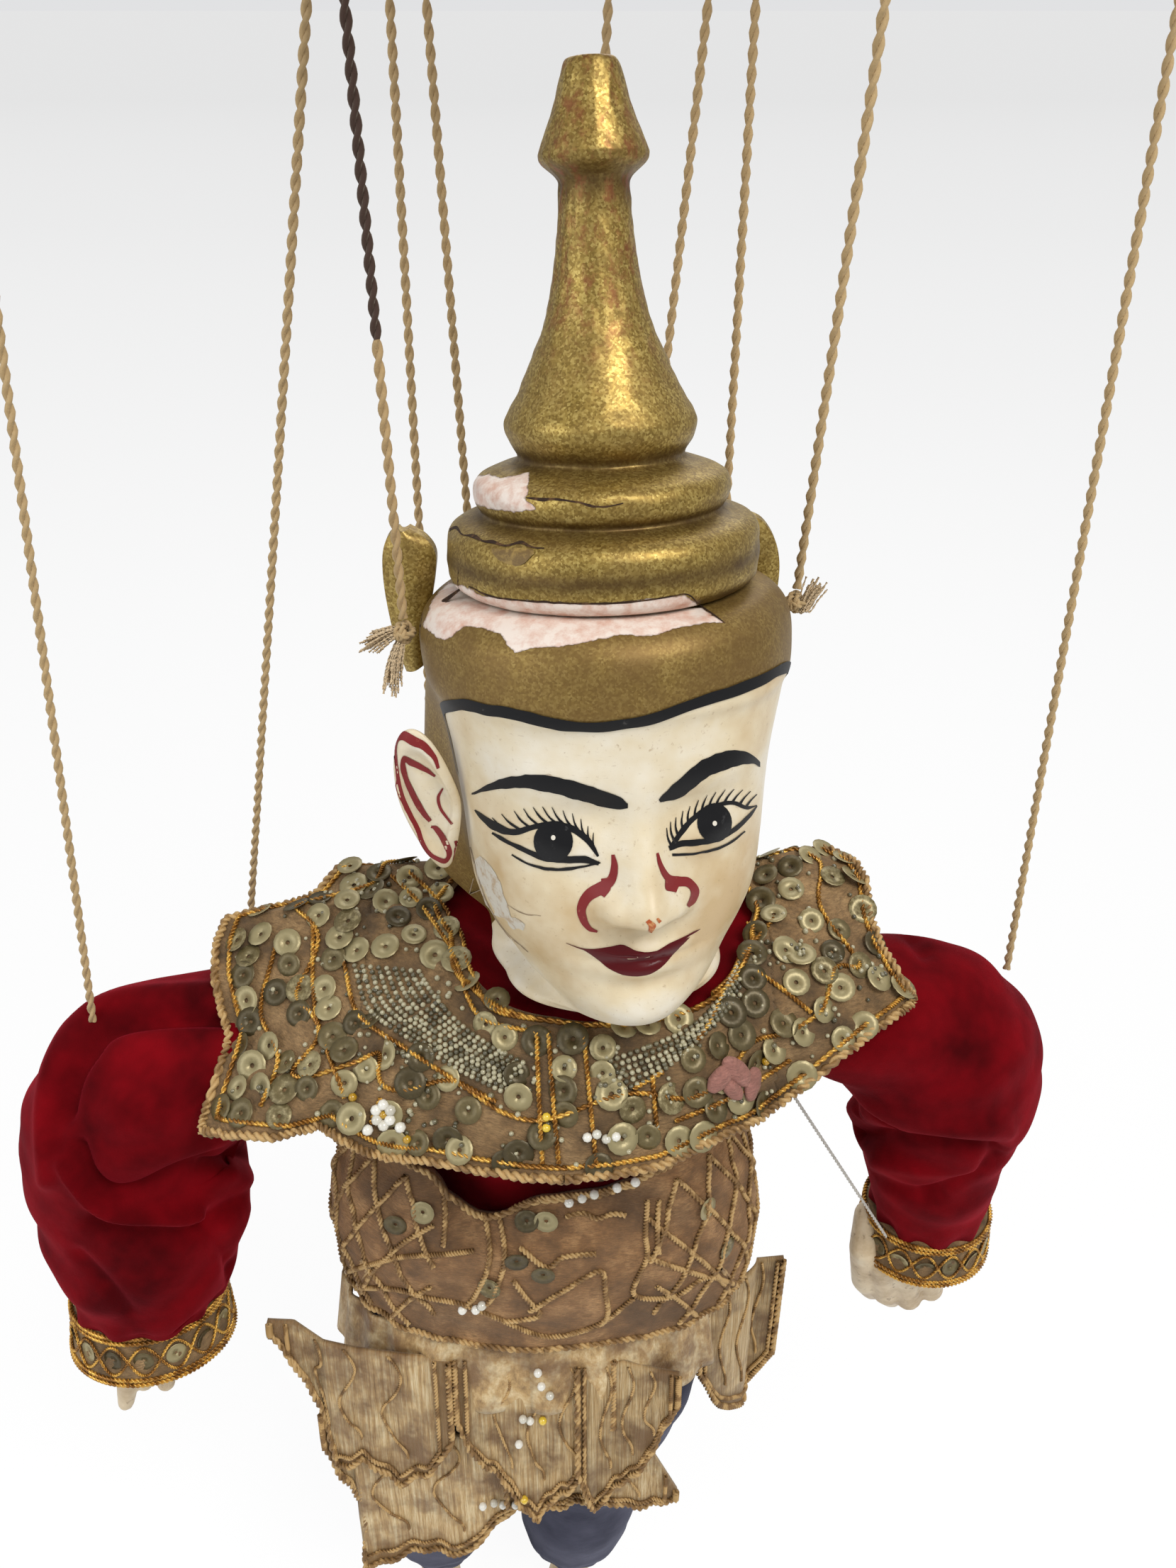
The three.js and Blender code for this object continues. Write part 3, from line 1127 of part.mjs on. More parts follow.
// across, back and drop below the neck's lower end
const handDrops = [
  [-86.2, 20, 24.2], [-92, 19.5, 41.3], [-99, 17.5, 59.3], [-105, 11, 79.3], [-110, 2.5, 99.3],
  [-112.5, -5.5, 118.3], [-112.6, -10.5, 127.3], [-112.6, -18.2, 134.8],
];
const hungFromNeck = ([x, y, drop]) => new THREE.Vector3(x, y, neckFoot - drop);
const handRoute = handDrops.map(hungFromNeck);
const handRouteSteps = 14;
piece("string_forearm_right", tube(handRoute, twine / 2, stringSides, handRouteSteps), twineFibre);

// The left hand's thin thread runs from the shoulder to the cuff
const threadDrops = [[40.2, -8, 29.7], [81.3, -8, 105.1]];
const threadRoute = threadDrops.map(hungFromNeck);
stretched("thread_hand_left", threadRoute[0], threadRoute[1], thread);

export default figure;
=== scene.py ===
import json
import math
import random

import bmesh
import bpy
from mathutils import Matrix, Vector, noise
from mathutils.bvhtree import BVHTree
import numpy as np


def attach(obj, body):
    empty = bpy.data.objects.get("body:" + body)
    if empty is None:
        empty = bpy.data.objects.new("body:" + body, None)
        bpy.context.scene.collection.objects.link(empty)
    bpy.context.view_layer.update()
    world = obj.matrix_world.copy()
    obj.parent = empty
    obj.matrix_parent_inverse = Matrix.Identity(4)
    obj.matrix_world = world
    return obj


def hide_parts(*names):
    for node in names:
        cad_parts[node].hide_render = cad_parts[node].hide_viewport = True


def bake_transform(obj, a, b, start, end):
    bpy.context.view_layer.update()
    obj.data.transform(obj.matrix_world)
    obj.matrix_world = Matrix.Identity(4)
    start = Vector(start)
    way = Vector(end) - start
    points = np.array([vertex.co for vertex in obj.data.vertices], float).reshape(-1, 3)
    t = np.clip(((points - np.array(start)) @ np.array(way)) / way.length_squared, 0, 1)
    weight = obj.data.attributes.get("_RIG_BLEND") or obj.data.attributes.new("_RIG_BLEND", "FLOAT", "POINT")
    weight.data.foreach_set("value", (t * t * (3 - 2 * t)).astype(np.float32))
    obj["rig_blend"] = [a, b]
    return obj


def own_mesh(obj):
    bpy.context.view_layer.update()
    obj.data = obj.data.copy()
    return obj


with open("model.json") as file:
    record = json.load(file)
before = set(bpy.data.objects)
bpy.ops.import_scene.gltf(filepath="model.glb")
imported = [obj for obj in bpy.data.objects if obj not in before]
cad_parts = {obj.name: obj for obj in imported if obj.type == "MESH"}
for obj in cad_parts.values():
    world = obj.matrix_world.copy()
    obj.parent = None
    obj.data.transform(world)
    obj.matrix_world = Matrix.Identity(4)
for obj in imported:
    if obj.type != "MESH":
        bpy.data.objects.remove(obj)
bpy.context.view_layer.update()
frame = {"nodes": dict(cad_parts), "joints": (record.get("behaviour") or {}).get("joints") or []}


# The view
# The puppet is looked at from just in front of its face and a little above,
# with the view tipped down to the hands and the apron. Sizes are millimetres.
MM = 0.001
PICTURE_WIDTH = 1659
PICTURE_HEIGHT = 2212
PREVIEW_SHARE = PICTURE_WIDTH / 1500  # places in it are counted on a preview 1500 wide
FOCAL = 1660  # in the picture's pixels
EYE = Vector((0.0, -205.0, -62.0))
VIEW_TILT = math.radians(34)

view = bpy.data.cameras.new("view")
view.sensor_width = 36.0
view.lens = view.sensor_width * FOCAL / PICTURE_HEIGHT
view.clip_start = 0.01
viewer = bpy.data.objects.new("view", view)
viewer.location = EYE * MM
viewer.rotation_euler = (math.pi / 2 - VIEW_TILT, 0.0, 0.0)
bpy.context.scene.collection.objects.link(viewer)
bpy.context.scene.camera = viewer


def sight(across, down):
    """The line of sight through a place in the picture."""
    right = (across * PREVIEW_SHARE - PICTURE_WIDTH / 2) / FOCAL
    up = (PICTURE_HEIGHT / 2 - down * PREVIEW_SHARE) / FOCAL
    forward = math.cos(VIEW_TILT) + up * math.sin(VIEW_TILT)
    rise = up * math.cos(VIEW_TILT) - math.sin(VIEW_TILT)
    return Vector((right, forward, rise)).normalized()


def in_picture(point):
    """Where a point is seen in the picture."""
    away = point - EYE
    depth = away.y * math.cos(VIEW_TILT) - away.z * math.sin(VIEW_TILT)
    up = (away.y * math.sin(VIEW_TILT) + away.z * math.cos(VIEW_TILT)) / depth * FOCAL
    right = away.x / depth * FOCAL
    return Vector(((PICTURE_WIDTH / 2 + right) / PREVIEW_SHARE, (PICTURE_HEIGHT / 2 - up) / PREVIEW_SHARE))


# The strings
# Hard twisted cotton twine of two plies, knotted under the bars of the control
# and sewn to the costume. The right temple string is stained dark at its top.


class Finish:
    """A procedural material, built by short calls."""

    def __init__(self, name, colour, roughness, metallic=0.0):
        self.material = bpy.data.materials.new(name)
        self.material.use_nodes = True
        self.nodes = self.material.node_tree.nodes
        self.links = self.material.node_tree.links
        self.shader = self.nodes["Principled BSDF"]
        self.shader.inputs["Base Color"].default_value = (*colour, 1.0)
        self.shader.inputs["Roughness"].default_value = roughness
        self.shader.inputs["Metallic"].default_value = metallic

    def add(self, kind, inputs, output=0, **settings):
        made = self.nodes.new("ShaderNode" + kind)
        for key, value in settings.items():
            setattr(made, key, value)
        for key, value in inputs.items():
            if isinstance(value, bpy.types.NodeSocket):
                self.links.new(value, made.inputs[key])
            else:
                made.inputs[key].default_value = value
        return made.outputs[output]

    def drive(self, socket, value):
        self.links.new(value, self.shader.inputs[socket])

    def place(self, scale=(1.0, 1.0, 1.0), own="Object"):
        where = self.add("TexCoord", {}, own)
        return self.add("Mapping", {"Vector": where, "Scale": scale})

    def grain(self, vector, scale, detail=3.0, roughness=0.55):
        inputs = {"Vector": vector, "Scale": scale, "Detail": detail, "Roughness": roughness}
        return self.add("TexNoise", inputs)

    def cells(self, vector, scale, feature="F1"):
        return self.add("TexVoronoi", {"Vector": vector, "Scale": scale}, feature=feature)

    def one_colour(self, pattern):
        """The random colour of each cell of a pattern, as one value."""
        return self.add("SeparateColor", {0: pattern.node.outputs["Color"]}, 0)

    def steps(self, value, *stops):
        shade = self.add("ValToRGB", {"Fac": value})
        ramp = shade.node.color_ramp
        while len(ramp.elements) < len(stops):
            ramp.elements.new(0.5)
        for element, (where, level) in zip(ramp.elements, stops):
            element.position = where
            element.color = (*level, 1.0) if isinstance(level, tuple) else (level, level, level, 1.0)
        return shade

    def sum(self, operation, first, second=0.0, third=0.0):
        return self.add("Math", {0: first, 1: second, 2: third}, operation=operation)

    def blend(self, share, under, over):
        colours = [(*c, 1.0) if isinstance(c, tuple) else c for c in (under, over)]
        return self.add("Mix", {0: share, 6: colours[0], 7: colours[1]}, 2, data_type="RGBA")

    def own(self, name):
        return self.add("Attribute", {}, "Fac", attribute_name=name)

    def raise_by(self, height, depth, strength=1.0):
        before = self.shader.inputs["Normal"].links
        inputs = {"Height": height, "Distance": depth * MM, "Strength": strength}
        if before:
            inputs["Normal"] = before[0].from_socket
        self.drive("Normal", self.add("Bump", inputs))

    def sheen(self, weight, roughness, tint):
        self.shader.inputs["Sheen Weight"].default_value = weight
        self.shader.inputs["Sheen Roughness"].default_value = roughness
        self.shader.inputs["Sheen Tint"].default_value = (*tint, 1.0)


def faces_of(verts):
    return list({face for vert in verts for face in vert.link_faces})


def grid(bm, columns, rows, place, closed=False):
    """A grid of faces, each corner moved to place(u, v); closed sews its two sides."""
    made = bmesh.ops.create_grid(bm, x_segments=columns, y_segments=rows, size=0.5)["verts"]
    layer = bm.loops.layers.uv.verify()
    fresh = set(made)
    for vert in made:
        for loop in vert.link_loops:
            loop[layer].uv = (vert.co.x + 0.5, vert.co.y + 0.5)
    for vert in made:
        vert.co = place(vert.co.x + 0.5, vert.co.y + 0.5)
    if closed:
        bmesh.ops.remove_doubles(bm, verts=list(fresh), dist=1e-4)
        fresh = [vert for vert in fresh if vert.is_valid]
        bmesh.ops.recalc_face_normals(bm, faces=faces_of(fresh))
    return [vert for vert in fresh if vert.is_valid]


def finished(name, bm, finish, smooth=True):
    """The object of a piece whose mesh was made in millimetres."""
    bmesh.ops.scale(bm, vec=(MM, MM, MM), verts=bm.verts)
    mesh = bpy.data.meshes.new(name)
    bm.to_mesh(mesh)
    bm.free()
    if smooth:
        mesh.shade_smooth()
    piece = bpy.data.objects.new(name, mesh)
    bpy.context.scene.collection.objects.link(piece)
    mesh.materials.append(finish.material)
    return piece


def between(low, high, share):
    return low + (high - low) * share


def eased(low, high, value):
    share = min(max((value - low) / (high - low), 0.0), 1.0)
    return share * share * (3 - 2 * share)


def along(points, share):
    """A place on a smooth line through the points, or between a table's rows, by share of their count."""
    last = len(points) - 1
    i = min(int(share * last), last - 1)
    t = share * last - i
    a, b = Vector(points[i]), Vector(points[i + 1])
    before = Vector(points[i - 1]) if i > 0 else 2 * a - b
    after = Vector(points[i + 2]) if i + 2 <= last else 2 * b - a
    bend = (b - before) / 2 * (t - 2 * t * t + t**3) + (after - a) / 2 * (t**3 - t * t)
    return a * (1 - 3 * t * t + 2 * t**3) + b * (3 * t * t - 2 * t**3) + bend


TWINE = 1.9
TWIST = 6.4  # length of one full turn of the two plies
STEPS_PER_TURN = 10


def twisted(bm, points, diameter, twist, plies=2, sides=6, share=0.285, turn_steps=STEPS_PER_TURN):
    """Plies wound round a line through the points."""
    length = sum((Vector(b) - Vector(a)).length for a, b in zip(points, points[1:]))
    steps = max(8, int(length / twist * turn_steps))
    for ply in range(plies):

        def winding(u, v):
            centre = along(points, u)
            ahead = along(points, min(u + 0.01, 1.0)) - along(points, max(u - 0.01, 0.0))
            ahead.normalize()
            side = ahead.cross(Vector((0.0, 1.0, 0.3))).normalized()
            front = ahead.cross(side)
            turn = (u * length / twist + ply / plies) * 2 * math.pi
            out = side * math.cos(turn) + front * math.sin(turn)
            skew = v * 2 * math.pi
            return centre + out * diameter * (0.5 - share) + (
                out * math.cos(skew) + out.cross(ahead) * math.sin(skew)
            ) * diameter * share

        grid(bm, steps, sides, winding)
    bmesh.ops.remove_doubles(bm, verts=bm.verts, dist=diameter * 0.02)
    return length


def twine_finish(name, colour, dark_above=None):
    finish = Finish(name, colour, 0.85)
    where = finish.place()
    tone = finish.grain(where, 900.0)
    patch = finish.grain(where, 90.0)
    light = finish.blend(tone, tuple(c * 0.62 for c in colour), tuple(min(c * 1.3, 1.0) for c in colour))
    worn = finish.blend(patch, light, tuple(c * 0.8 for c in colour))
    if dark_above is not None:
        height = finish.add("SeparateXYZ", {0: finish.add("TexCoord", {}, "Object")}, 2)
        uneven = finish.sum("MULTIPLY_ADD", patch, 0.012, height)
        level = finish.sum("GREATER_THAN", uneven, dark_above * MM)
        worn = finish.blend(level, worn, (0.045, 0.02, 0.012))
    finish.drive("Base Color", worn)
    finish.raise_by(finish.grain(where, 2600.0, 2.0), 0.12, 0.7)
    finish.sheen(0.25, 0.5, (1.0, 0.9, 0.7))
    return finish


twine = twine_finish("cotton twine", (0.50, 0.35, 0.17))
stained_twine = twine_finish("cotton twine, dark top", (0.47, 0.32, 0.15), dark_above=-101.0)
pale_thread = twine_finish("pale thread", (0.62, 0.60, 0.55))

STRING_TOP = -20.7
TEMPLE_TOP_Y, ARM_TOP_Y, REAR_TOP_Y = -8.0, 22.0, 52.0
RIGHT_KNOT = Vector((-34.04, -8.36, -160.66))
LEFT_KNOT = Vector((40.44, 4.96, -160.74))
KNOT_RISE = Vector((0, 0, 2.85))
WAIST_STITCH = (19.9, -309.0)  # y and height
STRINGS = {
    # name: top, lower end, finish
    "string_temple_right": ((-33.9, TEMPLE_TOP_Y, STRING_TOP), RIGHT_KNOT + KNOT_RISE, stained_twine),
    "string_temple_left": ((43.1, TEMPLE_TOP_Y, STRING_TOP), LEFT_KNOT + KNOT_RISE, twine),
    "string_elbow_right": ((-95.9, ARM_TOP_Y, STRING_TOP), (-113.35, -12.04, -257.63), twine),
    "string_elbow_left": ((92.1, ARM_TOP_Y, STRING_TOP), (100.67, 4.82, -257.13), twine),
    "string_hand_right": ((-36.3, ARM_TOP_Y, STRING_TOP), (-86.0, 20.0, -262.0), twine),
    "string_shoulder_right": ((-34.9, REAR_TOP_Y, STRING_TOP), (-36.2, 19.29, -238.12), twine),
    "string_shoulder_left": ((30.1, REAR_TOP_Y, STRING_TOP), (28.6, 21.0, -241.51), twine),
    "string_waist_right": ((-30.2, REAR_TOP_Y, STRING_TOP), (-21.0, *WAIST_STITCH), twine),
    "string_back": ((6.2, REAR_TOP_Y, STRING_TOP), (-11.0, *WAIST_STITCH), twine),
    "string_waist_left": ((25.4, REAR_TOP_Y, STRING_TOP), (-1.0, *WAIST_STITCH), twine),
}


def taut(name, points, finish, diameter=TWINE, twist=TWIST):
    """A tight string of two twisted plies along the points, in place of the carried-over one."""
    bm = bmesh.new()
    length = twisted(bm, points, diameter, twist)
    string = finished("twisted_" + name, bm, finish)
    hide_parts(name)
    if len(points) == 2:
        points = [Vector(points[0]).lerp(Vector(points[1]), i / 12) for i in range(13)]
    path = [tuple(Vector(point) * MM) for point in points]
    return string


strings = {}
for name, (top, foot, finish) in STRINGS.items():
    strings[name] = taut(name, [top, tuple(foot)], finish)

# The temple strings turn with the head, and the rest, the arms' strings with them, stay with the body.
for name, (top, foot, _) in STRINGS.items():
    if name.startswith("string_temple"):
        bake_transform(strings[name], "root", "temple_knots", start=Vector(top) * MM, end=foot * MM)
    elif "elbow" not in name and "hand" not in name:
        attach(strings[name], "root")


def shortens(name, joint_name):
    """A string of the arm, hung on the body with a mesh of its own."""
    joint = next(j for j in frame["joints"] if j["name"] == joint_name)
    pivot = Vector(joint["pos_m"])
    top, foot = (Vector(point) * MM for point in STRINGS[name][:2])
    swing = Matrix.Rotation(math.radians(joint["range_deg"][1]), 3, Vector(joint["axis"]))
    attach(strings[name], "root")
    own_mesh(strings[name])


for name in ("string_elbow_right", "string_hand_right", "string_elbow_left"):
    shortens(name, "shoulder_raise_" + name.rpartition("_")[2])

# Below its eye the right hand's string runs behind the sleeve to the hand.
HAND_ROUTE = [
    (-86.2, 20, -262.9), (-92, 19.5, -280), (-99, 17.5, -298), (-105, 11, -318), (-110, 2.5, -338),
    (-112.5, -5.5, -357), (-112.6, -10.5, -366), (-112.6, -18.2, -373.5),
]
hand_path = [tuple(along(HAND_ROUTE, i / 24)) for i in range(25)]
hand_string = taut("string_forearm_right", hand_path, twine)
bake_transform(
    hand_string, "upper_arm_right", "forearm_right",
    start=Vector((-96, 18, -270)) * MM, end=Vector((-103, 12, -312)) * MM,
)
THREAD = 0.9
THREAD_TOP, THREAD_FOOT = Vector((40.2, -8, -268.4)), Vector((81.3, -8, -343.8))
left_thread = taut("thread_hand_left", [THREAD_TOP, THREAD_FOOT], pale_thread, THREAD, THREAD * 3)
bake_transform(left_thread, "upper_arm_left", "forearm_left", start=THREAD_TOP * MM, end=THREAD_FOOT * MM)

# A thicker cord through the neck hangs the head on the body.
NECK_CORD = 3.0
neck_bm = bmesh.new()
twisted(neck_bm, [(5.26, -13.62, -229.2), (5.51, -15.10, -256.4)], NECK_CORD, NECK_CORD * 3)
neck_cord = finished("twisted_neck_cord", neck_bm, twine)
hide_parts("neck_cord")
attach(neck_cord, "root")

# Each string is wound twice round its bar and tied underneath.
BAR_THICK, BAR_WIDTH = 8.0, 15.0
SPINE_HALF = 12.0  # the spine covers the bars' tops out to here
KNOT_LOOP = [
    (-2.6, -1.5, -1.5), (0, -2.4, -2.6), (2.7, 0, -1.6), (0, 2.4, -2.4), (-2.4, 1, -1.8), (0, -1.2, -0.8),
]


def bar_tie(name, top):
    bm = bmesh.new()
    x, y, z = top
    half, rise = BAR_WIDTH / 2 + 0.9, BAR_THICK + 1.4
    for turn in (-1.05, 1.05):
        loop = [
            (x + turn, y - half, z + rise - 1), (x + turn, y - half, z + 1.2), (x + turn, y, z - 0.6),
            (x + turn, y + half, z + 1.2), (x + turn, y + half, z + rise - 1),
        ]
        if abs(x) > SPINE_HALF:
            loop += [(x + turn, y, z + rise + 0.5), loop[0]]
        twisted(bm, loop, TWINE, TWIST)
    twisted(bm, [(x + aside, y + back, z + up) for aside, back, up in KNOT_LOOP], TWINE, TWIST)
    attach(finished(name, bm, twine), "root")


for name, (top, *_) in STRINGS.items():
    bar_tie(name.replace("string", "tie"), top)


# The hand control
# A spine of planed teak with three crossbars pegged under it, plain and oiled
# by hands. It hangs out of the picture, above the puppet.


def wood_finish(name, pale, dark, along_axis):
    finish = Finish(name, pale, 0.55)
    stretch = [28.0, 28.0, 28.0]
    stretch[along_axis] = 3.0
    where = finish.place(tuple(stretch))
    rings = finish.grain(where, 6.0, 5.0, 0.6)
    pores = finish.grain(finish.place(tuple(s * 9 for s in stretch)), 7.0, 2.0)
    tone = finish.steps(rings, (0.3, dark), (0.5, pale), (0.72, tuple(c * 1.15 for c in pale)))
    hand = finish.grain(finish.place(), 22.0)
    shaded = finish.blend(finish.steps(hand, (0.4, 0.0), (0.75, 0.5)), tone, tuple(c * 0.6 for c in dark))
    finish.drive("Base Color", shaded)
    finish.drive("Roughness", finish.steps(pores, (0.2, 0.42), (0.8, 0.68)))
    finish.raise_by(pores, 0.08, 0.6)
    return finish


teak_along_y = wood_finish("oiled teak, spine", (0.36, 0.19, 0.085), (0.2, 0.09, 0.035), 1)
teak_along_x = wood_finish("oiled teak, bars", (0.38, 0.2, 0.09), (0.22, 0.1, 0.04), 0)
teak_upright = wood_finish("oiled teak, pegs and limbs", (0.4, 0.23, 0.11), (0.25, 0.12, 0.05), 2)


def dress(node, finish):
    """Gives a carried-over solid its finish."""
    mesh = frame["nodes"][node].data
    mesh.materials.clear()
    mesh.materials.append(finish.material)


dress("control_spine", teak_along_y)
for place in ("front", "arm", "rear"):
    dress(f"control_{place}_bar", teak_along_x)
    dress("control_peg_" + place, teak_upright)
for node in ("torso", "pelvis"):
    dress(node, teak_upright)
for limb in ("upper_arm_", "forearm_", "thigh_"):
    dress(limb + "right", teak_upright)
    dress(limb + "left", teak_upright)


# The head
# One block of soft wood under gesso, with the head band and the hair left
# standing round the face, painted cream in front and gilded above and behind.
HEAD_TURN = (math.radians(-9.9), math.radians(-1.7), math.radians(10))
HEAD_PLACE = Vector((3.2, -1.7, -160.7))
HEAD = Matrix.Translation(HEAD_PLACE) @ Matrix.Rotation(HEAD_TURN[0], 4, "X") @ Matrix.Rotation(
    HEAD_TURN[1], 4, "Y") @ Matrix.Rotation(HEAD_TURN[2], 4, "Z")

# height in front, height behind, half width in front, half width behind, front, back, squareness
HEAD_SECTIONS = [
    (7.2, 7.2, 26.8, 26.8, 26.8, 26.8, 2.0),
    (6.0, 6.0, 31.0, 31.0, 31.0, 31.0, 2.0),
    (3.4, 3.4, 33.8, 33.8, 33.8, 33.8, 2.0),
    (0.0, 0.0, 35.0, 35.0, 35.0, 35.0, 2.0),
    (-4.4, -4.4, 35.1, 35.3, 35.2, 35.2, 2.05),
    (-8.0, -8.8, 34.6, 36.2, 34.9, 35.6, 2.1),
    (-11.4, -12.0, 33.2, 37.0, 33.6, 35.0, 2.15),
    (-18.5, -20.0, 31.5, 38.4, 33.0, 34.0, 2.3),
    (-30.0, -32.0, 30.2, 39.8, 31.6, 33.0, 2.3),
    (-41.0, -42.0, 29.6, 40.6, 31.6, 31.5, 2.25),
    (-50.5, -50.5, 28.6, 40.2, 31.6, 30.0, 2.2),
    (-56.5, -56.0, 26.8, 38.4, 31.6, 28.0, 2.1),
    (-61.5, -60.5, 24.3, 34.0, 31.2, 25.2, 2.05),
    (-68.5, -64.0, 21.0, 29.0, 30.8, 23.0, 2.0),
    (-74.0, -69.0, 17.5, 28.2, 27.4, 20.5, 2.0),
    (-75.6, -73.5, 22.5, 28.2, 21.0, 19.0, 2.0),
    (-77.0, -76.6, 23.0, 26.0, 19.0, 17.5, 2.0),
    (-78.0, -78.0, 19.5, 22.0, 16.0, 15.0, 2.0),
]
HEAD_SIDES = 208
HEAD_ROWS = 210


def squarish(angle, squareness):
    """A ring from its front at angle 0: round with a squareness of 2, and squarer above it."""
    s, c = math.sin(angle), math.cos(angle)
    bend = 2 / squareness
    return math.copysign(abs(s) ** bend, s), -math.copysign(abs(c) ** bend, c)


def swell(x, z, middle_x, middle_z, size_x, size_z):
    return math.exp(-(((x - middle_x) / size_x) ** 2) - ((z - middle_z) / size_z) ** 2)


def face_relief(x, z):
    """How far the carved features stand out of the face."""
    bridge = eased(-20.0, -43.0, z)
    under = eased(-49.5, -45.5, z)
    wide = between(3.4, 5.4, bridge**2)
    out = (1.0 + 6.6 * bridge**1.5) * eased(-17, -24, z) * under * math.exp(-((x / wide) ** 2))
    out += 1.7 * swell(x, z, 0, -43.6, 4.4, 3.2) * under
    for side in (-1, 1):
        out += 3.5 * swell(x, z, side * 6.3, -44.6, 3.0, 3.3)
        out -= 0.9 * swell(x, z, side * 3.2, -48.6, 1.5, 1.2)
        out += 0.9 * swell(x, z, side * 15.5, -20.5, 10.0, 3.6)
        out -= 1.5 * swell(x, z, side * 9.5, -27.5, 6.5, 4.0)
        out += 1.2 * swell(x, z, side * 15.2, -32.5, 8.0, 4.3)
        out -= 0.6 * swell(x, z, side * 14.8, -38.6, 8.5, 2.2)
        out += 1.1 * swell(x, z, side * 18.5, -46.0, 8.5, 8.0)
        out -= 0.6 * swell(x, z, side * 11.8, -55.0, 2.6, 2.4)
    out -= 0.5 * swell(x, z, 0, -51.5, 1.8, 2.2)
    out += 1.5 * swell(x, z, 0, -54.6, 8.5, 1.9) + 1.7 * swell(x, z, 0, -58.6, 6.8, 2.2)
    out -= 0.9 * swell(x, z, 0, -56.5, 8.0, 0.7)
    out -= 1.0 * swell(x, z, 0, -62.6, 8.0, 2.2)
    out += 1.5 * swell(x, z, 0, -70.5, 8.0, 4.5)
    return out


def head_point(u, v):
    angle = (u * 2 - 1) * math.pi
    high, back_high, across, back_across, front, back, squareness = along(HEAD_SECTIONS, v)
    c = math.cos(angle)
    aside, forth = squarish(angle, squareness)
    x = between(across, back_across, eased(0.02, -0.5, c)) * aside
    y = (front if c > 0 else back) * forth
    z = between(back_high, high, (1 + c) / 2)
    point = Vector((x, y - (face_relief(x, z) * c**1.5 if c > 0 else 0.0), z))
    return point + noise.noise_vector(point * 0.07) * 0.35


# The painted hair line: turn from the front in degrees, and height in the head's own frame
HAIR_LINE = [
    (-79, -27), (-79.8, -22.4), (-80, -18), (-79.6, -15.6), (-75.4, -12.6), (-60, -8.6), (-52, -7.2),
    (-44, -7.2), (-35.6, -7.1), (-27.7, -7.9), (-21.5, -8.4), (-9.1, -8.5), (2.2, -7.7), (13.9, -6.1),
    (25.2, -5.4), (39.7, -5.0), (52, -5.6), (65, -8.0), (76, -12.6), (80, -17), (79, -27),
]
# Where the gilding ends behind the ears: height, turn from the front
HAIR_EDGE = [(-26, 79), (-49, 79), (-55, 82), (-62, 96), (-70, 110), (-90, 118)]
HAIR_TURN = 79


def level(table, place):
    """A table's second value where its first comes to a place."""
    for (a, low), (b, high) in zip(table, table[1:]):
        if (a - place) * (b - place) <= 0:
            return between(low, high, (place - a) / (b - a))
    return table[0][1] if abs(place - table[0][0]) < abs(place - table[-1][0]) else table[-1][1]


def gilding(point):
    """How far inside the gilded part a point of the head is."""
    turn = math.degrees(math.atan2(point.x, -point.y))
    above = point.z - level(HAIR_LINE, turn)
    if abs(turn) < HAIR_TURN:
        return above
    behind = (abs(turn) - level(HAIR_EDGE, point.z)) * 0.6
    return max(behind, above if point.z > -29 else behind)


# Outlines in the picture of the places where the paint is lost
BAND_CHIP = [
    (539, 799), (550, 766), (572, 742), (598, 749.5), (613, 759), (657, 764), (709, 768), (768, 770),
    (819, 765), (875, 759), (893, 773.5), (923, 794), (893, 796), (864, 801), (834, 812), (793, 810),
    (764, 816), (734, 823), (709, 825), (679, 827), (657, 834), (646, 821), (638, 808.5), (613, 801),
    (590.5, 799), (576, 814), (561, 816),
]
TIER_CHIP = [
    (596, 616), (602, 607), (624, 604.5), (642, 609), (675, 602), (673.5, 630), (669, 636), (686, 650),
    (657, 653.5), (624, 650), (598, 639),
]
PX_PER_MM = 7.4  # of the preview, at the head


def off_line(place, points):
    """How far a place of the picture is from the nearest stretch of a line there."""
    nearest = 1e9
    for (ax, ay), (bx, by) in zip(points, points[1:]):
        share = ((place.x - ax) * (bx - ax) + (place.y - ay) * (by - ay)) / ((bx - ax) ** 2 + (by - ay) ** 2)
        share = min(max(share, 0.0), 1.0)
        nearest = min(nearest, math.hypot(place.x - between(ax, bx, share), place.y - between(ay, by, share)))
    return nearest


def inside_by(outline, place):
    """How far inside an outline of the picture a place is, in millimetres there."""
    ring, within = outline + outline[:1], False
    for (ax, ay), (bx, by) in zip(ring, ring[1:]):
        if (ay > place.y) != (by > place.y) and place.x < ax + (place.y - ay) * (bx - ax) / (by - ay):
            within = not within
    return off_line(place, ring) / PX_PER_MM * (1 if within else -1)


WHOLE_PAINT = -5.0  # far outside every chip


def mark_chips(bm, outlines=()):
    """Writes each corner's distance inside the places where the paint is lost."""
    bm.normal_update()
    layer = bm.verts.layers.float.new("chip")
    for vert in bm.verts:
        vert[layer] = WHOLE_PAINT
        if outlines and vert.normal.dot(EYE - vert.co) > 0:
            place = in_picture(vert.co)
            vert[layer] = max(WHOLE_PAINT, *(inside_by(outline, place) for outline in outlines))


def ends_closed(bm):
    bmesh.ops.holes_fill(bm, edges=[edge for edge in bm.edges if edge.is_boundary], sides=0)


head_bm = bmesh.new()
grid(head_bm, HEAD_SIDES, HEAD_ROWS, head_point, closed=True)
ends_closed(head_bm)
gilt_layer = head_bm.verts.layers.float.new("gilt")
for vert in head_bm.verts:
    vert[gilt_layer] = gilding(vert.co)
bmesh.ops.transform(head_bm, matrix=HEAD, verts=head_bm.verts)
bmesh.ops.recalc_face_normals(head_bm, faces=head_bm.faces)
mark_chips(head_bm, [BAND_CHIP])
head_tree = BVHTree.FromBMesh(head_bm)


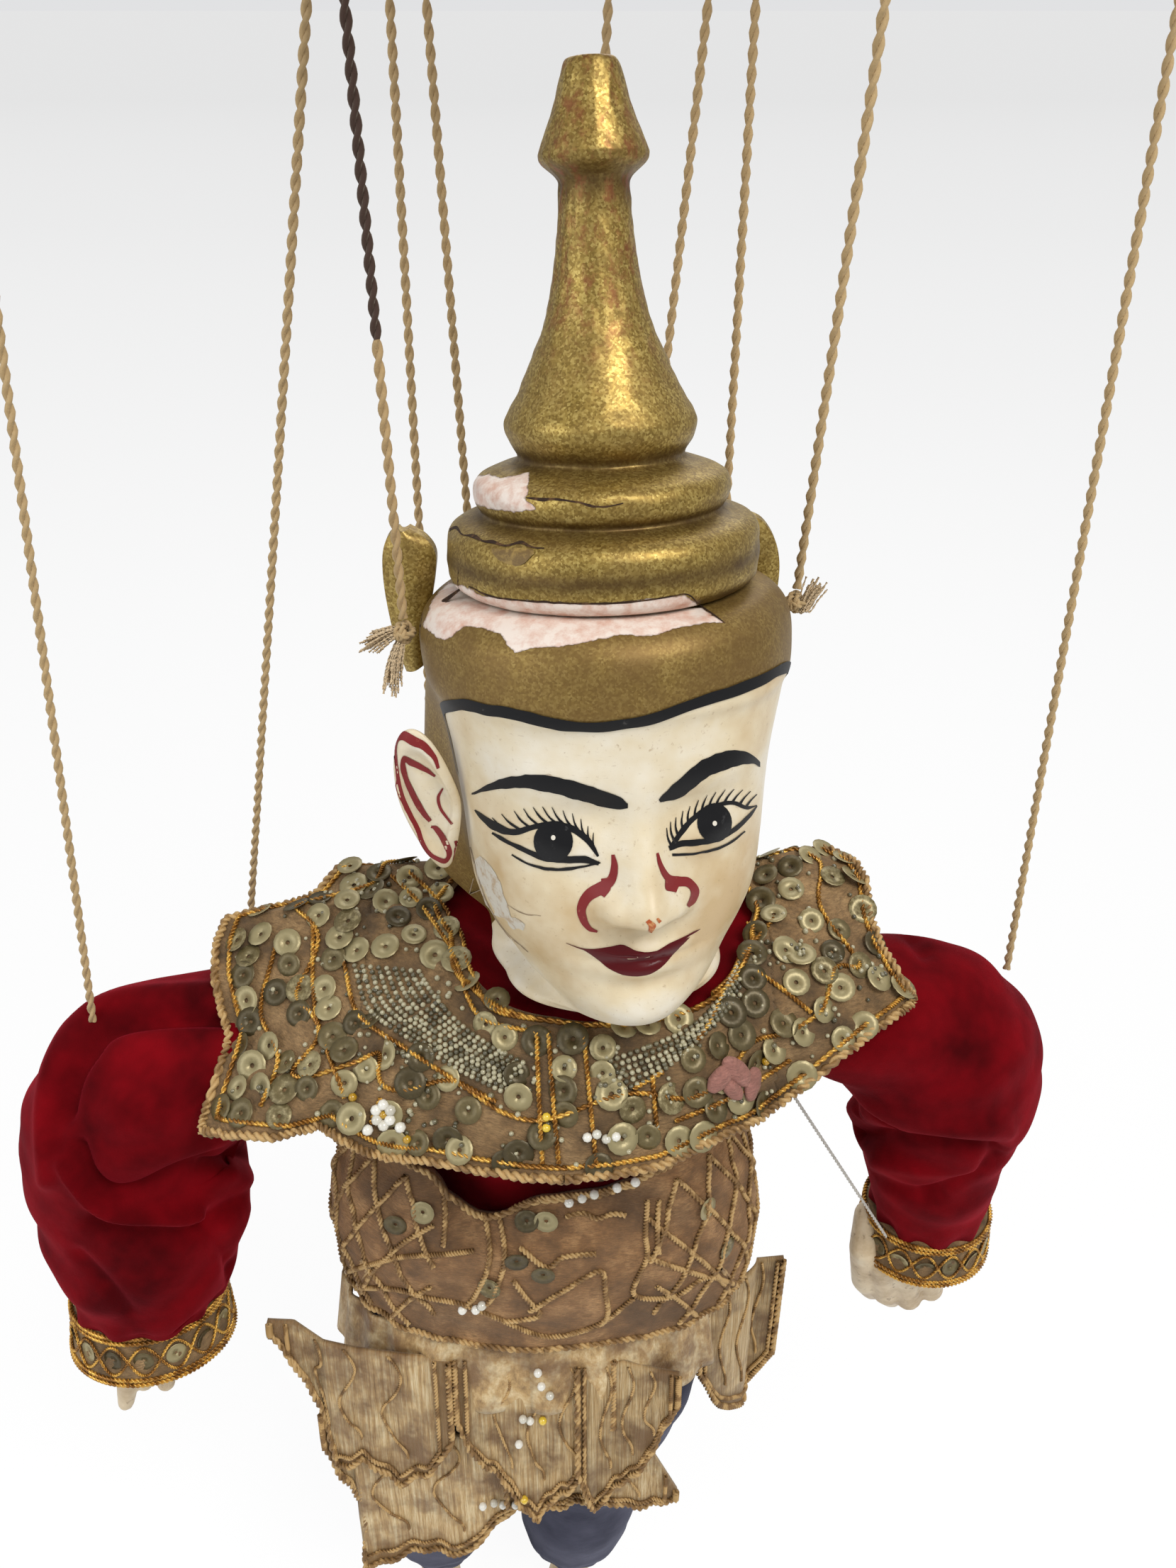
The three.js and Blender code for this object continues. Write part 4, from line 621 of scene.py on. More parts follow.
def gold_colours(finish, groove=None):
    """Bronze paint over brown size: flecked and browner where it is thin, with painted shade darkening it in
    the grooves.
    """
    where = finish.place()
    fleck = finish.cells(where, 2600.0)
    sparkle = finish.steps(finish.one_colour(fleck), (0.1, (0.22, 0.14, 0.027)), (0.55, (0.37, 0.255, 0.06)),
                           (1.0, (0.56, 0.42, 0.13)))
    patch = finish.grain(where, 130.0, 5.0, 0.65)
    thin = finish.steps(patch, (0.36, 0.0), (0.68, 0.55))
    gold = finish.blend(thin, sparkle, (0.20, 0.125, 0.035))
    # Painted shade: the grooves are darkened to a deep brown.
    if groove is not None:
        gold = finish.blend(groove, gold, (0.085, 0.045, 0.012))
    return gold, patch, fleck


def lost_paint(finish, clay, edge_shade_width, edge_shade_share):
    """Where the paint is lost, and the gesso that shows there, stained with clay, with painted shade along
    the edge of each loss.
    """
    where = finish.place()
    ragged = finish.sum("MULTIPLY_ADD", finish.grain(where, 700.0, 3.0), 0.9, finish.own("chip"))
    ragged = finish.sum("SUBTRACT", ragged, 0.45)
    stained = finish.steps(finish.grain(where, 260.0, 5.0, 0.7), (0.42, 0.0), (0.72, 1.0))
    gesso = finish.blend(stained, (0.80, 0.70, 0.62), clay)
    # Painted shade: the gesso darkens towards the edge of each loss, where the paint stands above it.
    rim = finish.steps(finish.sum("ABSOLUTE", ragged), (0.0, 1.0), (edge_shade_width, 0.0))
    gesso = finish.blend(finish.sum("MULTIPLY", rim, edge_shade_share), gesso, (0.12, 0.05, 0.02))
    return finish.steps(ragged, (0.0, 0.0), (0.05, 1.0)), gesso


painted_head = Finish("painted and gilded head", (0.8, 0.75, 0.64), 0.4)
where = painted_head.place()
broad = painted_head.grain(where, 42.0, 4.0, 0.6)
speck = painted_head.grain(where, 900.0, 3.0, 0.7)
streak = painted_head.grain(painted_head.place((1.0, 1.0, 4.5)), 520.0, 4.0, 0.7)
cream = painted_head.steps(
    broad, (0.34, (0.81, 0.75, 0.62)), (0.50, (0.73, 0.62, 0.42)), (0.68, (0.58, 0.42, 0.22)))
cream = painted_head.blend(painted_head.steps(speck, (0.62, 0.0), (0.74, 0.6)), cream, (0.42, 0.29, 0.15))
cream = painted_head.blend(painted_head.steps(streak, (0.63, 0.0), (0.76, 0.5)), cream, (0.40, 0.29, 0.17))
gold, gold_patch, gold_fleck = gold_colours(painted_head)
dull_gold = painted_head.blend(
    painted_head.steps(gold_patch, (0.2, 0.5), (0.8, 0.85)), gold, (0.17, 0.095, 0.026))
is_gold = painted_head.steps(painted_head.own("gilt"), (0.0, 0.0), (0.12, 1.0))
body_colour = painted_head.blend(is_gold, cream, dull_gold)
lost, gesso = lost_paint(painted_head, (0.60, 0.32, 0.22), 0.28, 0.75)
painted_head.drive("Base Color", painted_head.blend(lost, body_colour, gesso))
metal = painted_head.sum("MULTIPLY", is_gold, painted_head.sum("SUBTRACT", 1.0, lost))
painted_head.drive("Metallic", painted_head.sum("MULTIPLY", metal, 0.55))
painted_head.drive("Roughness", painted_head.steps(metal, (0.0, 0.36), (1.0, 0.5)))
painted_head.raise_by(painted_head.sum("MULTIPLY_ADD", lost, -1.0, 1.0), 0.5)
painted_head.raise_by(streak, 0.05, 0.5)
painted_head.raise_by(painted_head.one_colour(gold_fleck), 0.02, 0.6)

head = finished("painted_head", head_bm, painted_head)
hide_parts("head")
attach(head, "head")


# The ears
# Large ears with a rolled rim, carved in one with the head, cream inside and
# gilded on their backs, with two wine red lines along the rim.
EARS = {
    # place in the head, lean and turn outwards in degrees
    "right": (Vector((-36.4, -8.3, -31.0)), -13, 60),
    "left": (Vector((-32.5, 3.5, -31.0)), -8, 30),  # mirrored after it is carved
}
EAR_SIZE = Vector((5.0, 12.8, 33.0))


def carve_ear(place, lean, turn):
    bm = bmesh.new()
    bmesh.ops.create_uvsphere(bm, u_segments=72, v_segments=56, radius=1.0)
    layer = bm.verts.layers.float.new("gilt")
    for vert in bm.verts:
        x, y, z = vert.co
        narrow = between(0.72, 1.0, eased(-1.0, 0.1, z))
        across = y / narrow
        out = min(math.hypot(across, z), 1.0)
        dish = eased(0.86, 0.6, out)
        ridge = swell(across, z, 0.1, 0.15, 0.34, 0.42)
        notch = swell(across, z, -0.75, 0.0, 0.35, 0.3)
        vert[layer] = 1.0 if x > 0.1 else -2.0
        if x < 0:
            x *= 1 - 0.95 * dish
            x -= 0.35 * ridge * dish
        vert.co = Vector(a * b / 2 for a, b in zip((x + 0.5 * notch, y * narrow, z), EAR_SIZE))
    seat = Matrix.Translation(place) @ Matrix.Rotation(math.radians(turn), 4, "Z")
    bmesh.ops.transform(bm, matrix=seat @ Matrix.Rotation(math.radians(lean), 4, "Y"), verts=bm.verts)
    return bm


for side in ("right", "left"):
    ear_bm = carve_ear(*EARS[side])
    if side == "left":
        bmesh.ops.scale(ear_bm, vec=(-1, 1, 1), verts=ear_bm.verts)
    bmesh.ops.transform(ear_bm, matrix=HEAD, verts=ear_bm.verts)
    bmesh.ops.recalc_face_normals(ear_bm, faces=ear_bm.faces)
    mark_chips(ear_bm)
    if side == "right":
        ear_tree = BVHTree.FromBMesh(ear_bm)
    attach(finished("ear_" + side, ear_bm, painted_head), "head")


# The painted face
# Brush strokes over the cream: lamp black brows, lashes and hair line, wine red
# nostrils and ears, and lacquered lips. Their places are read in the picture.


def touch(trees, across, down):
    """Where the line of sight meets the nearest of the surfaces, and which way it faces there."""
    best = None
    for tree in trees:
        spot, normal, _, away = tree.ray_cast(EYE, sight(across, down))
        if spot is not None and (best is None or away < best[2]):
            best = (spot, normal, away)
    if best is None:
        guess = EYE + sight(across, down) * 170
        for _ in range(6):
            spot, normal, _, _ = trees[0].find_nearest(guess)
            guess = EYE + sight(across, down) * (spot - EYE).dot(sight(across, down))
        best = (spot, normal, 0.0)
    return best[0], best[1]


def turned_to(bm, faces, way):
    """Turns a skin over where most of it faces against the way at its places."""
    bm.normal_update()
    if sum(face.normal.dot(way(face.calc_center_median())) for face in faces) < 0:
        bmesh.ops.reverse_faces(bm, faces=faces)


def brushed(bm, trees, upper, lower, columns, rows, lift, shake=0.5):
    """Paint between two lines of the picture, laid on the carved surface."""
    made = bmesh.ops.create_grid(bm, x_segments=columns, y_segments=rows, size=0.5)["verts"]
    for vert in made:
        u, v = vert.co.x + 0.5, vert.co.y + 0.5
        place = between(along(upper, u), along(lower, u), v)
        edge = abs(v - 0.5) * 2
        shiver = noise.noise(Vector((place.x * 0.09, place.y * 0.09, v * 3))) * shake * 2 * edge
        spot, normal = touch(trees, place.x, place.y + shiver)
        vert.co = spot + normal * lift
    turned_to(bm, faces_of(made), lambda place: EYE - place)


def stroke(bm, trees, points, columns=None, lift=0.11, rows=2):
    """One pull of the brush through places of the picture, each with its width there."""
    columns = columns or max(8, len(points) * 6)
    upper, lower = [], []
    for i, (x, y, width) in enumerate(points):
        ahead = points[min(i + 1, len(points) - 1)]
        behind = points[max(i - 1, 0)]
        way = Vector((ahead[0] - behind[0], ahead[1] - behind[1]))
        way.normalize()
        aside = Vector((-way.y, way.x)) * width / 2
        upper.append((x + aside.x, y + aside.y))
        lower.append((x - aside.x, y - aside.y))
    brushed(bm, trees, upper, lower, columns, rows, lift)


# The lines that the strokes follow, for the right eye and then the left: upper edge, lower edge
BROWS = [
    (
        [(602, 1011), (625, 999), (655, 990), (690, 988), (725, 994), (760, 1005), (790, 1016), (801, 1025)],
        [(602, 1013), (628, 1008), (660, 1005), (695, 1009), (730, 1018), (765, 1028), (785, 1032),
         (801, 1031)],
    ),
    (
        [(840, 1020), (852, 1006), (872, 988), (895, 970), (920, 959), (942, 957), (960, 963), (969, 972)],
        [(842, 1023), (866, 1018), (885, 1004), (905, 990), (925, 981), (942, 976), (958, 974), (969, 978)],
    ),
]
EYE_LINES = [
    # right eye: lid line, lower line, double line, each point with its width
    [(606, 1033, 2), (618, 1044, 8), (634, 1055, 11), (655, 1061, 8), (680, 1055, 7), (705, 1051, 8),
     (730, 1057, 8), (748, 1070, 8), (757, 1082, 6), (763, 1092, 3)],
    [(628, 1062, 3), (645, 1072, 5), (668, 1083, 6), (695, 1094, 8), (722, 1096, 9), (745, 1096, 9),
     (764, 1101, 5)],
    [(653, 1090, 2), (675, 1102, 3), (700, 1108, 4), (725, 1108, 4), (748, 1104, 3), (766, 1100, 2)],
    # left eye
    [(856, 1080, 5), (866, 1065, 7), (880, 1048, 7), (897, 1034, 6), (915, 1026, 5), (935, 1024, 5),
     (952, 1030, 5), (965, 1027, 2)],
    [(853, 1082, 7), (870, 1076, 8), (892, 1074, 8), (915, 1070, 6), (936, 1058, 6), (952, 1044, 5),
     (965, 1028, 2)],
    [(857, 1090, 3), (880, 1089, 3), (905, 1085, 3), (930, 1075, 3), (950, 1060, 2)],
]
# middle, half width, half height, place of the painted highlight
IRISES = [((706, 1073), 25, 26, (706, 1068)), ((911, 1049), 22, 25, (911, 1050))]
LASHES = [
    # root, tip
    ((636, 1057), (613, 1040)), ((650, 1060), (628, 1042)), ((664, 1058), (640, 1038)), ((676, 1055),
    (656, 1034)), ((688, 1053), (668, 1031)), ((700, 1051), (680, 1029)), ((711, 1051), (692, 1028)),
    ((722, 1054), (704, 1029)), ((732, 1058), (718, 1033)), ((741, 1064), (730, 1037)), ((748, 1070),
    (741, 1044)), ((754, 1078), (750, 1053)), ((760, 1088), (757, 1062)), ((857, 1080), (850, 1056)),
    ((860, 1073), (855, 1048)), ((865, 1066), (862, 1042)), ((871, 1059), (871, 1034)), ((878, 1051),
    (880, 1028)), ((886, 1043), (891, 1020)), ((895, 1036), (902, 1014)), ((904, 1031), (913, 1010)),
    ((913, 1027), (925, 1007)), ((923, 1025), (936, 1006)), ((933, 1024), (947, 1007)), ((943, 1026),
    (957, 1009)), ((951, 1029), (965, 1013)),
]
NOSTRILS = [
    [(782, 1090, 4), (784, 1105, 9), (780, 1122, 12), (766, 1133, 16), (750, 1143, 15), (742, 1158, 12),
     (744, 1172, 10), (752, 1184, 6), (762, 1188, 3)],
    [(771, 1120, 8), (773, 1132, 13), (767, 1142, 10)], [(852, 1118, 8), (855, 1130, 15), (864, 1134, 10)],
    [(838, 1088, 3), (842, 1103, 6), (851, 1119, 9), (864, 1124, 13), (878, 1126, 12), (886, 1136, 11),
     (883, 1148, 9), (877, 1156, 4)],
]
LIP_TOP = [
    (722, 1202), (748, 1210), (775, 1208), (795, 1205), (813, 1213), (835, 1213), (858, 1201), (893, 1184),
]
LIP_SEAM = [
    (722, 1203), (750, 1213), (776, 1219), (800, 1222), (822, 1221), (845, 1214), (866, 1202), (893, 1185),
]
LIP_FOOT = [
    (744, 1211), (760, 1221), (775, 1234), (800, 1244), (825, 1243), (845, 1232), (862, 1213), (880, 1195),
]
EAR_RED = [
    [(559, 980, 4), (554, 966, 6), (541, 952, 10), (528, 945, 12), (512, 938, 12), (502, 948, 11),
     (503, 966, 8), (509, 1005, 7), (521, 1035, 6), (532, 1056, 6), (540, 1077, 5), (551, 1091, 5),
     (567, 1098, 6), (573, 1088, 7), (567, 1072, 8), (556, 1056, 6), (550, 1054, 3)],
    [(555, 990, 3), (544, 982, 6), (526, 973, 8), (516, 968, 8), (514, 978, 7), (519, 996, 7), (531, 1021, 8),
     (540, 1036, 7), (549, 1047, 5)],
    [(565, 1005, 2), (559, 1017, 4), (563, 1033, 4), (577, 1051, 3)],
    [(581, 1072, 4), (586, 1091, 6), (590, 1110, 5)],
]

face_trees = [head_tree, ear_tree]


def paint_finish(name, colour, worn, roughness, wear):
    finish = Finish(name, colour, roughness)
    where = finish.place()
    finish.drive("Base Color", finish.blend(
        finish.steps(finish.grain(where, 420.0, 5.0, 0.7), (wear, 0.0), (wear + 0.12, 1.0)), colour, worn))
    finish.raise_by(finish.grain(where, 1500.0, 2.0), 0.03, 0.5)
    finish.shader.inputs["Specular IOR Level"].default_value = 0.25
    return finish


lamp_black = paint_finish("lamp black paint", (0.004, 0.004, 0.005), (0.07, 0.065, 0.06), 0.5, 0.66)
wine_red = paint_finish("wine red paint", (0.21, 0.017, 0.018), (0.36, 0.11, 0.07), 0.4, 0.6)
lip_red = paint_finish("lip lacquer", (0.085, 0.003, 0.005), (0.16, 0.03, 0.02), 0.25, 0.68)
# White paint for the painted highlights on the irises
highlight_paint = paint_finish("painted eye highlight", (0.74, 0.69, 0.59), (0.6, 0.5, 0.38), 0.35, 0.66)

black_bm = bmesh.new()
for upper, lower in BROWS:
    brushed(black_bm, face_trees, upper, lower, 40, 4, 0.11, 0.9)
for points in EYE_LINES:
    stroke(black_bm, face_trees, points)
for root, tip in LASHES:
    middle = ((root[0] + tip[0]) / 2 - 2, (root[1] + tip[1]) / 2 + 1, 2.4)  # curled, and half as wide
    stroke(black_bm, face_trees, [(*root, 3.6), middle, (*tip, 0.8)], 5, 0.12, 1)
# The hair line follows the foot of the gilding all round the face.
MM_PER_DEGREE = 0.57  # round the head
made = bmesh.ops.create_grid(black_bm, x_segments=150, y_segments=3, size=0.5)["verts"]
for vert in made:
    u, v = vert.co.x + 0.5, vert.co.y
    turn, height = along(HAIR_LINE, u)
    ahead = along(HAIR_LINE, min(u + 0.01, 1)) - along(HAIR_LINE, max(u - 0.01, 0))
    way = Vector((ahead.x * MM_PER_DEGREE, ahead.y)).normalized()
    width = between(0.5, 2.1, eased(-0.06, 0.07, u) * eased(1.0, 0.9, u))
    width *= 1 + 0.25 * noise.noise(Vector((u * 30, v, 0)))
    turn += -way.y * v * width / MM_PER_DEGREE
    height += way.x * v * width - 0.2
    out = Vector((math.sin(math.radians(turn)), -math.cos(math.radians(turn)), 0.0))
    start = HEAD @ Vector((out.x * 70, out.y * 70, height))
    spot, normal, _, _ = head_tree.ray_cast(start, HEAD.to_3x3() @ -out)
    vert.co = spot + normal * 0.22
turned_to(black_bm, faces_of(made), lambda place: place - HEAD_PLACE)
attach(finished("black_lines", black_bm, lamp_black), "head")


def disc(bm, trees, middle, across, high, lift):
    """A round dab of paint."""
    ring = [(math.cos(i / 24 * 2 * math.pi), math.sin(i / 24 * 2 * math.pi)) for i in range(25)]
    upper = [(middle[0] + c * across, middle[1] + s * high) for c, s in ring]
    lower = [(middle[0] + c * 0.02, middle[1] + s * 0.02) for c, s in ring]
    brushed(bm, trees, upper, lower, 24, 3, lift, 0.0)


iris_bm = bmesh.new()
highlight_bm = bmesh.new()
for middle, across, high, highlight_spot in IRISES:
    disc(iris_bm, face_trees, middle, across, high, 0.15)
    # A painted highlight: a dab of white paint on each iris.
    disc(highlight_bm, face_trees, highlight_spot, 2.8, 3.2, 0.2)
iris_black = paint_finish("iris black", (0.007, 0.007, 0.008), (0.06, 0.06, 0.06), 0.3, 0.6)
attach(finished("irises", iris_bm, iris_black), "head")
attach(finished("painted_eye_highlights", highlight_bm, highlight_paint), "head")

red_bm = bmesh.new()
for points in NOSTRILS:
    stroke(red_bm, face_trees, points)
for points in EAR_RED:
    stroke(red_bm, [ear_tree], points)
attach(finished("red_lines", red_bm, wine_red), "head")
lip_bm = bmesh.new()
brushed(lip_bm, face_trees, LIP_TOP, LIP_SEAM, 30, 3, 0.12, 0.4)
brushed(lip_bm, face_trees, [(x, y - 3) for x, y in LIP_SEAM[1:-1]], LIP_FOOT, 30, 5, 0.13, 0.4)
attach(finished("lips", lip_bm, lip_red), "head")
# Wear: a red rub on the tip of the nose, bare gesso on a cheek, and hair cracks beside it
RUB_MARKS = [[(826, 1174, 6), (832, 1181, 9), (829, 1189, 5)], [(838, 1171, 3), (842, 1176, 4)]]
BARE_MARKS = [
    ([(613, 1092), (632, 1112), (642, 1140), (652, 1168)], [(606, 1096), (612, 1130), (626, 1162),
      (650, 1176)]),
    ([(650, 1168), (662, 1172), (670, 1180)], [(648, 1176), (656, 1186), (668, 1186)]),
    ([(694, 990), (702, 986), (708, 992)], [(692, 998), (701, 1003), (709, 998)]),
]
HAIR_CRACKS = [
    [(600, 1080, 1.4), (612, 1126, 1.8), (626, 1160, 1.2), (646, 1190, 1.8), (674, 1214, 0.8)],
    [(640, 1150, 1.0), (668, 1165, 1.6), (690, 1168, 0.8)], [(604, 1120, 0.8), (598, 1150, 1.6),
     (606, 1180, 0.8)],
]
rub_bm, bare_bm, hair_bm = bmesh.new(), bmesh.new(), bmesh.new()
for points in RUB_MARKS:
    stroke(rub_bm, face_trees, points)
for upper, lower in BARE_MARKS:
    brushed(bare_bm, face_trees, upper, lower, 24, 5, 0.07, 2.5)
for points in HAIR_CRACKS:
    stroke(hair_bm, face_trees, points, 40, 0.06, 1)
rust = paint_finish("red rub", (0.42, 0.09, 0.025), (0.6, 0.3, 0.12), 0.5, 0.5)
bare_gesso = paint_finish("bare gesso", (0.60, 0.56, 0.47), (0.48, 0.37, 0.25), 0.8, 0.5)
hair_crack = paint_finish("hair crack", (0.30, 0.22, 0.14), (0.5, 0.4, 0.28), 0.8, 0.5)
for name, bm, finish in (
    ("nose_rub", rub_bm, rust), ("bare_cheek", bare_bm, bare_gesso), ("hair_cracks", hair_bm, hair_crack),
):
    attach(finished(name, bm, finish), "head")


# The crown
# A tiered crown and spire turned in one piece on a lathe, gessoed and painted
# with bronze, worn red on the spire and chipped on the second tier.
CROWN_PROFILE = [
    # height, radius
    (91.4, 0.0), (91.35, 2.6), (90.6, 4.4), (85.0, 6.2), (79.0, 8.7), (77.5, 9.15), (76.3, 8.6),
    (74.3, 6.25), (72.2, 5.95), (66.0, 6.5), (58.3, 7.7), (52.0, 9.3), (47.5, 11.3), (41.5, 14.2),
    (37.5, 16.6), (35.3, 17.15), (32.8, 16.3), (30.6, 15.1), (29.5, 15.7), (28.5, 19.0), (27.0, 22.3),
    (24.9, 23.3), (22.6, 22.9), (21.2, 22.2), (20.4, 23.1), (19.2, 26.6), (17.5, 28.3), (14.0, 28.8),
    (9.8, 28.6), (8.3, 27.6), (7.6, 26.6),
]
# The grooves where the bronze gets painted shade:
# height, half width
CROWN_GROOVES = [(30.6, 1.9), (21.2, 1.6), (73.5, 3.2), (8.6, 1.1), (13.5, 1.7)]
CROWN_SIDES = 144
CROWN_ROWS = 230


def crown_point(u, v):
    height, radius = along(CROWN_PROFILE, v)
    angle = u * 2 * math.pi
    radius *= 1 + 0.012 * noise.noise(Vector((math.cos(angle), math.sin(angle), height * 0.09)) * 1.3)
    radius += 0.18 * noise.noise(Vector((math.cos(angle) * 5, math.sin(angle) * 5, height * 0.5)))
    return Vector((radius * math.sin(angle), -radius * math.cos(angle), height))


crown_bm = bmesh.new()
grid(crown_bm, CROWN_SIDES, CROWN_ROWS, crown_point, closed=True)
ends_closed(crown_bm)
groove_layer = crown_bm.verts.layers.float.new("groove")
red_layer = crown_bm.verts.layers.float.new("rubbed")
for vert in crown_bm.verts:
    vert[groove_layer] = max(math.exp(-(((vert.co.z - z) / width) ** 2)) for z, width in CROWN_GROOVES)
    vert[red_layer] = eased(36, 60, vert.co.z)
bmesh.ops.transform(crown_bm, matrix=HEAD, verts=crown_bm.verts)
bmesh.ops.recalc_face_normals(crown_bm, faces=crown_bm.faces)
mark_chips(crown_bm, [TIER_CHIP, BAND_CHIP])
crown_tree = BVHTree.FromBMesh(crown_bm)

bronze = Finish("bronze painted crown", (0.4, 0.28, 0.07), 0.42, 0.6)
where = bronze.place()
# Painted shade in the grooves under the tiers, patchy along them.
groove_shade_mask = bronze.sum("MULTIPLY", bronze.own("groove"), bronze.steps(
    bronze.grain(where, 160.0, 4.0, 0.7), (0.2, 0.45), (0.7, 1.0)))
colour, patch, fleck = gold_colours(bronze, groove_shade_mask)
rubbed = bronze.sum("MULTIPLY", bronze.own("rubbed"), bronze.steps(
    bronze.grain(bronze.place((1.0, 1.0, 0.6)), 380.0, 4.0, 0.75), (0.5, 0.0), (0.66, 0.75)))
colour = bronze.blend(rubbed, colour, (0.24, 0.075, 0.03))
lost, gesso = lost_paint(bronze, (0.55, 0.28, 0.18), 0.3, 0.8)
bronze.drive("Base Color", bronze.blend(lost, colour, gesso))
bronze.drive("Metallic", bronze.sum("MULTIPLY_ADD", lost, -0.65, 0.65))
bronze.drive("Roughness", bronze.steps(patch, (0.3, 0.36), (0.7, 0.52)))
bronze.raise_by(bronze.sum("MULTIPLY_ADD", lost, -1.0, 1.0), 0.5)
bronze.raise_by(bronze.grain(where, 240.0, 4.0), 0.12, 0.5)
bronze.raise_by(bronze.one_colour(fleck), 0.03, 0.7)
crown = finished("turned_crown", crown_bm, bronze)
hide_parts("crown")
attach(crown, "head")

# Cracks along the tiers, and a loose flake below the second one.
CRACKS = [
    [(671, 635, 2), (690, 637, 4), (712, 637, 3), (738, 641, 2.5), (758, 646, 3), (775, 646, 2),
     (795, 642, 1.5)],
    [(572, 676, 3), (582, 673, 4), (590, 682, 2), (604, 684, 5), (616, 690, 3), (630, 692, 5), (646, 696, 3),
     (664, 692, 4), (676, 697, 3), (694, 700, 1.5)],
    [(560, 730, 1), (548, 752, 2), (539, 775, 2), (536, 800, 1.5)],
    [(598, 748, 1), (625, 760, 2.5), (655, 765, 2), (700, 768, 2.5), (745, 770, 2), (800, 768, 2.5),
     (850, 762, 1.5), (876, 758, 2), (893, 772, 2), (925, 795, 1.5)],
]
crack_bm = bmesh.new()
for points in CRACKS:
    stroke(crack_bm, [crown_tree, head_tree], points, 60, 0.06, 1)
shadow_brown = paint_finish("crack", (0.03, 0.015, 0.008), (0.10, 0.05, 0.02), 0.8, 0.5)
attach(finished("paint_cracks", crack_bm, shadow_brown), "head")
flake_bm = bmesh.new()
FLAKE_TOP = [(628, 700), (645, 701), (662, 700), (680, 702)]
FLAKE_FOOT = [(628, 706), (643, 718), (665, 721), (682, 706)]
brushed(flake_bm, [crown_tree], FLAKE_TOP, FLAKE_FOOT, 16, 5, 0.2, 1.5)
rough_bronze = paint_finish("loose bronze flake", (0.16, 0.10, 0.035), (0.3, 0.2, 0.06), 0.5, 0.45)
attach(finished("loose_flake", flake_bm, rough_bronze), "head")


# The crown's leaves
# Two leaves of thin board fixed behind the ears, painted with the crown's bronze
# on both faces and along their square edges.
leaf_gilt = Finish("bronze painted leaf", (0.4, 0.28, 0.07), 0.42, 0.55)
colour, *_ = gold_colours(leaf_gilt)
leaf_gilt.drive("Base Color", colour)
leaf_gilt.raise_by(leaf_gilt.grain(leaf_gilt.place(), 240.0, 4.0), 0.12, 0.5)
LEAVES = {
    # depth y, outer edge and inner edge as (x, z)
    "right": (
        1.0,
        [(-35.4, -145.2), (-37.4, -146.6), (-38.6, -150), (-38.8, -156), (-38.2, -163), (-37.3, -169),
         (-36, -174)],
        [(-33.4, -145.2), (-30.4, -146.8), (-28.6, -149.6), (-29, -154), (-30.2, -160), (-31.2, -166),
         (-31.8, -172)],
    ),
    "left": (
        15.0,
        [(31.4, -147.6), (34.6, -149), (37.2, -152.6), (38.4, -157), (38.5, -162), (37.9, -167), (37, -171)],
        [(30, -147.6), (29.2, -149.6), (29.3, -152.6), (29.8, -157), (30.4, -162), (31, -167), (31.5, -171)],
    ),
}
LEAF_THICKNESS = 2.4


def backed(bm, thickness):
    """Gives a front skin its back and the wall between them."""
    back = bmesh.ops.extrude_face_region(bm, geom=bm.faces[:])["geom"]
    back = [item for item in back if isinstance(item, bmesh.types.BMVert)]
    bmesh.ops.translate(bm, vec=(0, thickness, 0), verts=back)
    bmesh.ops.recalc_face_normals(bm, faces=bm.faces)


for side, (depth, outer, inner) in LEAVES.items():
    leaf_bm = bmesh.new()

    def leaf_point(u, v):
        point = between(along(outer, v), along(inner, v), u)
        return Vector((point.x, depth - 1.6 * math.sin(math.pi * u) + 2.5 * (1 - v) ** 2, point.y))

    grid(leaf_bm, 16, 30, leaf_point)
    backed(leaf_bm, LEAF_THICKNESS)
    leaf = finished("crown_leaf_" + side, leaf_bm, leaf_gilt, smooth=False)
    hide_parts("crown_wing_" + side)
    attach(leaf, "head")


# The jacket
# A plain body of the same dark red velvet as the sleeves, sewn under the cape
# and gathered under the waist panel. Only slivers show at the neck and waist.


def velvet_finish(name, deep, lit, sheen_tint):
    finish = Finish(name, deep, 0.9)
    where = finish.place()
    pile = finish.grain(where, 1900.0, 3.0, 0.8)
    # Painted light and shade: random patches blend between a shaded copy (deep) and a lit copy (lit) of the
    # velvet's colour.
    light_and_shade_patches = finish.grain(where, 60.0, 3.0, 0.6)
    finish.drive("Base Color", finish.blend(finish.steps(light_and_shade_patches, (0.3, 0.0), (0.75, 1.0)), deep, lit))
    finish.raise_by(finish.grain(where, 130.0, 4.0), 0.5, 0.5)
    finish.raise_by(pile, 0.15, 0.6)
    finish.sheen(0.22, 0.4, sheen_tint)
    finish.shader.inputs["Specular IOR Level"].default_value = 0.05
    return finish


# Each velvet as a shaded and a lit colour, for painted light and shade.
red_velvet = velvet_finish("dark red velvet", (0.055, 0.0009, 0.002), (0.20, 0.002, 0.0055), (1.0, 0.05, 0.1))
navy_velvet = velvet_finish(
    "grey navy velvet", (0.022, 0.023, 0.038), (0.075, 0.076, 0.108), (0.6, 0.62, 0.8))
JACKET_MIDDLE = Vector((-6.0, -8.0, 0.0))
JACKET_TOP, JACKET_FOOT = -248.4, -337.0
JACKET_ROWS = [
    # share down, half width, half depth
    (0.0, 6.0, 6.0), (0.004, 30.0, 15.5), (0.05, 41.0, 19.0), (0.25, 42.0, 20.6), (0.5, 37.4, 19.8),
    (0.78, 33.4, 18.8), (1.0, 32.6, 18.6),
]


def row_by(table, place):
    """A smoothed row of a table by the value of its first column."""
    return along(table, level([(row[0], i / (len(table) - 1)) for i, row in enumerate(table)], place))


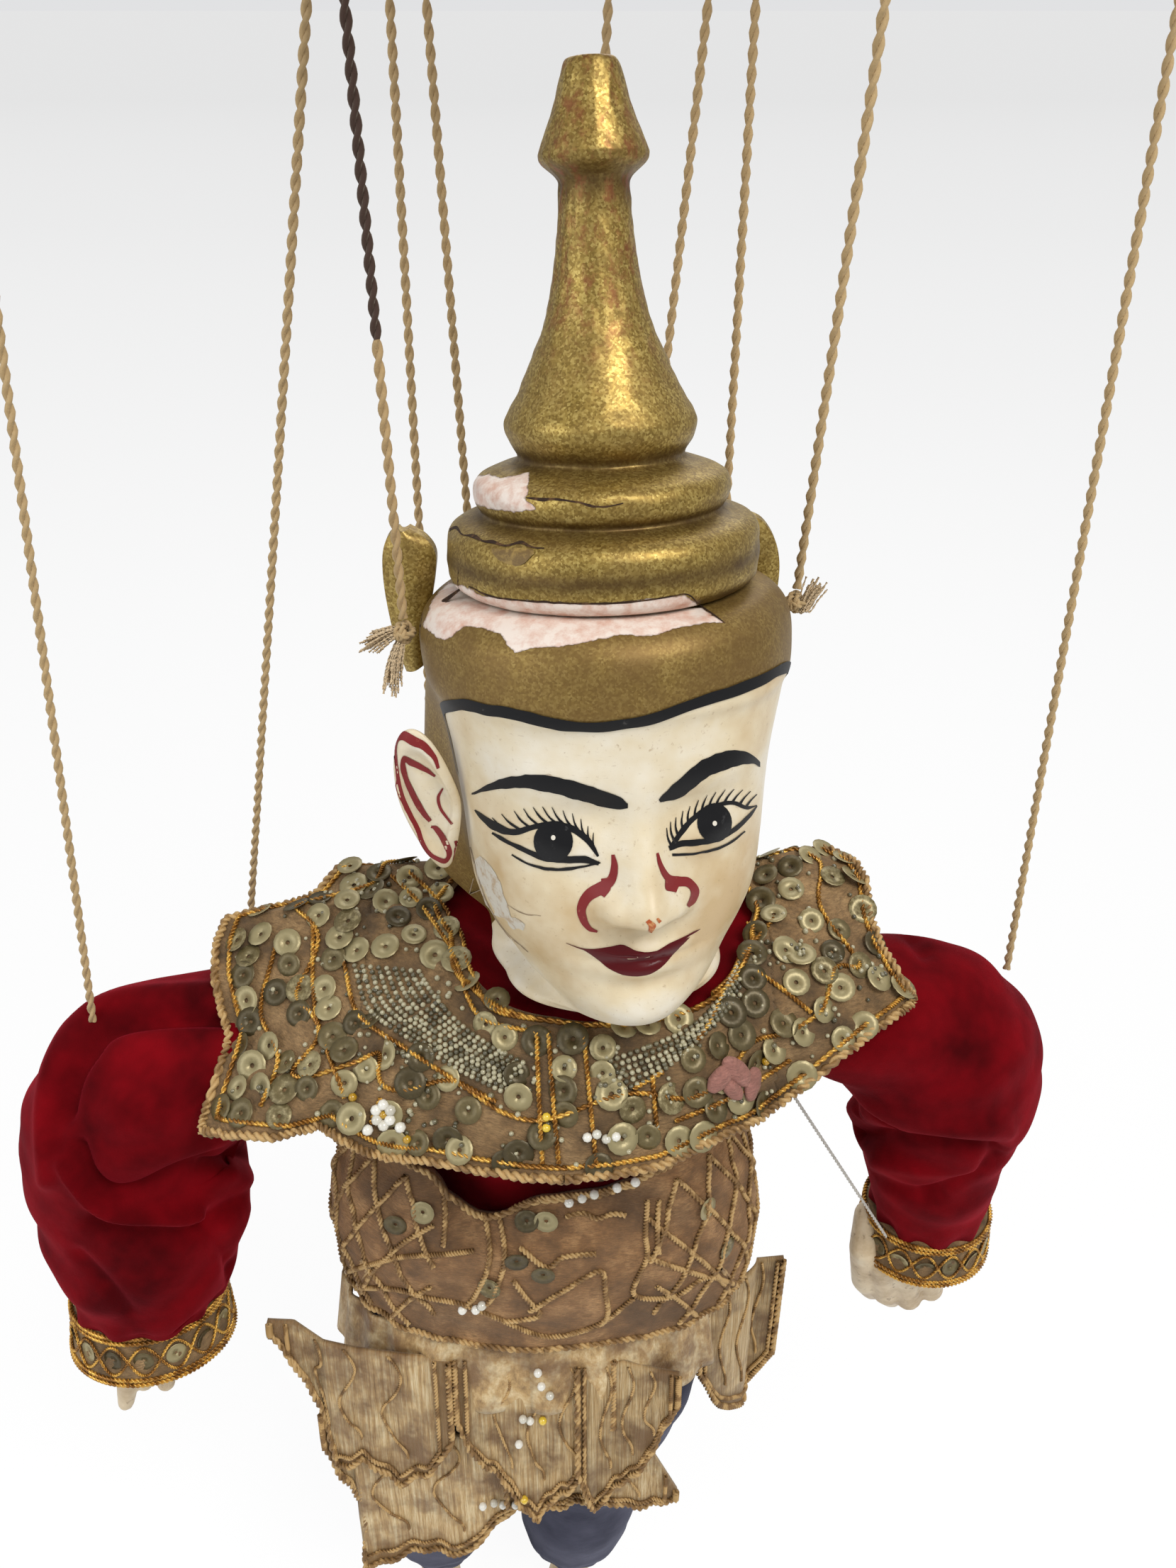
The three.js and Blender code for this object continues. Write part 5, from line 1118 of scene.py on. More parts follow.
def jacket_point(u, v):
    """Drawn in towards the waist, where it is gathered under the panel."""
    angle = u * 2 * math.pi
    s, c = math.sin(angle), math.cos(angle)
    _, across, deep = row_by(JACKET_ROWS, v)
    aside, forth = squarish(angle, 2.4)
    gathers = 0.9 * math.sin(angle * 17 + 3 * noise.noise(Vector((s * 2, c * 2, v * 2))))
    gathers *= eased(0.45, 0.95, v)
    point = JACKET_MIDDLE + Vector((across * aside, deep * forth, between(JACKET_TOP, JACKET_FOOT, v)))
    return point + Vector((s, -c, 0)) * (gathers + 0.8 * noise.noise(point * 0.07) * eased(0.02, 0.12, v))


jacket_bm = bmesh.new()
grid(jacket_bm, 140, 70, jacket_point, closed=True)
bmesh.ops.recalc_face_normals(jacket_bm, faces=jacket_bm.faces)
jacket = finished("velvet_jacket", jacket_bm, red_velvet)
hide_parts("jacket")
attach(jacket, "root")


# The sleeves
# Wide velvet sleeves, puffed by their own fullness, gathered under the cape and
# into the cuff. The elbow string pulls each into a crest with deep folds.
LIMBS = {
    # shoulder, elbow, wrist
    "right": [(-46.0, -2.0, -252.0), (-110.35, -11.04, -283.0), (-112.29, -27.69, -355.08)],
    "left": [(34.0, -2.0, -252.0), (97.67, 5.82, -284.69), (98.32, 2.59, -358.61)],
}
SLEEVES = {
    # stations down the sleeve: centre x, y, z, reach outwards, inwards, forwards, back
    "right": [
        (-55, -3, -256, 9, 13, 12, 12), (-68, -4, -261, 11, 15, 16, 14), (-84, -6, -268, 15, 20, 20, 18),
        (-100, -9, -277, 23.5, 22, 26, 23), (-110, -11, -292, 26.5, 24, 27, 26),
        (-112, -15, -309, 26, 26, 25, 25), (-112.5, -20, -324, 23.5, 25, 23, 22),
        (-113, -23, -336, 20, 21, 20, 19), (-113, -24.5, -341.5, 18.3, 18.3, 18, 17.5),
    ],
    "left": [
        (43, -3, -256, 11, 13, 13, 12), (56, -2, -261, 15, 15, 18, 15), (72, 1, -268, 20, 20, 23, 19),
        (86, 4, -278, 23, 22, 26, 22), (91.5, 5.5, -292, 23.5, 23, 25, 24), (92.5, 5, -308, 21, 22, 22, 22),
        (93, 4, -322, 18.6, 19, 19.5, 19), (94.4, 3.5, -335, 17, 16.5, 17, 16),
        (95, 3.2, -345, 14.9, 14.9, 14.5, 14.5),
    ],
}
SLEEVE_FOLDS = {
    "right": [
        # points of the picture, half width there, height in millimetres
        ([(278, 1300), (225, 1298), (170, 1303), (135, 1315), (118, 1335), (95, 1372), (84, 1420),
          (82, 1460)], 9, -3.6),
        ([(278, 1268), (215, 1272), (160, 1278), (118, 1296), (88, 1330), (68, 1380), (62, 1440),
          (66, 1500)], 15, 3.2),
        ([(84, 1440), (92, 1490), (118, 1528), (155, 1546), (205, 1549), (250, 1546)], 10, 3.6),
        ([(98, 1460), (112, 1500), (140, 1522), (178, 1520), (230, 1496), (285, 1478), (330, 1462)], 9, -3.4),
        ([(118, 1560), (160, 1572), (210, 1572), (262, 1560), (320, 1520)], 12, -2.6),
        ([(160, 1420), (220, 1400), (260, 1380)], 34, 2.4),
        ([(300, 1500), (335, 1540), (335, 1580)], 18, 2.6),
        ([(98, 1600), (130, 1632), (165, 1672)], 8, -1.6),
        ([(262, 1560), (290, 1600), (300, 1640)], 9, -2.0),
        ([(230, 1570), (215, 1620), (215, 1690)], 30, 1.6),
    ],
    "left": [
        ([(1112, 1165), (1150, 1180), (1180, 1215)], 9, -2.0),
        ([(1020, 1420), (1080, 1445), (1150, 1450), (1240, 1462), (1275, 1470)], 9, -3.2),
        ([(1040, 1400), (1120, 1420), (1200, 1436), (1280, 1440)], 14, 2.4),
        ([(1120, 1480), (1180, 1490), (1240, 1486)], 12, 2.0),
        ([(1275, 1475), (1225, 1505), (1180, 1525)], 7, -1.8),
        ([(1130, 1330), (1180, 1280), (1230, 1250)], 34, 1.8),
        ([(1110, 1500), (1150, 1518), (1200, 1525)], 7, -1.6),
    ],
}


def across_from(ahead):
    """The two ways square to a limb, the first towards the front."""
    front = Vector((0.0, -1.0, 0.0))
    front = (front - ahead * front.dot(ahead)).normalized()
    return front, ahead.cross(front).normalized()


def sleeve_point(rows, side, u, v):
    station = along(rows, v)
    centre = Vector(station[:3])
    ahead = Vector(along(rows, min(v + 0.02, 1.0))[:3]) - Vector(along(rows, max(v - 0.02, 0.0))[:3])
    ahead.normalize()
    front, outward = across_from(ahead)
    if outward.x * side < 0 and abs(outward.x) > 0.2 or (abs(outward.x) <= 0.2 and outward.z < 0):
        outward = -outward
    angle = u * 2 * math.pi
    s, c = math.sin(angle), math.cos(angle)
    reach_out = station[3] if s > 0 else station[4]
    reach_front = station[5] if c > 0 else station[6]
    point = centre + outward * s * reach_out + front * c * reach_front
    away = (point - centre).normalized()
    gather = 0.9 * math.sin(angle * 11 + 4 * noise.noise(point * 0.03))
    gather *= 1 - eased(0.0, 0.16, v) * eased(1.0, 0.86, v)
    crease = noise.noise(Vector((point.x * 0.05, point.y * 0.05, point.z * 0.11)))
    return point + away * (gather + 1.6 * crease * eased(0.05, 0.2, v) * eased(1.0, 0.85, v))


def pressed(bm, folds):
    """Raises or sinks a surface along lines of the picture, where it faces the eye."""
    bm.normal_update()
    moves = {}
    for vert in bm.verts:
        facing = vert.normal.dot((EYE - vert.co).normalized())
        if facing <= 0.0:
            continue
        place = in_picture(vert.co)
        rise = 0.0
        for points, half, height in folds:
            nearest = off_line(place, points)
            if nearest < 3 * half:
                rise += height * math.exp(-((nearest / half) ** 2))
        if rise:
            moves[vert] = vert.normal * rise * eased(0.0, 0.25, facing)
    for vert, shift in moves.items():
        vert.co += shift


def smoothed(points, times=3):
    """A polyline with its corners rounded."""
    return [tuple(along(points, i / (len(points) * times))) for i in range(len(points) * times + 1)]


for side_name, side in (("right", -1), ("left", 1)):
    rows = SLEEVES[side_name]
    sleeve_bm = bmesh.new()
    grid(sleeve_bm, 150, 170, lambda u, v: sleeve_point(rows, side, u, v), closed=True)
    pressed(sleeve_bm, [(smoothed(points), half, height) for points, half, height in SLEEVE_FOLDS[side_name]])
    bmesh.ops.recalc_face_normals(sleeve_bm, faces=sleeve_bm.faces)
    bmesh.ops.smooth_vert(
        sleeve_bm, verts=sleeve_bm.verts, factor=0.5, use_axis_x=True, use_axis_y=True, use_axis_z=True)
    sleeve = finished("velvet_sleeve_" + side_name, sleeve_bm, red_velvet)
    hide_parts("sleeve_upper_" + side_name, "sleeve_lower_" + side_name)
    shoulder, elbow, wrist = map(Vector, LIMBS[side_name])
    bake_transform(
        sleeve, "upper_arm_" + side_name, "forearm_" + side_name,
        start=(elbow + (shoulder - elbow) * 0.12) * MM, end=(elbow + (wrist - elbow) * 0.38) * MM,
    )


# The cape
# A stiffened cloth collar with pointed wings over the shoulders, sewn all over
# with sequins, glass beads and gold wire, its edge turned and bound.
CAPE_EDGE = [
    (-4.8, -52.8, -261.5), (-14.4, -50.8, -263.1), (-24.3, -48.2, -264.8), (-34.5, -45, -265.4),
    (-41.1, -44.4, -265.6), (-46.8, -44.2, -264.3), (-52.6, -42.4, -262.3), (-56.8, -39.3, -261.9),
    (-61.3, -40, -262.5), (-66.9, -41.5, -262.9), (-75.1, -39.6, -264.7), (-82.0, -37.2, -266.5),
    (-84.4, -36, -266.9), (-83.9, -31.7, -264.9), (-81.8, -22.2, -259.4), (-81.1, -17.8, -256.6),
    (-83.6, -13, -253.6), (-86.1, -6.8, -249.8), (-86.8, 0.5, -245.6), (-85.4, 5.6, -242.6),
    (-77.3, 7.4, -241.2), (-69.7, 8.7, -239.9), (-64.3, 10.4, -238.5), (-59.7, 15.9, -235.3),
    (-50, 19.5, -238.5), (-38, 20.5, -246.5), (-28.6, 20.1, -251.9), (-17, 20, -254.8),
    (-5.2, 19.6, -256.5), (9, 20, -254.8), (22.3, 19.9, -251.9), (34, 21, -246), (46, 22, -239.5),
    (57, 21, -233), (62.8, 15.5, -232.2), (64.9, 9.4, -233.4), (64.7, 1.1, -237.3), (66.5, -5.4, -241),
    (69.9, -11.7, -244.6), (72.4, -15.6, -246.6), (72, -16.9, -247.3), (68.5, -19.3, -248.3),
    (61.7, -23.4, -250.3), (55.9, -27, -252.5), (46.1, -32.7, -256.7), (40, -35.9, -259),
    (34.5, -40.6, -258.8), (27.5, -44.4, -258.6), (20.9, -47.5, -259.5), (14.3, -50.3, -260.5),
    (4.8, -52.1, -261.3), (-4.8, -52.8, -261.5),
]
NECK_MIDDLE = Vector((3.0, -5.0, 0.0))
# The neck opening: share of a turn from the front round by the figure's right, reach
NECK_EDGE = [
    (0, 24.0), (0.0625, 24.8), (0.125, 28.4), (0.1875, 30.4), (0.25, 30.8), (0.29, 37.2), (0.33, 37.2),
    (0.4, 24.0), (0.5, 18.8), (0.6, 24.0), (0.67, 36.0), (0.72, 35.2), (0.75, 32.0), (0.8125, 30.8),
    (0.875, 28.4), (0.9375, 24.8), (1, 24.0),
]
NECK_HEIGHTS = (-240.5, -234.5)  # front, back
CAPE_THICKNESS = 1.5


def cape_edge(share):
    last = len(CAPE_EDGE) - 1
    i = min(int(share * last), last - 1)
    return Vector(CAPE_EDGE[i]).lerp(Vector(CAPE_EDGE[i + 1]), share * last - i)


def neck_height(c):
    return between(NECK_HEIGHTS[1], NECK_HEIGHTS[0], (1 + c) / 2)


def cape_point(u, v):
    edge = cape_edge(u)
    angle = math.atan2(-(edge.x + 4.0), -(edge.y + 12.0))
    s, c = math.sin(angle), math.cos(angle)
    neck = NECK_MIDDLE - Vector((s, c, 0)) * level(NECK_EDGE, angle / (2 * math.pi) % 1.0)
    neck.z = neck_height(c)
    point = neck.lerp(edge, v)
    rise = 3.4 * math.sin(math.pi * v**0.8) + 0.7 * noise.noise(point * 0.06) * eased(0, 0.3, v)
    frill = 0.9 * noise.noise(Vector((u * 160, v * 2, 0))) * eased(0.9, 1.0, v)
    return point + Vector((0, 0, rise + frill))


# Where each wing starts to follow its arm, and where it follows it wholly
CAPE_BENDS = {
    "right": (Vector((-50, -12, -250)), Vector((-78, -12, -250))),
    "left": (Vector((40, -8, -248)), Vector((64, -8, -248))),
}


def cape_zone(point):
    if point.x < CAPE_BENDS["right"][0].x:
        return "right"
    return "left" if point.x > CAPE_BENDS["left"][0].x else "centre"


def on_cape(piece, zone):
    """The cape's middle stays on the body, its wings lift with the arms."""
    if zone == "centre":
        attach(piece, "root")
    else:
        start, end = CAPE_BENDS[zone]
        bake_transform(piece, "root", "upper_arm_" + zone, start=start * MM, end=end * MM)


def cloth_finish(name, pale, mid, dark, soil=0.5):
    """Old cotton ground with couched metal thread: a plain weave, soiled and faded in patches."""
    finish = Finish(name, mid, 0.85)
    where = finish.place()
    patch = finish.grain(where, 95.0, 5.0, 0.65)
    tone = finish.steps(patch, (0.32, dark), (0.5, mid), (0.7, pale))
    threads = finish.grain(finish.place((1.0, 1.0, 5.0)), 600.0, 3.0, 0.8)
    tone = finish.blend(finish.steps(threads, (0.35, 0.7), (0.62, 0.0)), tone, tuple(c * 0.45 for c in mid))
    stain = finish.grain(where, 36.0, 3.0)
    tone = finish.blend(finish.steps(stain, (0.5, 0.0), (0.75, soil)), tone, tuple(c * 0.5 for c in dark))
    finish.drive("Base Color", tone)
    finish.raise_by(threads, 0.5, 0.8)
    finish.raise_by(finish.grain(where, 1700.0, 2.0), 0.15, 0.6)
    finish.sheen(0.1, 0.5, (1.0, 0.85, 0.6))
    return finish


cape_ground = cloth_finish(
    "embroidered cape ground", (0.42, 0.265, 0.12), (0.24, 0.14, 0.057), (0.07, 0.042, 0.019))
# Each piece of the cape as it was cut flat: width, length and area in metres
CAPE_CUTS = {
    "centre": (0.092, 0.082, 0.0052), "right": (0.050, 0.060, 0.0022), "left": (0.040, 0.050, 0.0014),
}
CAPE_COLUMNS = len(CAPE_EDGE) * 6
whole_cape = bmesh.new()
grid(whole_cape, CAPE_COLUMNS, 40, cape_point, closed=True)
bmesh.ops.recalc_face_normals(whole_cape, faces=whole_cape.faces)
turned_to(whole_cape, whole_cape.faces[:], lambda place: Vector((0, 0, 1)))
cape_tree = BVHTree.FromBMesh(whole_cape)
for zone, (width, length, area) in CAPE_CUTS.items():
    part = whole_cape.copy()
    away = [face for face in part.faces if cape_zone(face.calc_center_median()) != zone]
    bmesh.ops.delete(part, geom=away, context="FACES")
    bmesh.ops.solidify(part, geom=part.faces, thickness=CAPE_THICKNESS)
    cape = finished("cape_" + zone, part, cape_ground)
    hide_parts("cape")
    on_cape(cape, zone)
whole_cape.free()


# The collar lining
# A funnel of the jacket's velvet sewn under the neck edge of the cape, which
# closes the collar round the neck cord.
LINING_MOUTH, LINING_FOOT = 7.5, -247.2


def lining_point(u, v):
    angle = u * 2 * math.pi
    s, c = math.sin(angle), math.cos(angle)
    reach = between(level(NECK_EDGE, u) + 2.0, LINING_MOUTH, v)
    sag = 0.35 * math.sin(angle * 9) * math.sin(math.pi * v)
    height = between(neck_height(c) - 1.9, LINING_FOOT, eased(0.0, 0.8, v)) + sag
    return NECK_MIDDLE - Vector((s * reach, c * reach, 0)) + Vector((0, 0, height))


lining_bm = bmesh.new()
grid(lining_bm, 90, 14, lining_point, closed=True)
bmesh.ops.solidify(lining_bm, geom=lining_bm.faces, thickness=0.5)
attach(finished("collar_lining", lining_bm, red_velvet), "root")


# The beadwork
# Tarnished sequins, a gold purl couched along every outline, rows of glass seed
# beads, and a few pearls, all sewn through the cape. It lies where the cape lies.
SEQUINS = [
    (318, 1221), (312, 1244), (316, 1276), (321, 1303), (345, 1334), (323, 1359), (305, 1388), (309, 1420),
    (285, 1413), (370, 1230), (384, 1262), (434, 1197), (427, 1223), (492, 1151), (508, 1171), (528, 1194),
    (445, 1176), (555, 1219), (583, 1226), (598, 1255), (634, 1276), (364, 1391), (357, 1424), (397, 1359),
    (393, 1388), (425, 1323), (440, 1341), (454, 1305), (474, 1302), (468, 1363), (524, 1381), (440, 1381),
    (425, 1420), (547, 1398), (450, 1427), (537, 1348), (659, 1370), (644, 1323), (662, 1398), (572, 1452),
    (587, 1467), (662, 1470), (644, 1481), (720, 1363), (723, 1420), (720, 1391), (769, 1337), (769, 1368),
    (780, 1396), (883, 1351), (932, 1292), (1001, 1213), (1022, 1220), (998, 1306), (1022, 1317),
]
PURLS = [
    [(516, 1108), (548, 1138), (582, 1180), (598, 1220), (624, 1284), (690, 1303)],
    [(500, 1118), (532, 1150), (566, 1196), (584, 1232), (612, 1296), (686, 1318)],
    [(685, 1317), (688, 1400), (693, 1490)], [(700, 1317), (706, 1400), (714, 1490)],
    [(745, 1317), (752, 1400), (761, 1490)], [(807, 1389), (849, 1365)], [(832, 1372), (838, 1448)],
    [(946, 1171), (970, 1189)], [(966, 1240), (1005, 1268), (1039, 1296)], [(922, 1268), (901, 1310),
     (883, 1334)],
    [(440, 1228), (458, 1294), (516, 1336), (576, 1374), (640, 1408)],
    [(352, 1210), (334, 1290), (356, 1350), (330, 1420)], [(400, 1180), (404, 1290), (440, 1400)],
    [(486, 1400), (470, 1440)], [(880, 1230), (930, 1235), (990, 1170)], [(860, 1430), (930, 1400),
     (1010, 1350)],
]
# Bands of close rows of seed beads: outer row, inner row, how many rows
BEAD_BANDS = [
    ([(453, 1232), (472, 1288), (524, 1326), (584, 1363), (644, 1393)],
     [(535, 1240), (552, 1268), (580, 1300), (620, 1330), (674, 1359)], 9),
    ([(943, 1270), (915, 1300), (890, 1326), (838, 1370), (786, 1393)],
     [(943, 1221), (930, 1252), (913, 1281), (868, 1318), (771, 1356)], 6),
]
PEARLS = [
    (490, 1408), (481, 1415), (499, 1415), (482, 1427), (498, 1427), (490, 1434), (511, 1436), (470, 1440),
]
WHITE_BEADS = [(749, 1450), (761, 1446), (773, 1452), (785, 1449)]
YELLOW_BEADS = [(698, 1424), (698, 1438), (975, 1353), (452, 1400), (490, 1421), (520, 1452)]


def bead_finish(name, dark, mid, pale, roughness, metallic=0.0, coat=0.0):
    """Small sewn-on pieces, each a little lighter or darker than the next."""
    finish = Finish(name, mid, roughness, metallic)
    worn = finish.grain(finish.place(), 900.0, 3.0, 0.7)
    tone = finish.sum("MULTIPLY_ADD", worn, 0.5, finish.own("tone"))
    finish.drive("Base Color", finish.steps(tone, (0.3, dark), (0.7, mid), (1.2 / 1.5, pale)))
    finish.raise_by(worn, 0.06, 0.5)
    finish.shader.inputs["Coat Weight"].default_value = coat
    return finish


sequin_finish = bead_finish(
    "tarnished sequin", (0.07, 0.052, 0.02), (0.17, 0.132, 0.056), (0.34, 0.285, 0.145), 0.4, 0.35)
gold_purl = bead_finish(
    "gold purl", (0.13, 0.052, 0.01), (0.34, 0.155, 0.026), (0.66, 0.38, 0.075), 0.34, 0.6)
glass = bead_finish(
    "glass seed bead", (0.08, 0.07, 0.038), (0.2, 0.175, 0.1), (0.42, 0.385, 0.25), 0.14, 0.0, 0.6)
pearl = bead_finish("pearl", (0.55, 0.52, 0.43), (0.68, 0.66, 0.57), (0.80, 0.78, 0.70), 0.16, 0.0, 0.8)
amber = bead_finish(
    "yellow glass bead", (0.45, 0.25, 0.01), (0.62, 0.38, 0.02), (0.78, 0.55, 0.05), 0.14, 0.0, 0.7)
brown_cord = bead_finish(
    "couched gold brown cord", (0.11, 0.055, 0.018), (0.29, 0.165, 0.058), (0.52, 0.34, 0.14), 0.6, 0.12)
random.seed(11)
SEQUIN_HOLE, SEQUIN_RADIUS = 0.5, 3.2


def sequin_point(u, v):
    """A shallow dished ring."""
    radius, angle = between(SEQUIN_HOLE, SEQUIN_RADIUS, v), u * 2 * math.pi
    return Vector((math.cos(angle) * radius, math.sin(angle) * radius, 0.5 + 0.38 * v * v))


sequin_bm = bmesh.new()
grid(sequin_bm, 14, 2, sequin_point, closed=True)
bmesh.ops.solidify(sequin_bm, geom=sequin_bm.faces, thickness=0.08)
bead_bm = bmesh.new()
bmesh.ops.create_uvsphere(bead_bm, u_segments=8, v_segments=6, radius=1.0)


def as_pattern(bm):
    bm.verts.layers.float.new("tone")
    mesh = bpy.data.meshes.new("pattern")
    bm.to_mesh(mesh)
    bm.free()
    return mesh


sequin_pattern = as_pattern(sequin_bm)
bead_pattern = as_pattern(bead_bm)


def strewn(bm, pattern, spot, normal, size=1.0, tilt=0.0):
    """One copy of a small pattern, seated on a surface, with a tone of its own."""
    shade = random.random()
    lean = Vector([random.uniform(-tilt, tilt) for _ in range(3)])
    turn = (normal + lean).normalized().to_track_quat("Z", "Y").to_matrix().to_4x4()
    first = len(bm.verts)
    bm.from_mesh(pattern)
    bm.verts.ensure_lookup_table()
    verts = bm.verts[first:]
    tone = bm.verts.layers.float["tone"]
    bmesh.ops.transform(bm, matrix=Matrix.Translation(spot) @ turn @ Matrix.Scale(size, 4), verts=verts)
    for vert in verts:
        vert[tone] = shade


def laid_along(trees, points, step, lift):
    """Places every step millimetres on the surface under a line of the picture."""
    spots, last = [], None
    for i in range(len(points) * 60):
        place = along(points, i / (len(points) * 60 - 1))
        spot, normal = touch(trees, place.x, place.y)
        if last is None or (spot - last).length >= step:
            spots.append((spot + normal * lift, normal))
            last = spot
    return spots


def couched(bm, spots, diameter, pitch):
    """A purl of two wires along places on the surface."""
    before = set(bm.verts)
    tone = bm.verts.layers.float.get("tone") or bm.verts.layers.float.new("tone")
    if len(spots) > 2:
        twisted(bm, [tuple(spot) for spot, _ in spots], diameter, pitch, sides=5, turn_steps=6)
        for vert in bm.verts:
            if vert not in before:
                vert[tone] = 0.5 + 0.5 * noise.noise(vert.co * 0.35)


beadwork = {}


def bag(kind, zone):
    """The mesh that gathers one kind of bead in one piece of the cape."""
    return beadwork.setdefault((kind, zone), bmesh.new())


def purl_on_cape(spots, diameter=1.25, pitch=2.1, kind="gold_purl"):
    """A couched wire, cut where it crosses from one piece of the cape to the next."""
    run, zone = [], None
    for spot in spots + [None]:
        here = spot and cape_zone(spot[0])
        if here != zone and run:
            couched(bag(kind, zone), run, diameter, pitch)
            run = run[-1:] if spot else []
        zone = here
        if spot:
            run.append(spot)


def cape_spot(u, v, lift=0.0):
    """A place on the cape's top by its own coordinates."""
    spot, normal, _, _ = cape_tree.find_nearest(cape_point(u % 1.0, v))
    return spot + normal * lift, normal


for points in PURLS:
    purl_on_cape(laid_along([cape_tree], points, 1.4, 0.45))
purl_on_cape([cape_spot(i / 260, 0.985, 0.3) for i in range(261)], 2.3, 3.4, "binding")
purl_on_cape([cape_spot(i / 260, 0.925, 0.4) for i in range(261)], 1.3, 2.2)
purl_on_cape([cape_spot(i / 260, 0.62 + 0.07 * math.sin(i / 260 * 22 * math.pi), 0.4) for i in range(261)])
purl_on_cape([cape_spot(i / 120, 0.05, 0.4) for i in range(121)], 1.5, 2.4)
for outer, inner, count in BEAD_BANDS:
    for row in range(count):
        share = row / (count - 1)
        points = [(between(a[0], b[0], share), between(a[1], b[1], share)) for a, b in zip(outer, inner)]
        for spot, normal in laid_along([cape_tree], points, 1.3, 0.35):
            strewn(bag("glass_beads", cape_zone(spot)), bead_pattern, spot, normal, 0.6)
for kind, places, size in (
    ("pearls", PEARLS, 1.25), ("pearls", WHITE_BEADS, 1.05), ("yellow_beads", YELLOW_BEADS, 0.95),
):
    for place in places:
        spot, normal = touch([cape_tree], *place)
        strewn(bag(kind, cape_zone(spot)), bead_pattern, spot + normal * size * 0.7, normal, size)
# The sequins that are read in the picture come first, and the rest fill the cape between them.
SEQUIN_COLUMNS, SEQUIN_ROWS, SEQUIN_GAP = 52, 8, 4.9
LOOSE_BEADS = 420
sewn = [touch([cape_tree], *place) for place in SEQUINS]
for column in range(SEQUIN_COLUMNS):
    for row in range(SEQUIN_ROWS):
        turn = (column + 0.5 * (row % 2) + random.uniform(-0.3, 0.3)) / SEQUIN_COLUMNS
        out = (row + 0.6 + random.uniform(-0.25, 0.25)) / (SEQUIN_ROWS + 0.4)
        spot, normal = cape_spot(turn, out)
        place = in_picture(spot)
        in_band = any(inside_by(outer + inner[::-1], place) > -1.5 for outer, inner, _ in BEAD_BANDS)
        if not in_band and all((spot - other).length > SEQUIN_GAP for other, _ in sewn):
            sewn.append((spot, normal))
for spot, normal in sewn:
    strewn(bag("sequins", cape_zone(spot)), sequin_pattern, spot, normal, random.uniform(0.85, 1.08), 0.28)
for _ in range(LOOSE_BEADS):
    spot, normal = cape_spot(random.random(), random.uniform(0.1, 0.92), 0.3)
    strewn(bag("glass_beads", cape_zone(spot)), bead_pattern, spot, normal, random.uniform(0.45, 0.7))
BEAD_FINISHES = {
    "gold_purl": gold_purl, "sequins": sequin_finish, "glass_beads": glass, "pearls": pearl,
    "yellow_beads": amber, "binding": brown_cord,
}
for (kind, zone), bm in beadwork.items():
    on_cape(finished(f"{kind}_{zone}", bm, BEAD_FINISHES[kind]), zone)


# The bow
# A small bow of faded pink cloth, four soft loops drawn together and sewn on the
# left of the breast.
BOW_LOOPS = [
    # place in the picture, turn, size
    ((915, 1375), 0.4, 2.6), ((936, 1366), 2.1, 3.0), ((955, 1382), 4.0, 2.6), ((930, 1388), 5.2, 2.2),
]
bow_bm = bmesh.new()
for place, turn, size in BOW_LOOPS:
    spot, normal = touch([cape_tree], *place)
    seat = Matrix.Translation(spot + normal * 1.1) @ normal.to_track_quat("Z", "Y").to_matrix().to_4x4()
    seat = seat @ Matrix.Rotation(turn, 4, "Z") @ Matrix.Diagonal((size * 1.4, size * 0.8, size * 0.55, 1))
    made = bmesh.ops.create_uvsphere(bow_bm, u_segments=24, v_segments=16, radius=1.0, matrix=seat)["verts"]
    for vert in made:
        vert.co += normal * 0.5 * noise.noise(vert.co * 0.6)
pink_cloth = cloth_finish("faded pink cloth", (0.62, 0.33, 0.27), (0.45, 0.2, 0.16), (0.28, 0.12, 0.09))
on_cape(finished("pink_bow", bow_bm, pink_cloth), "centre")


# The temple knots
# Each temple string is knotted over a pin in the side of the head band, and its
# cut end is left frayed.
KNOT_REACH = 1.6
FRAY_STRANDS = 40
frayed_cotton = twine_finish("frayed cotton", (0.72, 0.55, 0.34))
for side_name, knot, tails in (
    ("right", RIGHT_KNOT, [[(520, 792), (498, 806), (478, 816), (464, 824)],
                                  [(521, 794), (508, 826), (500, 856), (497, 884)]]),
    ("left", LEFT_KNOT, [[(1012, 790), (1026, 778), (1036, 760), (1046, 744)]]),
):
    knot_bm = bmesh.new()
    for tilt in (0.0, 1.0, 2.1):
        lean = Matrix.Rotation(tilt, 3, "X") @ Matrix.Rotation(tilt * 0.7, 3, "Y")
        angles = [i / 16 * 2 * math.pi for i in range(17)]
        ring = [knot + lean @ Vector((math.cos(a) * KNOT_REACH, math.sin(a) * KNOT_REACH, 0)) for a in angles]
        twisted(knot_bm, ring, 1.5, 3.4)
    fray_bm = bmesh.new()
    for tail in tails:
        depth = (knot - EYE).dot(sight(*tail[0]))
        path = [EYE + sight(*place) * depth for place in tail]
        path[0] = knot
        for _ in range(FRAY_STRANDS):
            spread = Vector([random.uniform(-1, 1) for _ in range(3)])
            reach = random.uniform(0.7, 1.0)
            aside = [spread * 1.7 * (i / 3) ** 0.6 for i in range(len(path))]
            points = [path[0].lerp(point, reach) + shift for point, shift in zip(path, aside)]
            twisted(fray_bm, points, 0.5, 2.4, turn_steps=4)
    tied = finished("temple_knot_tied_" + side_name, knot_bm, twine)
    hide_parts("temple_knot_" + side_name)
    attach(tied, "temple_knots")
    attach(finished("frayed_end_" + side_name, fray_bm, frayed_cotton), "temple_knots")


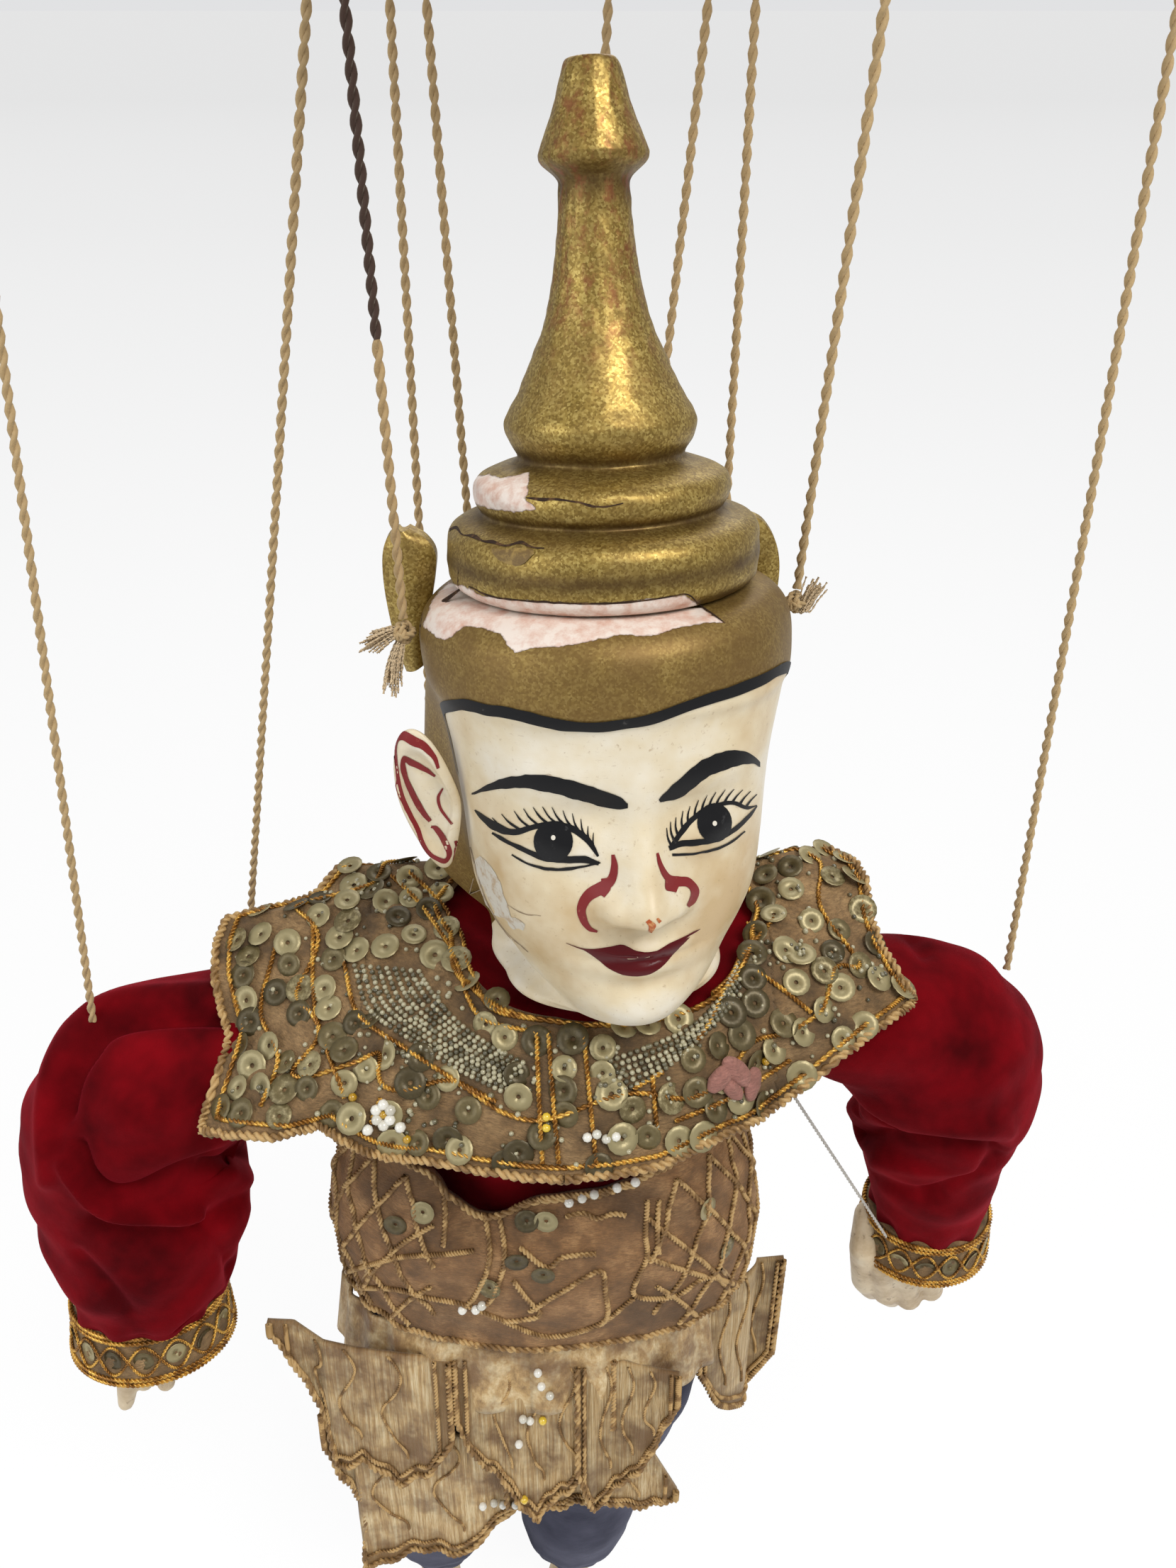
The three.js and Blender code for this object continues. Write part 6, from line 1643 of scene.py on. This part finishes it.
# The cuffs
# A stiff band of the cape's embroidery sewn round the foot of each sleeve, with
# a wavy gold purl between two straight pairs and a row of sequins.
CUFF_HEIGHT = 15.0
CUFF_SEQUINS = 16
CUFF_START = 0.8  # share of the way from the elbow to the wrist
CUFFS = {"right": (19.4, -2.0), "left": (17.4, -3.0)}  # radius, shift to the left
# share of the height, share of the radius, from the inner edge over the outside and back
CUFF_PROFILE = [
    (0.0, 0.84), (-0.03, 0.93), (0.0, 1.0), (0.15, 1.02), (0.5, 1.03), (0.85, 1.05), (1.0, 1.03),
    (1.03, 0.97), (1.0, 0.87),
]


def cuff_point(side_name, u, down, out):
    _, elbow, wrist = map(Vector, LIMBS[side_name])
    ahead = (wrist - elbow).normalized()
    front, across = across_from(ahead)
    radius, aside = CUFFS[side_name]
    angle = u * 2 * math.pi
    reach = radius * between(0.94, 1.0, eased(0, 1, down)) * out
    middle = elbow.lerp(wrist, CUFF_START) + Vector((aside, 0, 0)) + ahead * (down * CUFF_HEIGHT)
    return middle + across * math.sin(angle) * reach + front * math.cos(angle) * reach * 0.9


for side_name in ("right", "left"):
    cuff_bm = bmesh.new()
    grid(cuff_bm, 80, 32, lambda u, v: cuff_point(side_name, u, *along(CUFF_PROFILE, v)), closed=True)
    arm = "forearm_" + side_name
    cuff = finished("embroidered_cuff_" + side_name, cuff_bm, cape_ground)
    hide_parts("cuff_" + side_name)
    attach(cuff, arm)
    wire_bm, disc_bm = bmesh.new(), bmesh.new()
    for down in (0.04, 0.14, 0.86, 0.96):
        couched(wire_bm, [(cuff_point(side_name, i / 60, down, 1.055), None) for i in range(61)], 1.4, 2.2)
    for phase in (0.0, math.pi):
        wave = [(i / 160, 0.5 + 0.27 * math.sin(i / 160 * 16 * math.pi + phase)) for i in range(161)]
        couched(wire_bm, [(cuff_point(side_name, u, down, 1.06), None) for u, down in wave], 0.9, 1.7)
    for i in range(CUFF_SEQUINS):
        spot, inside = (cuff_point(side_name, (i + 0.5) / CUFF_SEQUINS, 0.5, out) for out in (1.01, 0.5))
        strewn(disc_bm, sequin_pattern, spot, (spot - inside).normalized(), 0.8, 0.2)
    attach(finished("cuff_purl_" + side_name, wire_bm, gold_purl), arm)
    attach(finished("cuff_sequins_" + side_name, disc_bm, sequin_finish), arm)


# The hands
# Carved in one with the wrist peg, and hung in the cuff on a thread: the right
# hand open with its fingers together, the left closed on itself.
HANDS = {
    # palm and fingers: places in the picture, each with its depth y and radius in millimetres
    "right": [
        [(176, 1640, -27, 6.5), (172, 1690, -28, 8.0), (168, 1725, -29, 8.0)],
        [(188, 1690, -28, 6.5), (190, 1725, -29, 6.5)],
        [(156, 1715, -31, 3.4), (145, 1735, -33, 3.0), (138, 1751, -35, 2.2)],
        [(168, 1720, -32, 3.7), (164, 1755, -34, 3.3), (161, 1788, -36, 2.2)],
        [(182, 1722, -31, 3.7), (184, 1745, -33, 3.3), (185, 1763, -34, 2.3)],
        [(196, 1690, -30, 3.8), (208, 1725, -33, 3.4), (212, 1762, -36, 2.5)],
    ],
    "left": [
        [(1172, 1552, 6, 7.0), (1150, 1588, 4, 9.0), (1140, 1612, 3, 9.5)],
        [(1170, 1580, 4, 8.5), (1182, 1600, 3, 8.2)],
        [(1108, 1550, 2, 4.2), (1103, 1592, -3, 4.5), (1104, 1630, -1, 4.3), (1112, 1640, 6, 4.0)],
        [(1126, 1570, 0, 4.2), (1126, 1610, -5, 4.5), (1130, 1645, -2, 4.3), (1136, 1650, 6, 4.0)],
        [(1150, 1575, -1, 4.2), (1152, 1618, -5, 4.4), (1158, 1652, -2, 4.2), (1160, 1648, 6, 3.8)],
        [(1178, 1578, 0, 4.1), (1182, 1615, -3, 4.1), (1186, 1642, -1, 3.9), (1182, 1636, 6, 3.6)],
        [(1196, 1580, 3, 3.8), (1206, 1600, 1, 3.5), (1203, 1622, -1, 3.2)],
    ],
}
HAND_GRAIN = 0.6

wood_paint = Finish("painted hand", (0.62, 0.5, 0.34), 0.45)
where = wood_paint.place()
skin = wood_paint.steps(
    wood_paint.grain(where, 90.0, 5.0, 0.65),
    (0.32, (0.42, 0.29, 0.15)), (0.56, (0.66, 0.53, 0.35)), (0.75, (0.76, 0.66, 0.48)))
rubbed_off = wood_paint.steps(wood_paint.grain(where, 420.0, 4.0, 0.7), (0.6, 0.0), (0.7, 0.7))
wood_paint.drive("Base Color", wood_paint.blend(rubbed_off, skin, (0.2, 0.11, 0.05)))
wood_paint.raise_by(wood_paint.grain(where, 300.0, 4.0), 0.15, 0.5)
for side_name, fingers in HANDS.items():
    hand_bm = bmesh.new()
    for finger in fingers:
        line = []
        for across, down, y, radius in finger:
            way = sight(across, down)
            spot = EYE + way * ((y - EYE.y) / way.y)
            line.append((spot, radius))
        for (a, r), (b, q) in zip(line, line[1:]):
            beads = max(2, int((b - a).length / (0.3 * min(r, q))))
            for i in range(beads + 1):
                seat = Matrix.Translation(a.lerp(b, i / beads))
                radius = between(r, q, i / beads)
                bmesh.ops.create_icosphere(hand_bm, subdivisions=2, radius=radius, matrix=seat)
    hand = finished("carved_hand_" + side_name, hand_bm, wood_paint)
    cut = hand.modifiers.new("carved", "REMESH")
    cut.mode = "VOXEL"
    cut.voxel_size = HAND_GRAIN * MM
    cut.use_smooth_shade = True
    rounded = hand.modifiers.new("rounded", "SMOOTH")
    rounded.iterations = 3
    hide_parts("hand_" + side_name)
    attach(hand, "hand_" + side_name)


# The waist panel
# A barrel of padded cotton round the waist, covered with couched cords in a
# lattice at the sides and a lozenge in front, stained and faded.
BARREL_TOP, BARREL_FOOT = -285.0, -345.0
BARREL_MIDDLE = Vector((-11, -10, -315))
BARREL_ROWS = [
    # share down, half width, half depth
    (0.0, 43.2, 22.2), (0.25, 50.2, 27.9), (0.6, 54.0, 30.0), (1.0, 52.9, 29.1),
]
WAIST_CORDS = [
    [(567, 1517), (567, 1560), (565, 1590)], [(616, 1530), (625, 1602), (608, 1649), (591, 1667)],
    [(634, 1530), (644, 1600), (630, 1650), (610, 1672)],
    [(435, 1624), (463, 1615), (514, 1602), (573, 1598), (608, 1594)],
    [(450, 1641), (505, 1643), (548, 1654), (591, 1662), (633, 1679), (697, 1703), (761, 1688), (808, 1654)],
    [(655, 1632), (672, 1655), (689, 1675), (665, 1682), (642, 1684)],
    [(676, 1671), (719, 1645), (765, 1620), (772, 1649), (770, 1684), (710, 1705)],
    [(663, 1590), (697, 1615), (719, 1602), (761, 1598)],
    [(825, 1530), (823, 1573), (825, 1602), (808, 1649), (859, 1652), (902, 1628), (945, 1641)],
    [(825, 1602), (859, 1615), (902, 1628)], [(721, 1551), (744, 1547), (761, 1553), (783, 1547),
     (804, 1551)],
    [(640, 1500), (700, 1512), (760, 1512), (826, 1496)], [(840, 1530), (838, 1573), (840, 1600)],
]
WAIST_PEARLS = [
    (725, 1532), (742, 1526), (757, 1515), (787, 1513), (804, 1498), (591, 1667), (608, 1667), (616, 1662),
]
WAIST_SEQUINS = [
    (659, 1607), (693, 1624), (625, 1641), (672, 1556), (697, 1556), (505, 1560), (540, 1545), (900, 1540),
    (925, 1590),
]


def barrel_dip(angle):
    """The upper edge sags in front, where the jacket shows above it."""
    turn = math.degrees(math.atan2(math.sin(angle), math.cos(angle)))
    return 15.0 * math.exp(-(((turn + 17) / 15) ** 2)) + 9.0 * math.exp(-(((turn - 14) / 22) ** 2))


def barrel_point(u, v):
    angle = u * 2 * math.pi
    _, across, deep = row_by(BARREL_ROWS, v)
    s, c = math.sin(angle), math.cos(angle)
    aside, forth = squarish(angle, 2.2)
    height = between(BARREL_TOP - barrel_dip(angle), BARREL_FOOT, v)
    point = Vector((BARREL_MIDDLE.x + across * aside, BARREL_MIDDLE.y + deep * forth, height))
    away = Vector((s, -c, 0))
    lobes = 0.0 if abs(math.degrees(math.atan2(s, c))) < 26 else 1.0
    cells = abs(math.sin((u * 44 + v * 2.2) * math.pi / 2)) * abs(math.sin((u * 44 - v * 2.2) * math.pi / 2))
    bumps = 1.1 * noise.noise(point * 0.045) + 0.6 * noise.noise(point * 0.16)
    return point + away * (bumps + lobes * 0.9 * cells)


waist_bm = bmesh.new()
grid(waist_bm, 120, 50, barrel_point, closed=True)
bmesh.ops.recalc_face_normals(waist_bm, faces=waist_bm.faces)
turned_to(waist_bm, waist_bm.faces[:], lambda place: place - BARREL_MIDDLE)
waist_tree = BVHTree.FromBMesh(waist_bm)
bmesh.ops.solidify(waist_bm, geom=waist_bm.faces, thickness=2.0)
waist_ground = cloth_finish(
    "faded cotton of the waist", (0.60, 0.34, 0.145), (0.29, 0.145, 0.055), (0.11, 0.055, 0.022), 0.8)
waist = finished("waist_cloth", waist_bm, waist_ground)
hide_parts("waist_panel")
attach(waist, "root")
cord_bm, waist_pearl_bm, waist_sequin_bm = bmesh.new(), bmesh.new(), bmesh.new()
LATTICE_CORDS = 22  # each way
LOZENGE_HALF = 0.075  # of a turn, left free in front for the lozenge


def round_waist(line, diameter, pitch):
    """Couches a cord along a line of the panel's own coordinates."""
    spots = [waist_tree.find_nearest(barrel_point(u % 1, v))[:2] for u, v in line]
    couched(cord_bm, [(spot + normal * 0.4, normal) for spot, normal in spots], diameter, pitch)


for points in WAIST_CORDS:
    couched(cord_bm, laid_along([waist_tree], points, 1.2, 0.4), 1.5, 2.3)
for i in range(LATTICE_CORDS):
    for way in (1, -1):
        start = (i + way * 0.5) / LATTICE_CORDS
        line = [(start - way * 0.1 * k / 16, 0.07 + 0.88 * k / 16) for k in range(17)]
        round_waist([(u, v) for u, v in line if abs((u + 0.5) % 1 - 0.5) > LOZENGE_HALF], 1.5, 2.4)
for share in (0.01, 0.985):
    round_waist([(i / 160, share) for i in range(161)], 1.9, 2.8)
for place in WAIST_PEARLS:
    spot, normal = touch([waist_tree], *place)
    strewn(waist_pearl_bm, bead_pattern, spot + normal * 0.8, normal, 1.2)
for place in WAIST_SEQUINS:
    spot, normal = touch([waist_tree], *place)
    strewn(waist_sequin_bm, sequin_pattern, spot, normal, 0.9, 0.2)
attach(finished("waist_cords", cord_bm, brown_cord), "root")
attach(finished("waist_pearls", waist_pearl_bm, pearl), "root")
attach(finished("waist_sequins", waist_sequin_bm, sequin_finish), "root")


# The trousers
# Full trousers of the grey navy velvet over the carved legs, gathered at the
# waist and drawn in above the foot.
LEGS = {
    # hip, knee, ankle
    "right": [(-38.0, -10.0, -374.0), (-47.74, -12.79, -453.36), (-53.03, -7.5, -528.99)],
    "left": [(8.0, -10.0, -374.0), (-1.74, -12.79, -453.36), (-7.03, -7.5, -528.99)],
}
KNEE_RADIUS = 19.0
# share down the thigh or shin, reach in front and behind, and across, each times the knee's radius
THIGH_SHARES = [(0.02, 1.3, 1.34), (0.25, 1.34, 1.44), (0.5, 1.22, 1.3), (0.8, 1.02, 1.05), (1.0, 0.96, 0.98)]
SHIN_SHARES = [
    (0.0, 0.96, 0.98), (0.25, 1.02, 1.02), (0.5, 0.95, 0.95), (0.7, 0.75, 0.75), (0.785, 0.66, 0.66),
    (0.79, 0.5, 0.5),
]


def by_share(table, place):
    """A row of a table by the value of its first column, eased from one row to the next."""
    for low, high in zip(table, table[1:]):
        if place <= high[0]:
            share = eased(0, 1, (place - low[0]) / (high[0] - low[0]))
            return [between(a, b, share) for a, b in zip(low, high)]
    return list(table[-1])


def trouser_point(side_name, u, v):
    hip, knee, ankle = map(Vector, LEGS[side_name])
    if v < 0.5:
        share = 0.02 + v * 2 * 0.98
        middle, (_, deep, across) = hip.lerp(knee, share), by_share(THIGH_SHARES, share)
    else:
        share = (v - 0.5) * 2 * 0.79
        middle, (_, deep, across) = knee.lerp(ankle, share), by_share(SHIN_SHARES, share)
    angle = u * 2 * math.pi
    s, c = math.sin(angle), math.cos(angle)
    fold = 1 + 0.035 * math.sin(angle * 9 + 3 * v) * (1 - eased(0.0, 0.3, v) * eased(1.0, 0.7, v))
    fold -= 0.05 * swell(v, c, 0.5, -1, 0.05, 1.2)
    reach = KNEE_RADIUS * fold * (1 + 0.04 * noise.noise(middle * 0.03 + Vector((s, c, 0))))
    return middle + Vector((s * across * reach, -c * deep * reach, 0))


for side_name in ("right", "left"):
    leg_bm = bmesh.new()
    grid(leg_bm, 72, 110, lambda u, v: trouser_point(side_name, u, v), closed=True)
    ends_closed(leg_bm)
    bmesh.ops.recalc_face_normals(leg_bm, faces=leg_bm.faces)
    leg = finished("velvet_trouser_" + side_name, leg_bm, navy_velvet)
    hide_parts("trouser_upper_" + side_name, "trouser_lower_" + side_name)
    hip, knee, ankle = map(Vector, LEGS[side_name])
    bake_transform(leg, "thigh_" + side_name, "shin_" + side_name,
             start=(knee + (hip - knee) * 0.14) * MM, end=(knee + (ankle - knee) * 0.14) * MM)
    dress("shin_" + side_name, wood_paint)


# The apron
# Six flame edged flaps on a band round the hips, each of cotton worked solid
# with pale silk floss and bound with couched cords. A raised leg lifts its own.
CLOTH_TOP = -361.1
HIP_CENTRE = Vector((-15.0, -10.0, 0.0))
HIP_HALF, HIP_DEEP = 45.0, 21.0
FLAPS = {
    # x, lift, width, drop, wrap, out, flare, hug, ripple, waves, columns of (share, across, top, foot)
    "apron_hem_right": (-42, -17, 46, 66, 2.4, 29.0, 0.14, 0.5, 0.9, 3, [
        (0, -.66, .02, .2), (.15, -.52, .02, .46), (.28, -.46, .04, .66), (.4, -.5, .08, 1),
        (.55, -.2, .1, .92), (.75, .15, .12, .86), (.88, .38, .16, .66), (1, .6, .2, .5)]),
    "apron_hem_left": (0, -20.5, 46, 36, 2.4, 31.0, 0.16, 0.5, 0.8, 2, [
        (0, -.5, .02, .8), (.3, -.15, .02, .86), (.6, .15, .08, .76), (.8, .36, .2, .88), (1, .54, .72, .8)]),
    "apron_front": (-14, 6.5, 34, 56, 1.5, 26.5, 0.23, 0.4, 0.8, 3, [
        (0, -.62, 0, .35), (.15, -.45, 0, .62), (.3, -.25, 0, .78), (.5, 0, 0, 1), (.7, .25, 0, .8),
        (.85, .45, 0, .62), (1, .62, 0, .4)]),
    "apron_right": (-53.5, 14.9, 36, 57.4, 2.2, 25.6, 0.2, 0.75, 0.9, 2.5, [
        (0, -.82, .02, .06), (.12, -.62, 0, .24), (.25, -.5, .06, .5), (.4, -.42, .1, .9),
        (.55, -.2, .12, .8), (.7, .05, .13, 1), (.85, .3, .14, .84), (1, .5, .15, .6)]),
    "apron_left": (9, 5.2, 24, 50, 2.2, 27.5, 0.25, 0.75, 0.8, 2, [
        (0, -.5, 0, .7), (.2, -.3, 0, 1), (.45, 0, 0, .82), (.7, .3, .05, .62), (1, .62, .1, .3)]),
    "side_wing_left": (41.5, 14.9, 23, 56, 1.35, 14.9, 0.34, 0.8, 0.6, 1.5, [
        (0, -.5, .12, .5), (.3, -.2, .06, .8), (.6, .15, .02, 1), (1, .5, 0, .7)]),
}
FLAP_CUTS = {
    # as it was cut flat, width, length and area in metres; then the body that it hangs over
    "apron_hem_right": (0.060, 0.066, 0.00270, "thigh_right"),
    "apron_hem_left": (0.050, 0.036, 0.00115, "thigh_left"),
    "apron_front": (0.044, 0.058, 0.00182, "thigh_left"),
    "apron_right": (0.050, 0.059, 0.00175, "thigh_right"),
    "apron_left": (0.030, 0.052, 0.00102, "thigh_left"),
    "side_wing_left": (0.025, 0.058, 0.00132, "hips"),
}
FLAP_THICKNESS = 1.3
LEG_LIFTS = (-374.0, -398.0)  # heights between which a flap goes over to its leg
APRON_BEADS = {
    # the body that they hang over: pearls, yellow beads
    "hips": ([(687, 1748), (691, 1765), (701, 1777)], []),
    "thigh_left": ([(667, 1807), (676, 1809), (663, 1839), (657, 1916)], [(691, 1809), (667, 1910)]),
    "thigh_right": ([(616, 1918), (629, 1914), (642, 1916)], []),
}


def flap_point(flap, u, v):
    x, lift, width, drop, wrap, out, flare, hug, ripple, waves, columns = flap
    across, top, foot = (level([(row[0], row[k]) for row in columns], u) for k in (1, 2, 3))
    head_z = CLOTH_TOP + lift
    z = head_z - drop * between(top, foot, v)
    x = x + across * width
    turn = min(abs(x - HIP_CENTRE.x) / (wrap * HIP_HALF), 1.0)
    bow = math.sqrt(1 - turn * turn)
    pleat = math.sin(2 * math.pi * waves * u) + 0.45 * math.sin(2 * math.pi * (waves * 3.3 * u + 0.3 * v))
    out = out + flare * (head_z - z) + 1.3 * ripple * v * pleat
    point = Vector((x, HIP_CENTRE.y - out * (1 - hug + hug * bow), z))
    return point + Vector((0, -1, 0)) * (0.25 + 0.6 * noise.noise(point * 0.1) * v)


def lifted(part, body):
    """A raised leg lifts its own flaps, and the rest hang from the hips."""
    if body == "hips":
        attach(part, "hips")
    else:
        start, end = (Vector((HIP_CENTRE.x, HIP_CENTRE.y, height)) * MM for height in LEG_LIFTS)
        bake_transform(part, "hips", body, start=start, end=end)


silk = Finish("pale silk floss", (0.5, 0.4, 0.22), 0.6)
own_place = silk.place((70.0, 2.2, 1.0), "UV")
fibre = silk.grain(own_place, 1.0, 4.0, 0.75)
silk_patch = silk.grain(silk.place(), 75.0, 4.0, 0.6)
silk_tone = silk.steps(
    fibre, (0.28, (0.18, 0.10, 0.035)), (0.46, (0.50, 0.32, 0.13)), (0.66, (0.80, 0.66, 0.40)))
silk_tone = silk.blend(silk.steps(silk_patch, (0.36, 0.9), (0.56, 0.0)), silk_tone, (0.17, 0.085, 0.03))
# Painted shade: the floss darkens along the sides and foot of each flap, between the pieces.
silk_tone = silk.blend(silk.steps(silk.own("rim"), (0.0, 0.0), (1.0, 0.8)), silk_tone, (0.20, 0.105, 0.035))
silk.drive("Base Color", silk_tone)
silk.raise_by(fibre, 0.8, 0.9)
silk.raise_by(silk_patch, 0.6, 0.6)
silk.sheen(0.25, 0.4, (1.0, 0.9, 0.7))
flap_trees = []
for name, flap in FLAPS.items():
    flap_bm = bmesh.new()
    grid(flap_bm, 56, 44, lambda u, v: flap_point(flap, u, v))
    # A layer for the painted shade near each flap's sides and foot
    rim = flap_bm.verts.layers.float.new("rim")
    for face in flap_bm.faces:
        for loop in face.loops:
            place = loop[flap_bm.loops.layers.uv.active].uv
            loop.vert[rim] = eased(0.16, 0.05, min(place.x, 1 - place.x, 1 - place.y))
    turned_to(flap_bm, flap_bm.faces[:], lambda place: Vector((0, -1, 0)))
    flap_trees.append(BVHTree.FromBMesh(flap_bm))
    backed(flap_bm, FLAP_THICKNESS)
    piece = finished(name + "_cloth", flap_bm, silk)
    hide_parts(name)
    edge_bm = bmesh.new()
    for inset, diameter in ((0.012, 2.0), (0.085, 1.3)):
        far = 1 - inset
        line = [(inset, i / 20 * far) for i in range(21)]
        line += [(between(inset, far, i / 50), far) for i in range(1, 51)]
        line += [(far, (1 - i / 20) * far) for i in range(1, 21)]
        spots = [(flap_point(flap, u, v) + Vector((0, -0.5, 0.1)), None) for u, v in line]
        couched(edge_bm, spots, diameter, diameter * 1.6)
    for lane in (0.3, 0.5, 0.7):
        line = [(lane + 0.05 * math.sin(i / 3), i / 24 * 0.8) for i in range(25)]
        couched(edge_bm, [(flap_point(flap, u, v) + Vector((0, -0.4, 0)), None) for u, v in line], 0.9, 1.6)
    edge = finished(name + "_cords", edge_bm, brown_cord)
    width, length, area, body = FLAP_CUTS[name]
    lifted(piece, body)
    lifted(edge, body)

# The band that the flaps are sewn to, drawn close round the hips
BAND_TOP, BAND_HEIGHT = -347.75, 24.0


def band_point(u, v):
    angle = u * 2 * math.pi
    s, c = math.sin(angle), math.cos(angle)
    out = 6.2 + 4.0 * v + 0.7 * math.sin(angle * 26 + 2 * noise.noise(Vector((s * 3, c * 3, 0))))
    aside, forth = squarish(angle, 2.3)
    height = BAND_TOP - BAND_HEIGHT * v
    return HIP_CENTRE + Vector(((HIP_HALF + out) * aside, (HIP_DEEP + out) * forth, height))


band_bm = bmesh.new()
grid(band_bm, 220, 10, band_point, closed=True)
# The band's layer for the painted edge shade stays at nought.
band_bm.verts.layers.float.new("rim")  # the band has no dark rim
flap_trees.append(BVHTree.FromBMesh(band_bm))
bmesh.ops.solidify(band_bm, geom=band_bm.faces, thickness=1.0)
band = finished("apron_band", band_bm, silk)
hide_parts("apron_front")
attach(band, "hips")
for body, bead_places in APRON_BEADS.items():
    for kind, places, finish in zip(("pearls", "yellow_beads"), bead_places, (pearl, amber)):
        if places:
            bead_bm = bmesh.new()
            for place in places:
                spot, normal = touch(flap_trees, *place)
                strewn(bead_bm, bead_pattern, spot + normal * 0.8, normal, 1.15)
            lifted(finished(f"apron_{kind}_{body}", bead_bm, finish), body)


# Light and floor
# A pale floor and backdrop, a soft key lamp from the right and a fill from the left.
FLOOR_HEIGHT, FLOOR_SIZE = -548, 40000
floor_bm = bmesh.new()
bmesh.ops.create_grid(floor_bm, x_segments=2, y_segments=2, size=FLOOR_SIZE)
bmesh.ops.translate(floor_bm, vec=(0, 0, FLOOR_HEIGHT), verts=floor_bm.verts)
paper = Finish("backdrop paper", (0.9, 0.9, 0.895), 0.9)
# Painted light: camera rays see the floor glow, paler near and greyer far off, over a dark grey; all other
# rays see it plain pale grey.
far = paper.add("SeparateXYZ", {0: paper.add("TexCoord", {}, "Object")}, 1)
shade = paper.steps(paper.sum("MULTIPLY", far, 0.1), (0.0, 0.985), (0.1, 0.93), (0.3, 0.86), (0.7, 0.80))
rays = paper.nodes.new("ShaderNodeLightPath")
seen = rays.outputs["Is Camera Ray"]
paper.drive("Base Color", paper.blend(seen, (0.9, 0.9, 0.895), (0.12, 0.12, 0.12)))
paper.shader.inputs["Specular IOR Level"].default_value = 0.0
paper.drive("Emission Color", shade)
paper.drive("Emission Strength", paper.sum("MULTIPLY", seen, 0.9))
floor = finished("floor", floor_bm, paper, smooth=False)

world = bpy.data.worlds.new("studio")
bpy.context.scene.world = world
world.use_nodes = True
sky = world.node_tree.nodes["Background"]
sky_rays = world.node_tree.nodes.new("ShaderNodeLightPath")
sky_mix = world.node_tree.nodes.new("ShaderNodeMath")
sky_mix.operation = "MULTIPLY_ADD"
sky_mix.inputs[1].default_value = 0.27
sky_mix.inputs[2].default_value = 0.5
world.node_tree.links.new(sky_rays.outputs["Is Camera Ray"], sky_mix.inputs[0])
world.node_tree.links.new(sky_mix.outputs[0], sky.inputs["Strength"])
sky.inputs["Color"].default_value = (0.98, 0.985, 1.0, 1.0)


LAMPS_AIM = Vector((0, 0, -0.24))


def lamp(name, place, power, size, colour):
    light = bpy.data.lights.new(name, "AREA")
    light.energy = power
    light.size = size
    light.color = colour
    holder = bpy.data.objects.new(name, light)
    holder.location = place
    holder.rotation_euler = (LAMPS_AIM - Vector(place)).to_track_quat("-Z", "Y").to_euler()
    bpy.context.scene.collection.objects.link(holder)


lamp("key", (0.45, -0.5, 0.75), 9.0, 0.5, (1.0, 0.98, 0.95))
lamp("fill", (-0.9, -0.5, 0.25), 4.0, 0.8, (0.95, 0.97, 1.0))
lamp("back", (0.1, 0.9, 0.5), 4.0, 0.8, (1.0, 1.0, 1.0))
bpy.context.scene.view_settings.view_transform = "Standard"
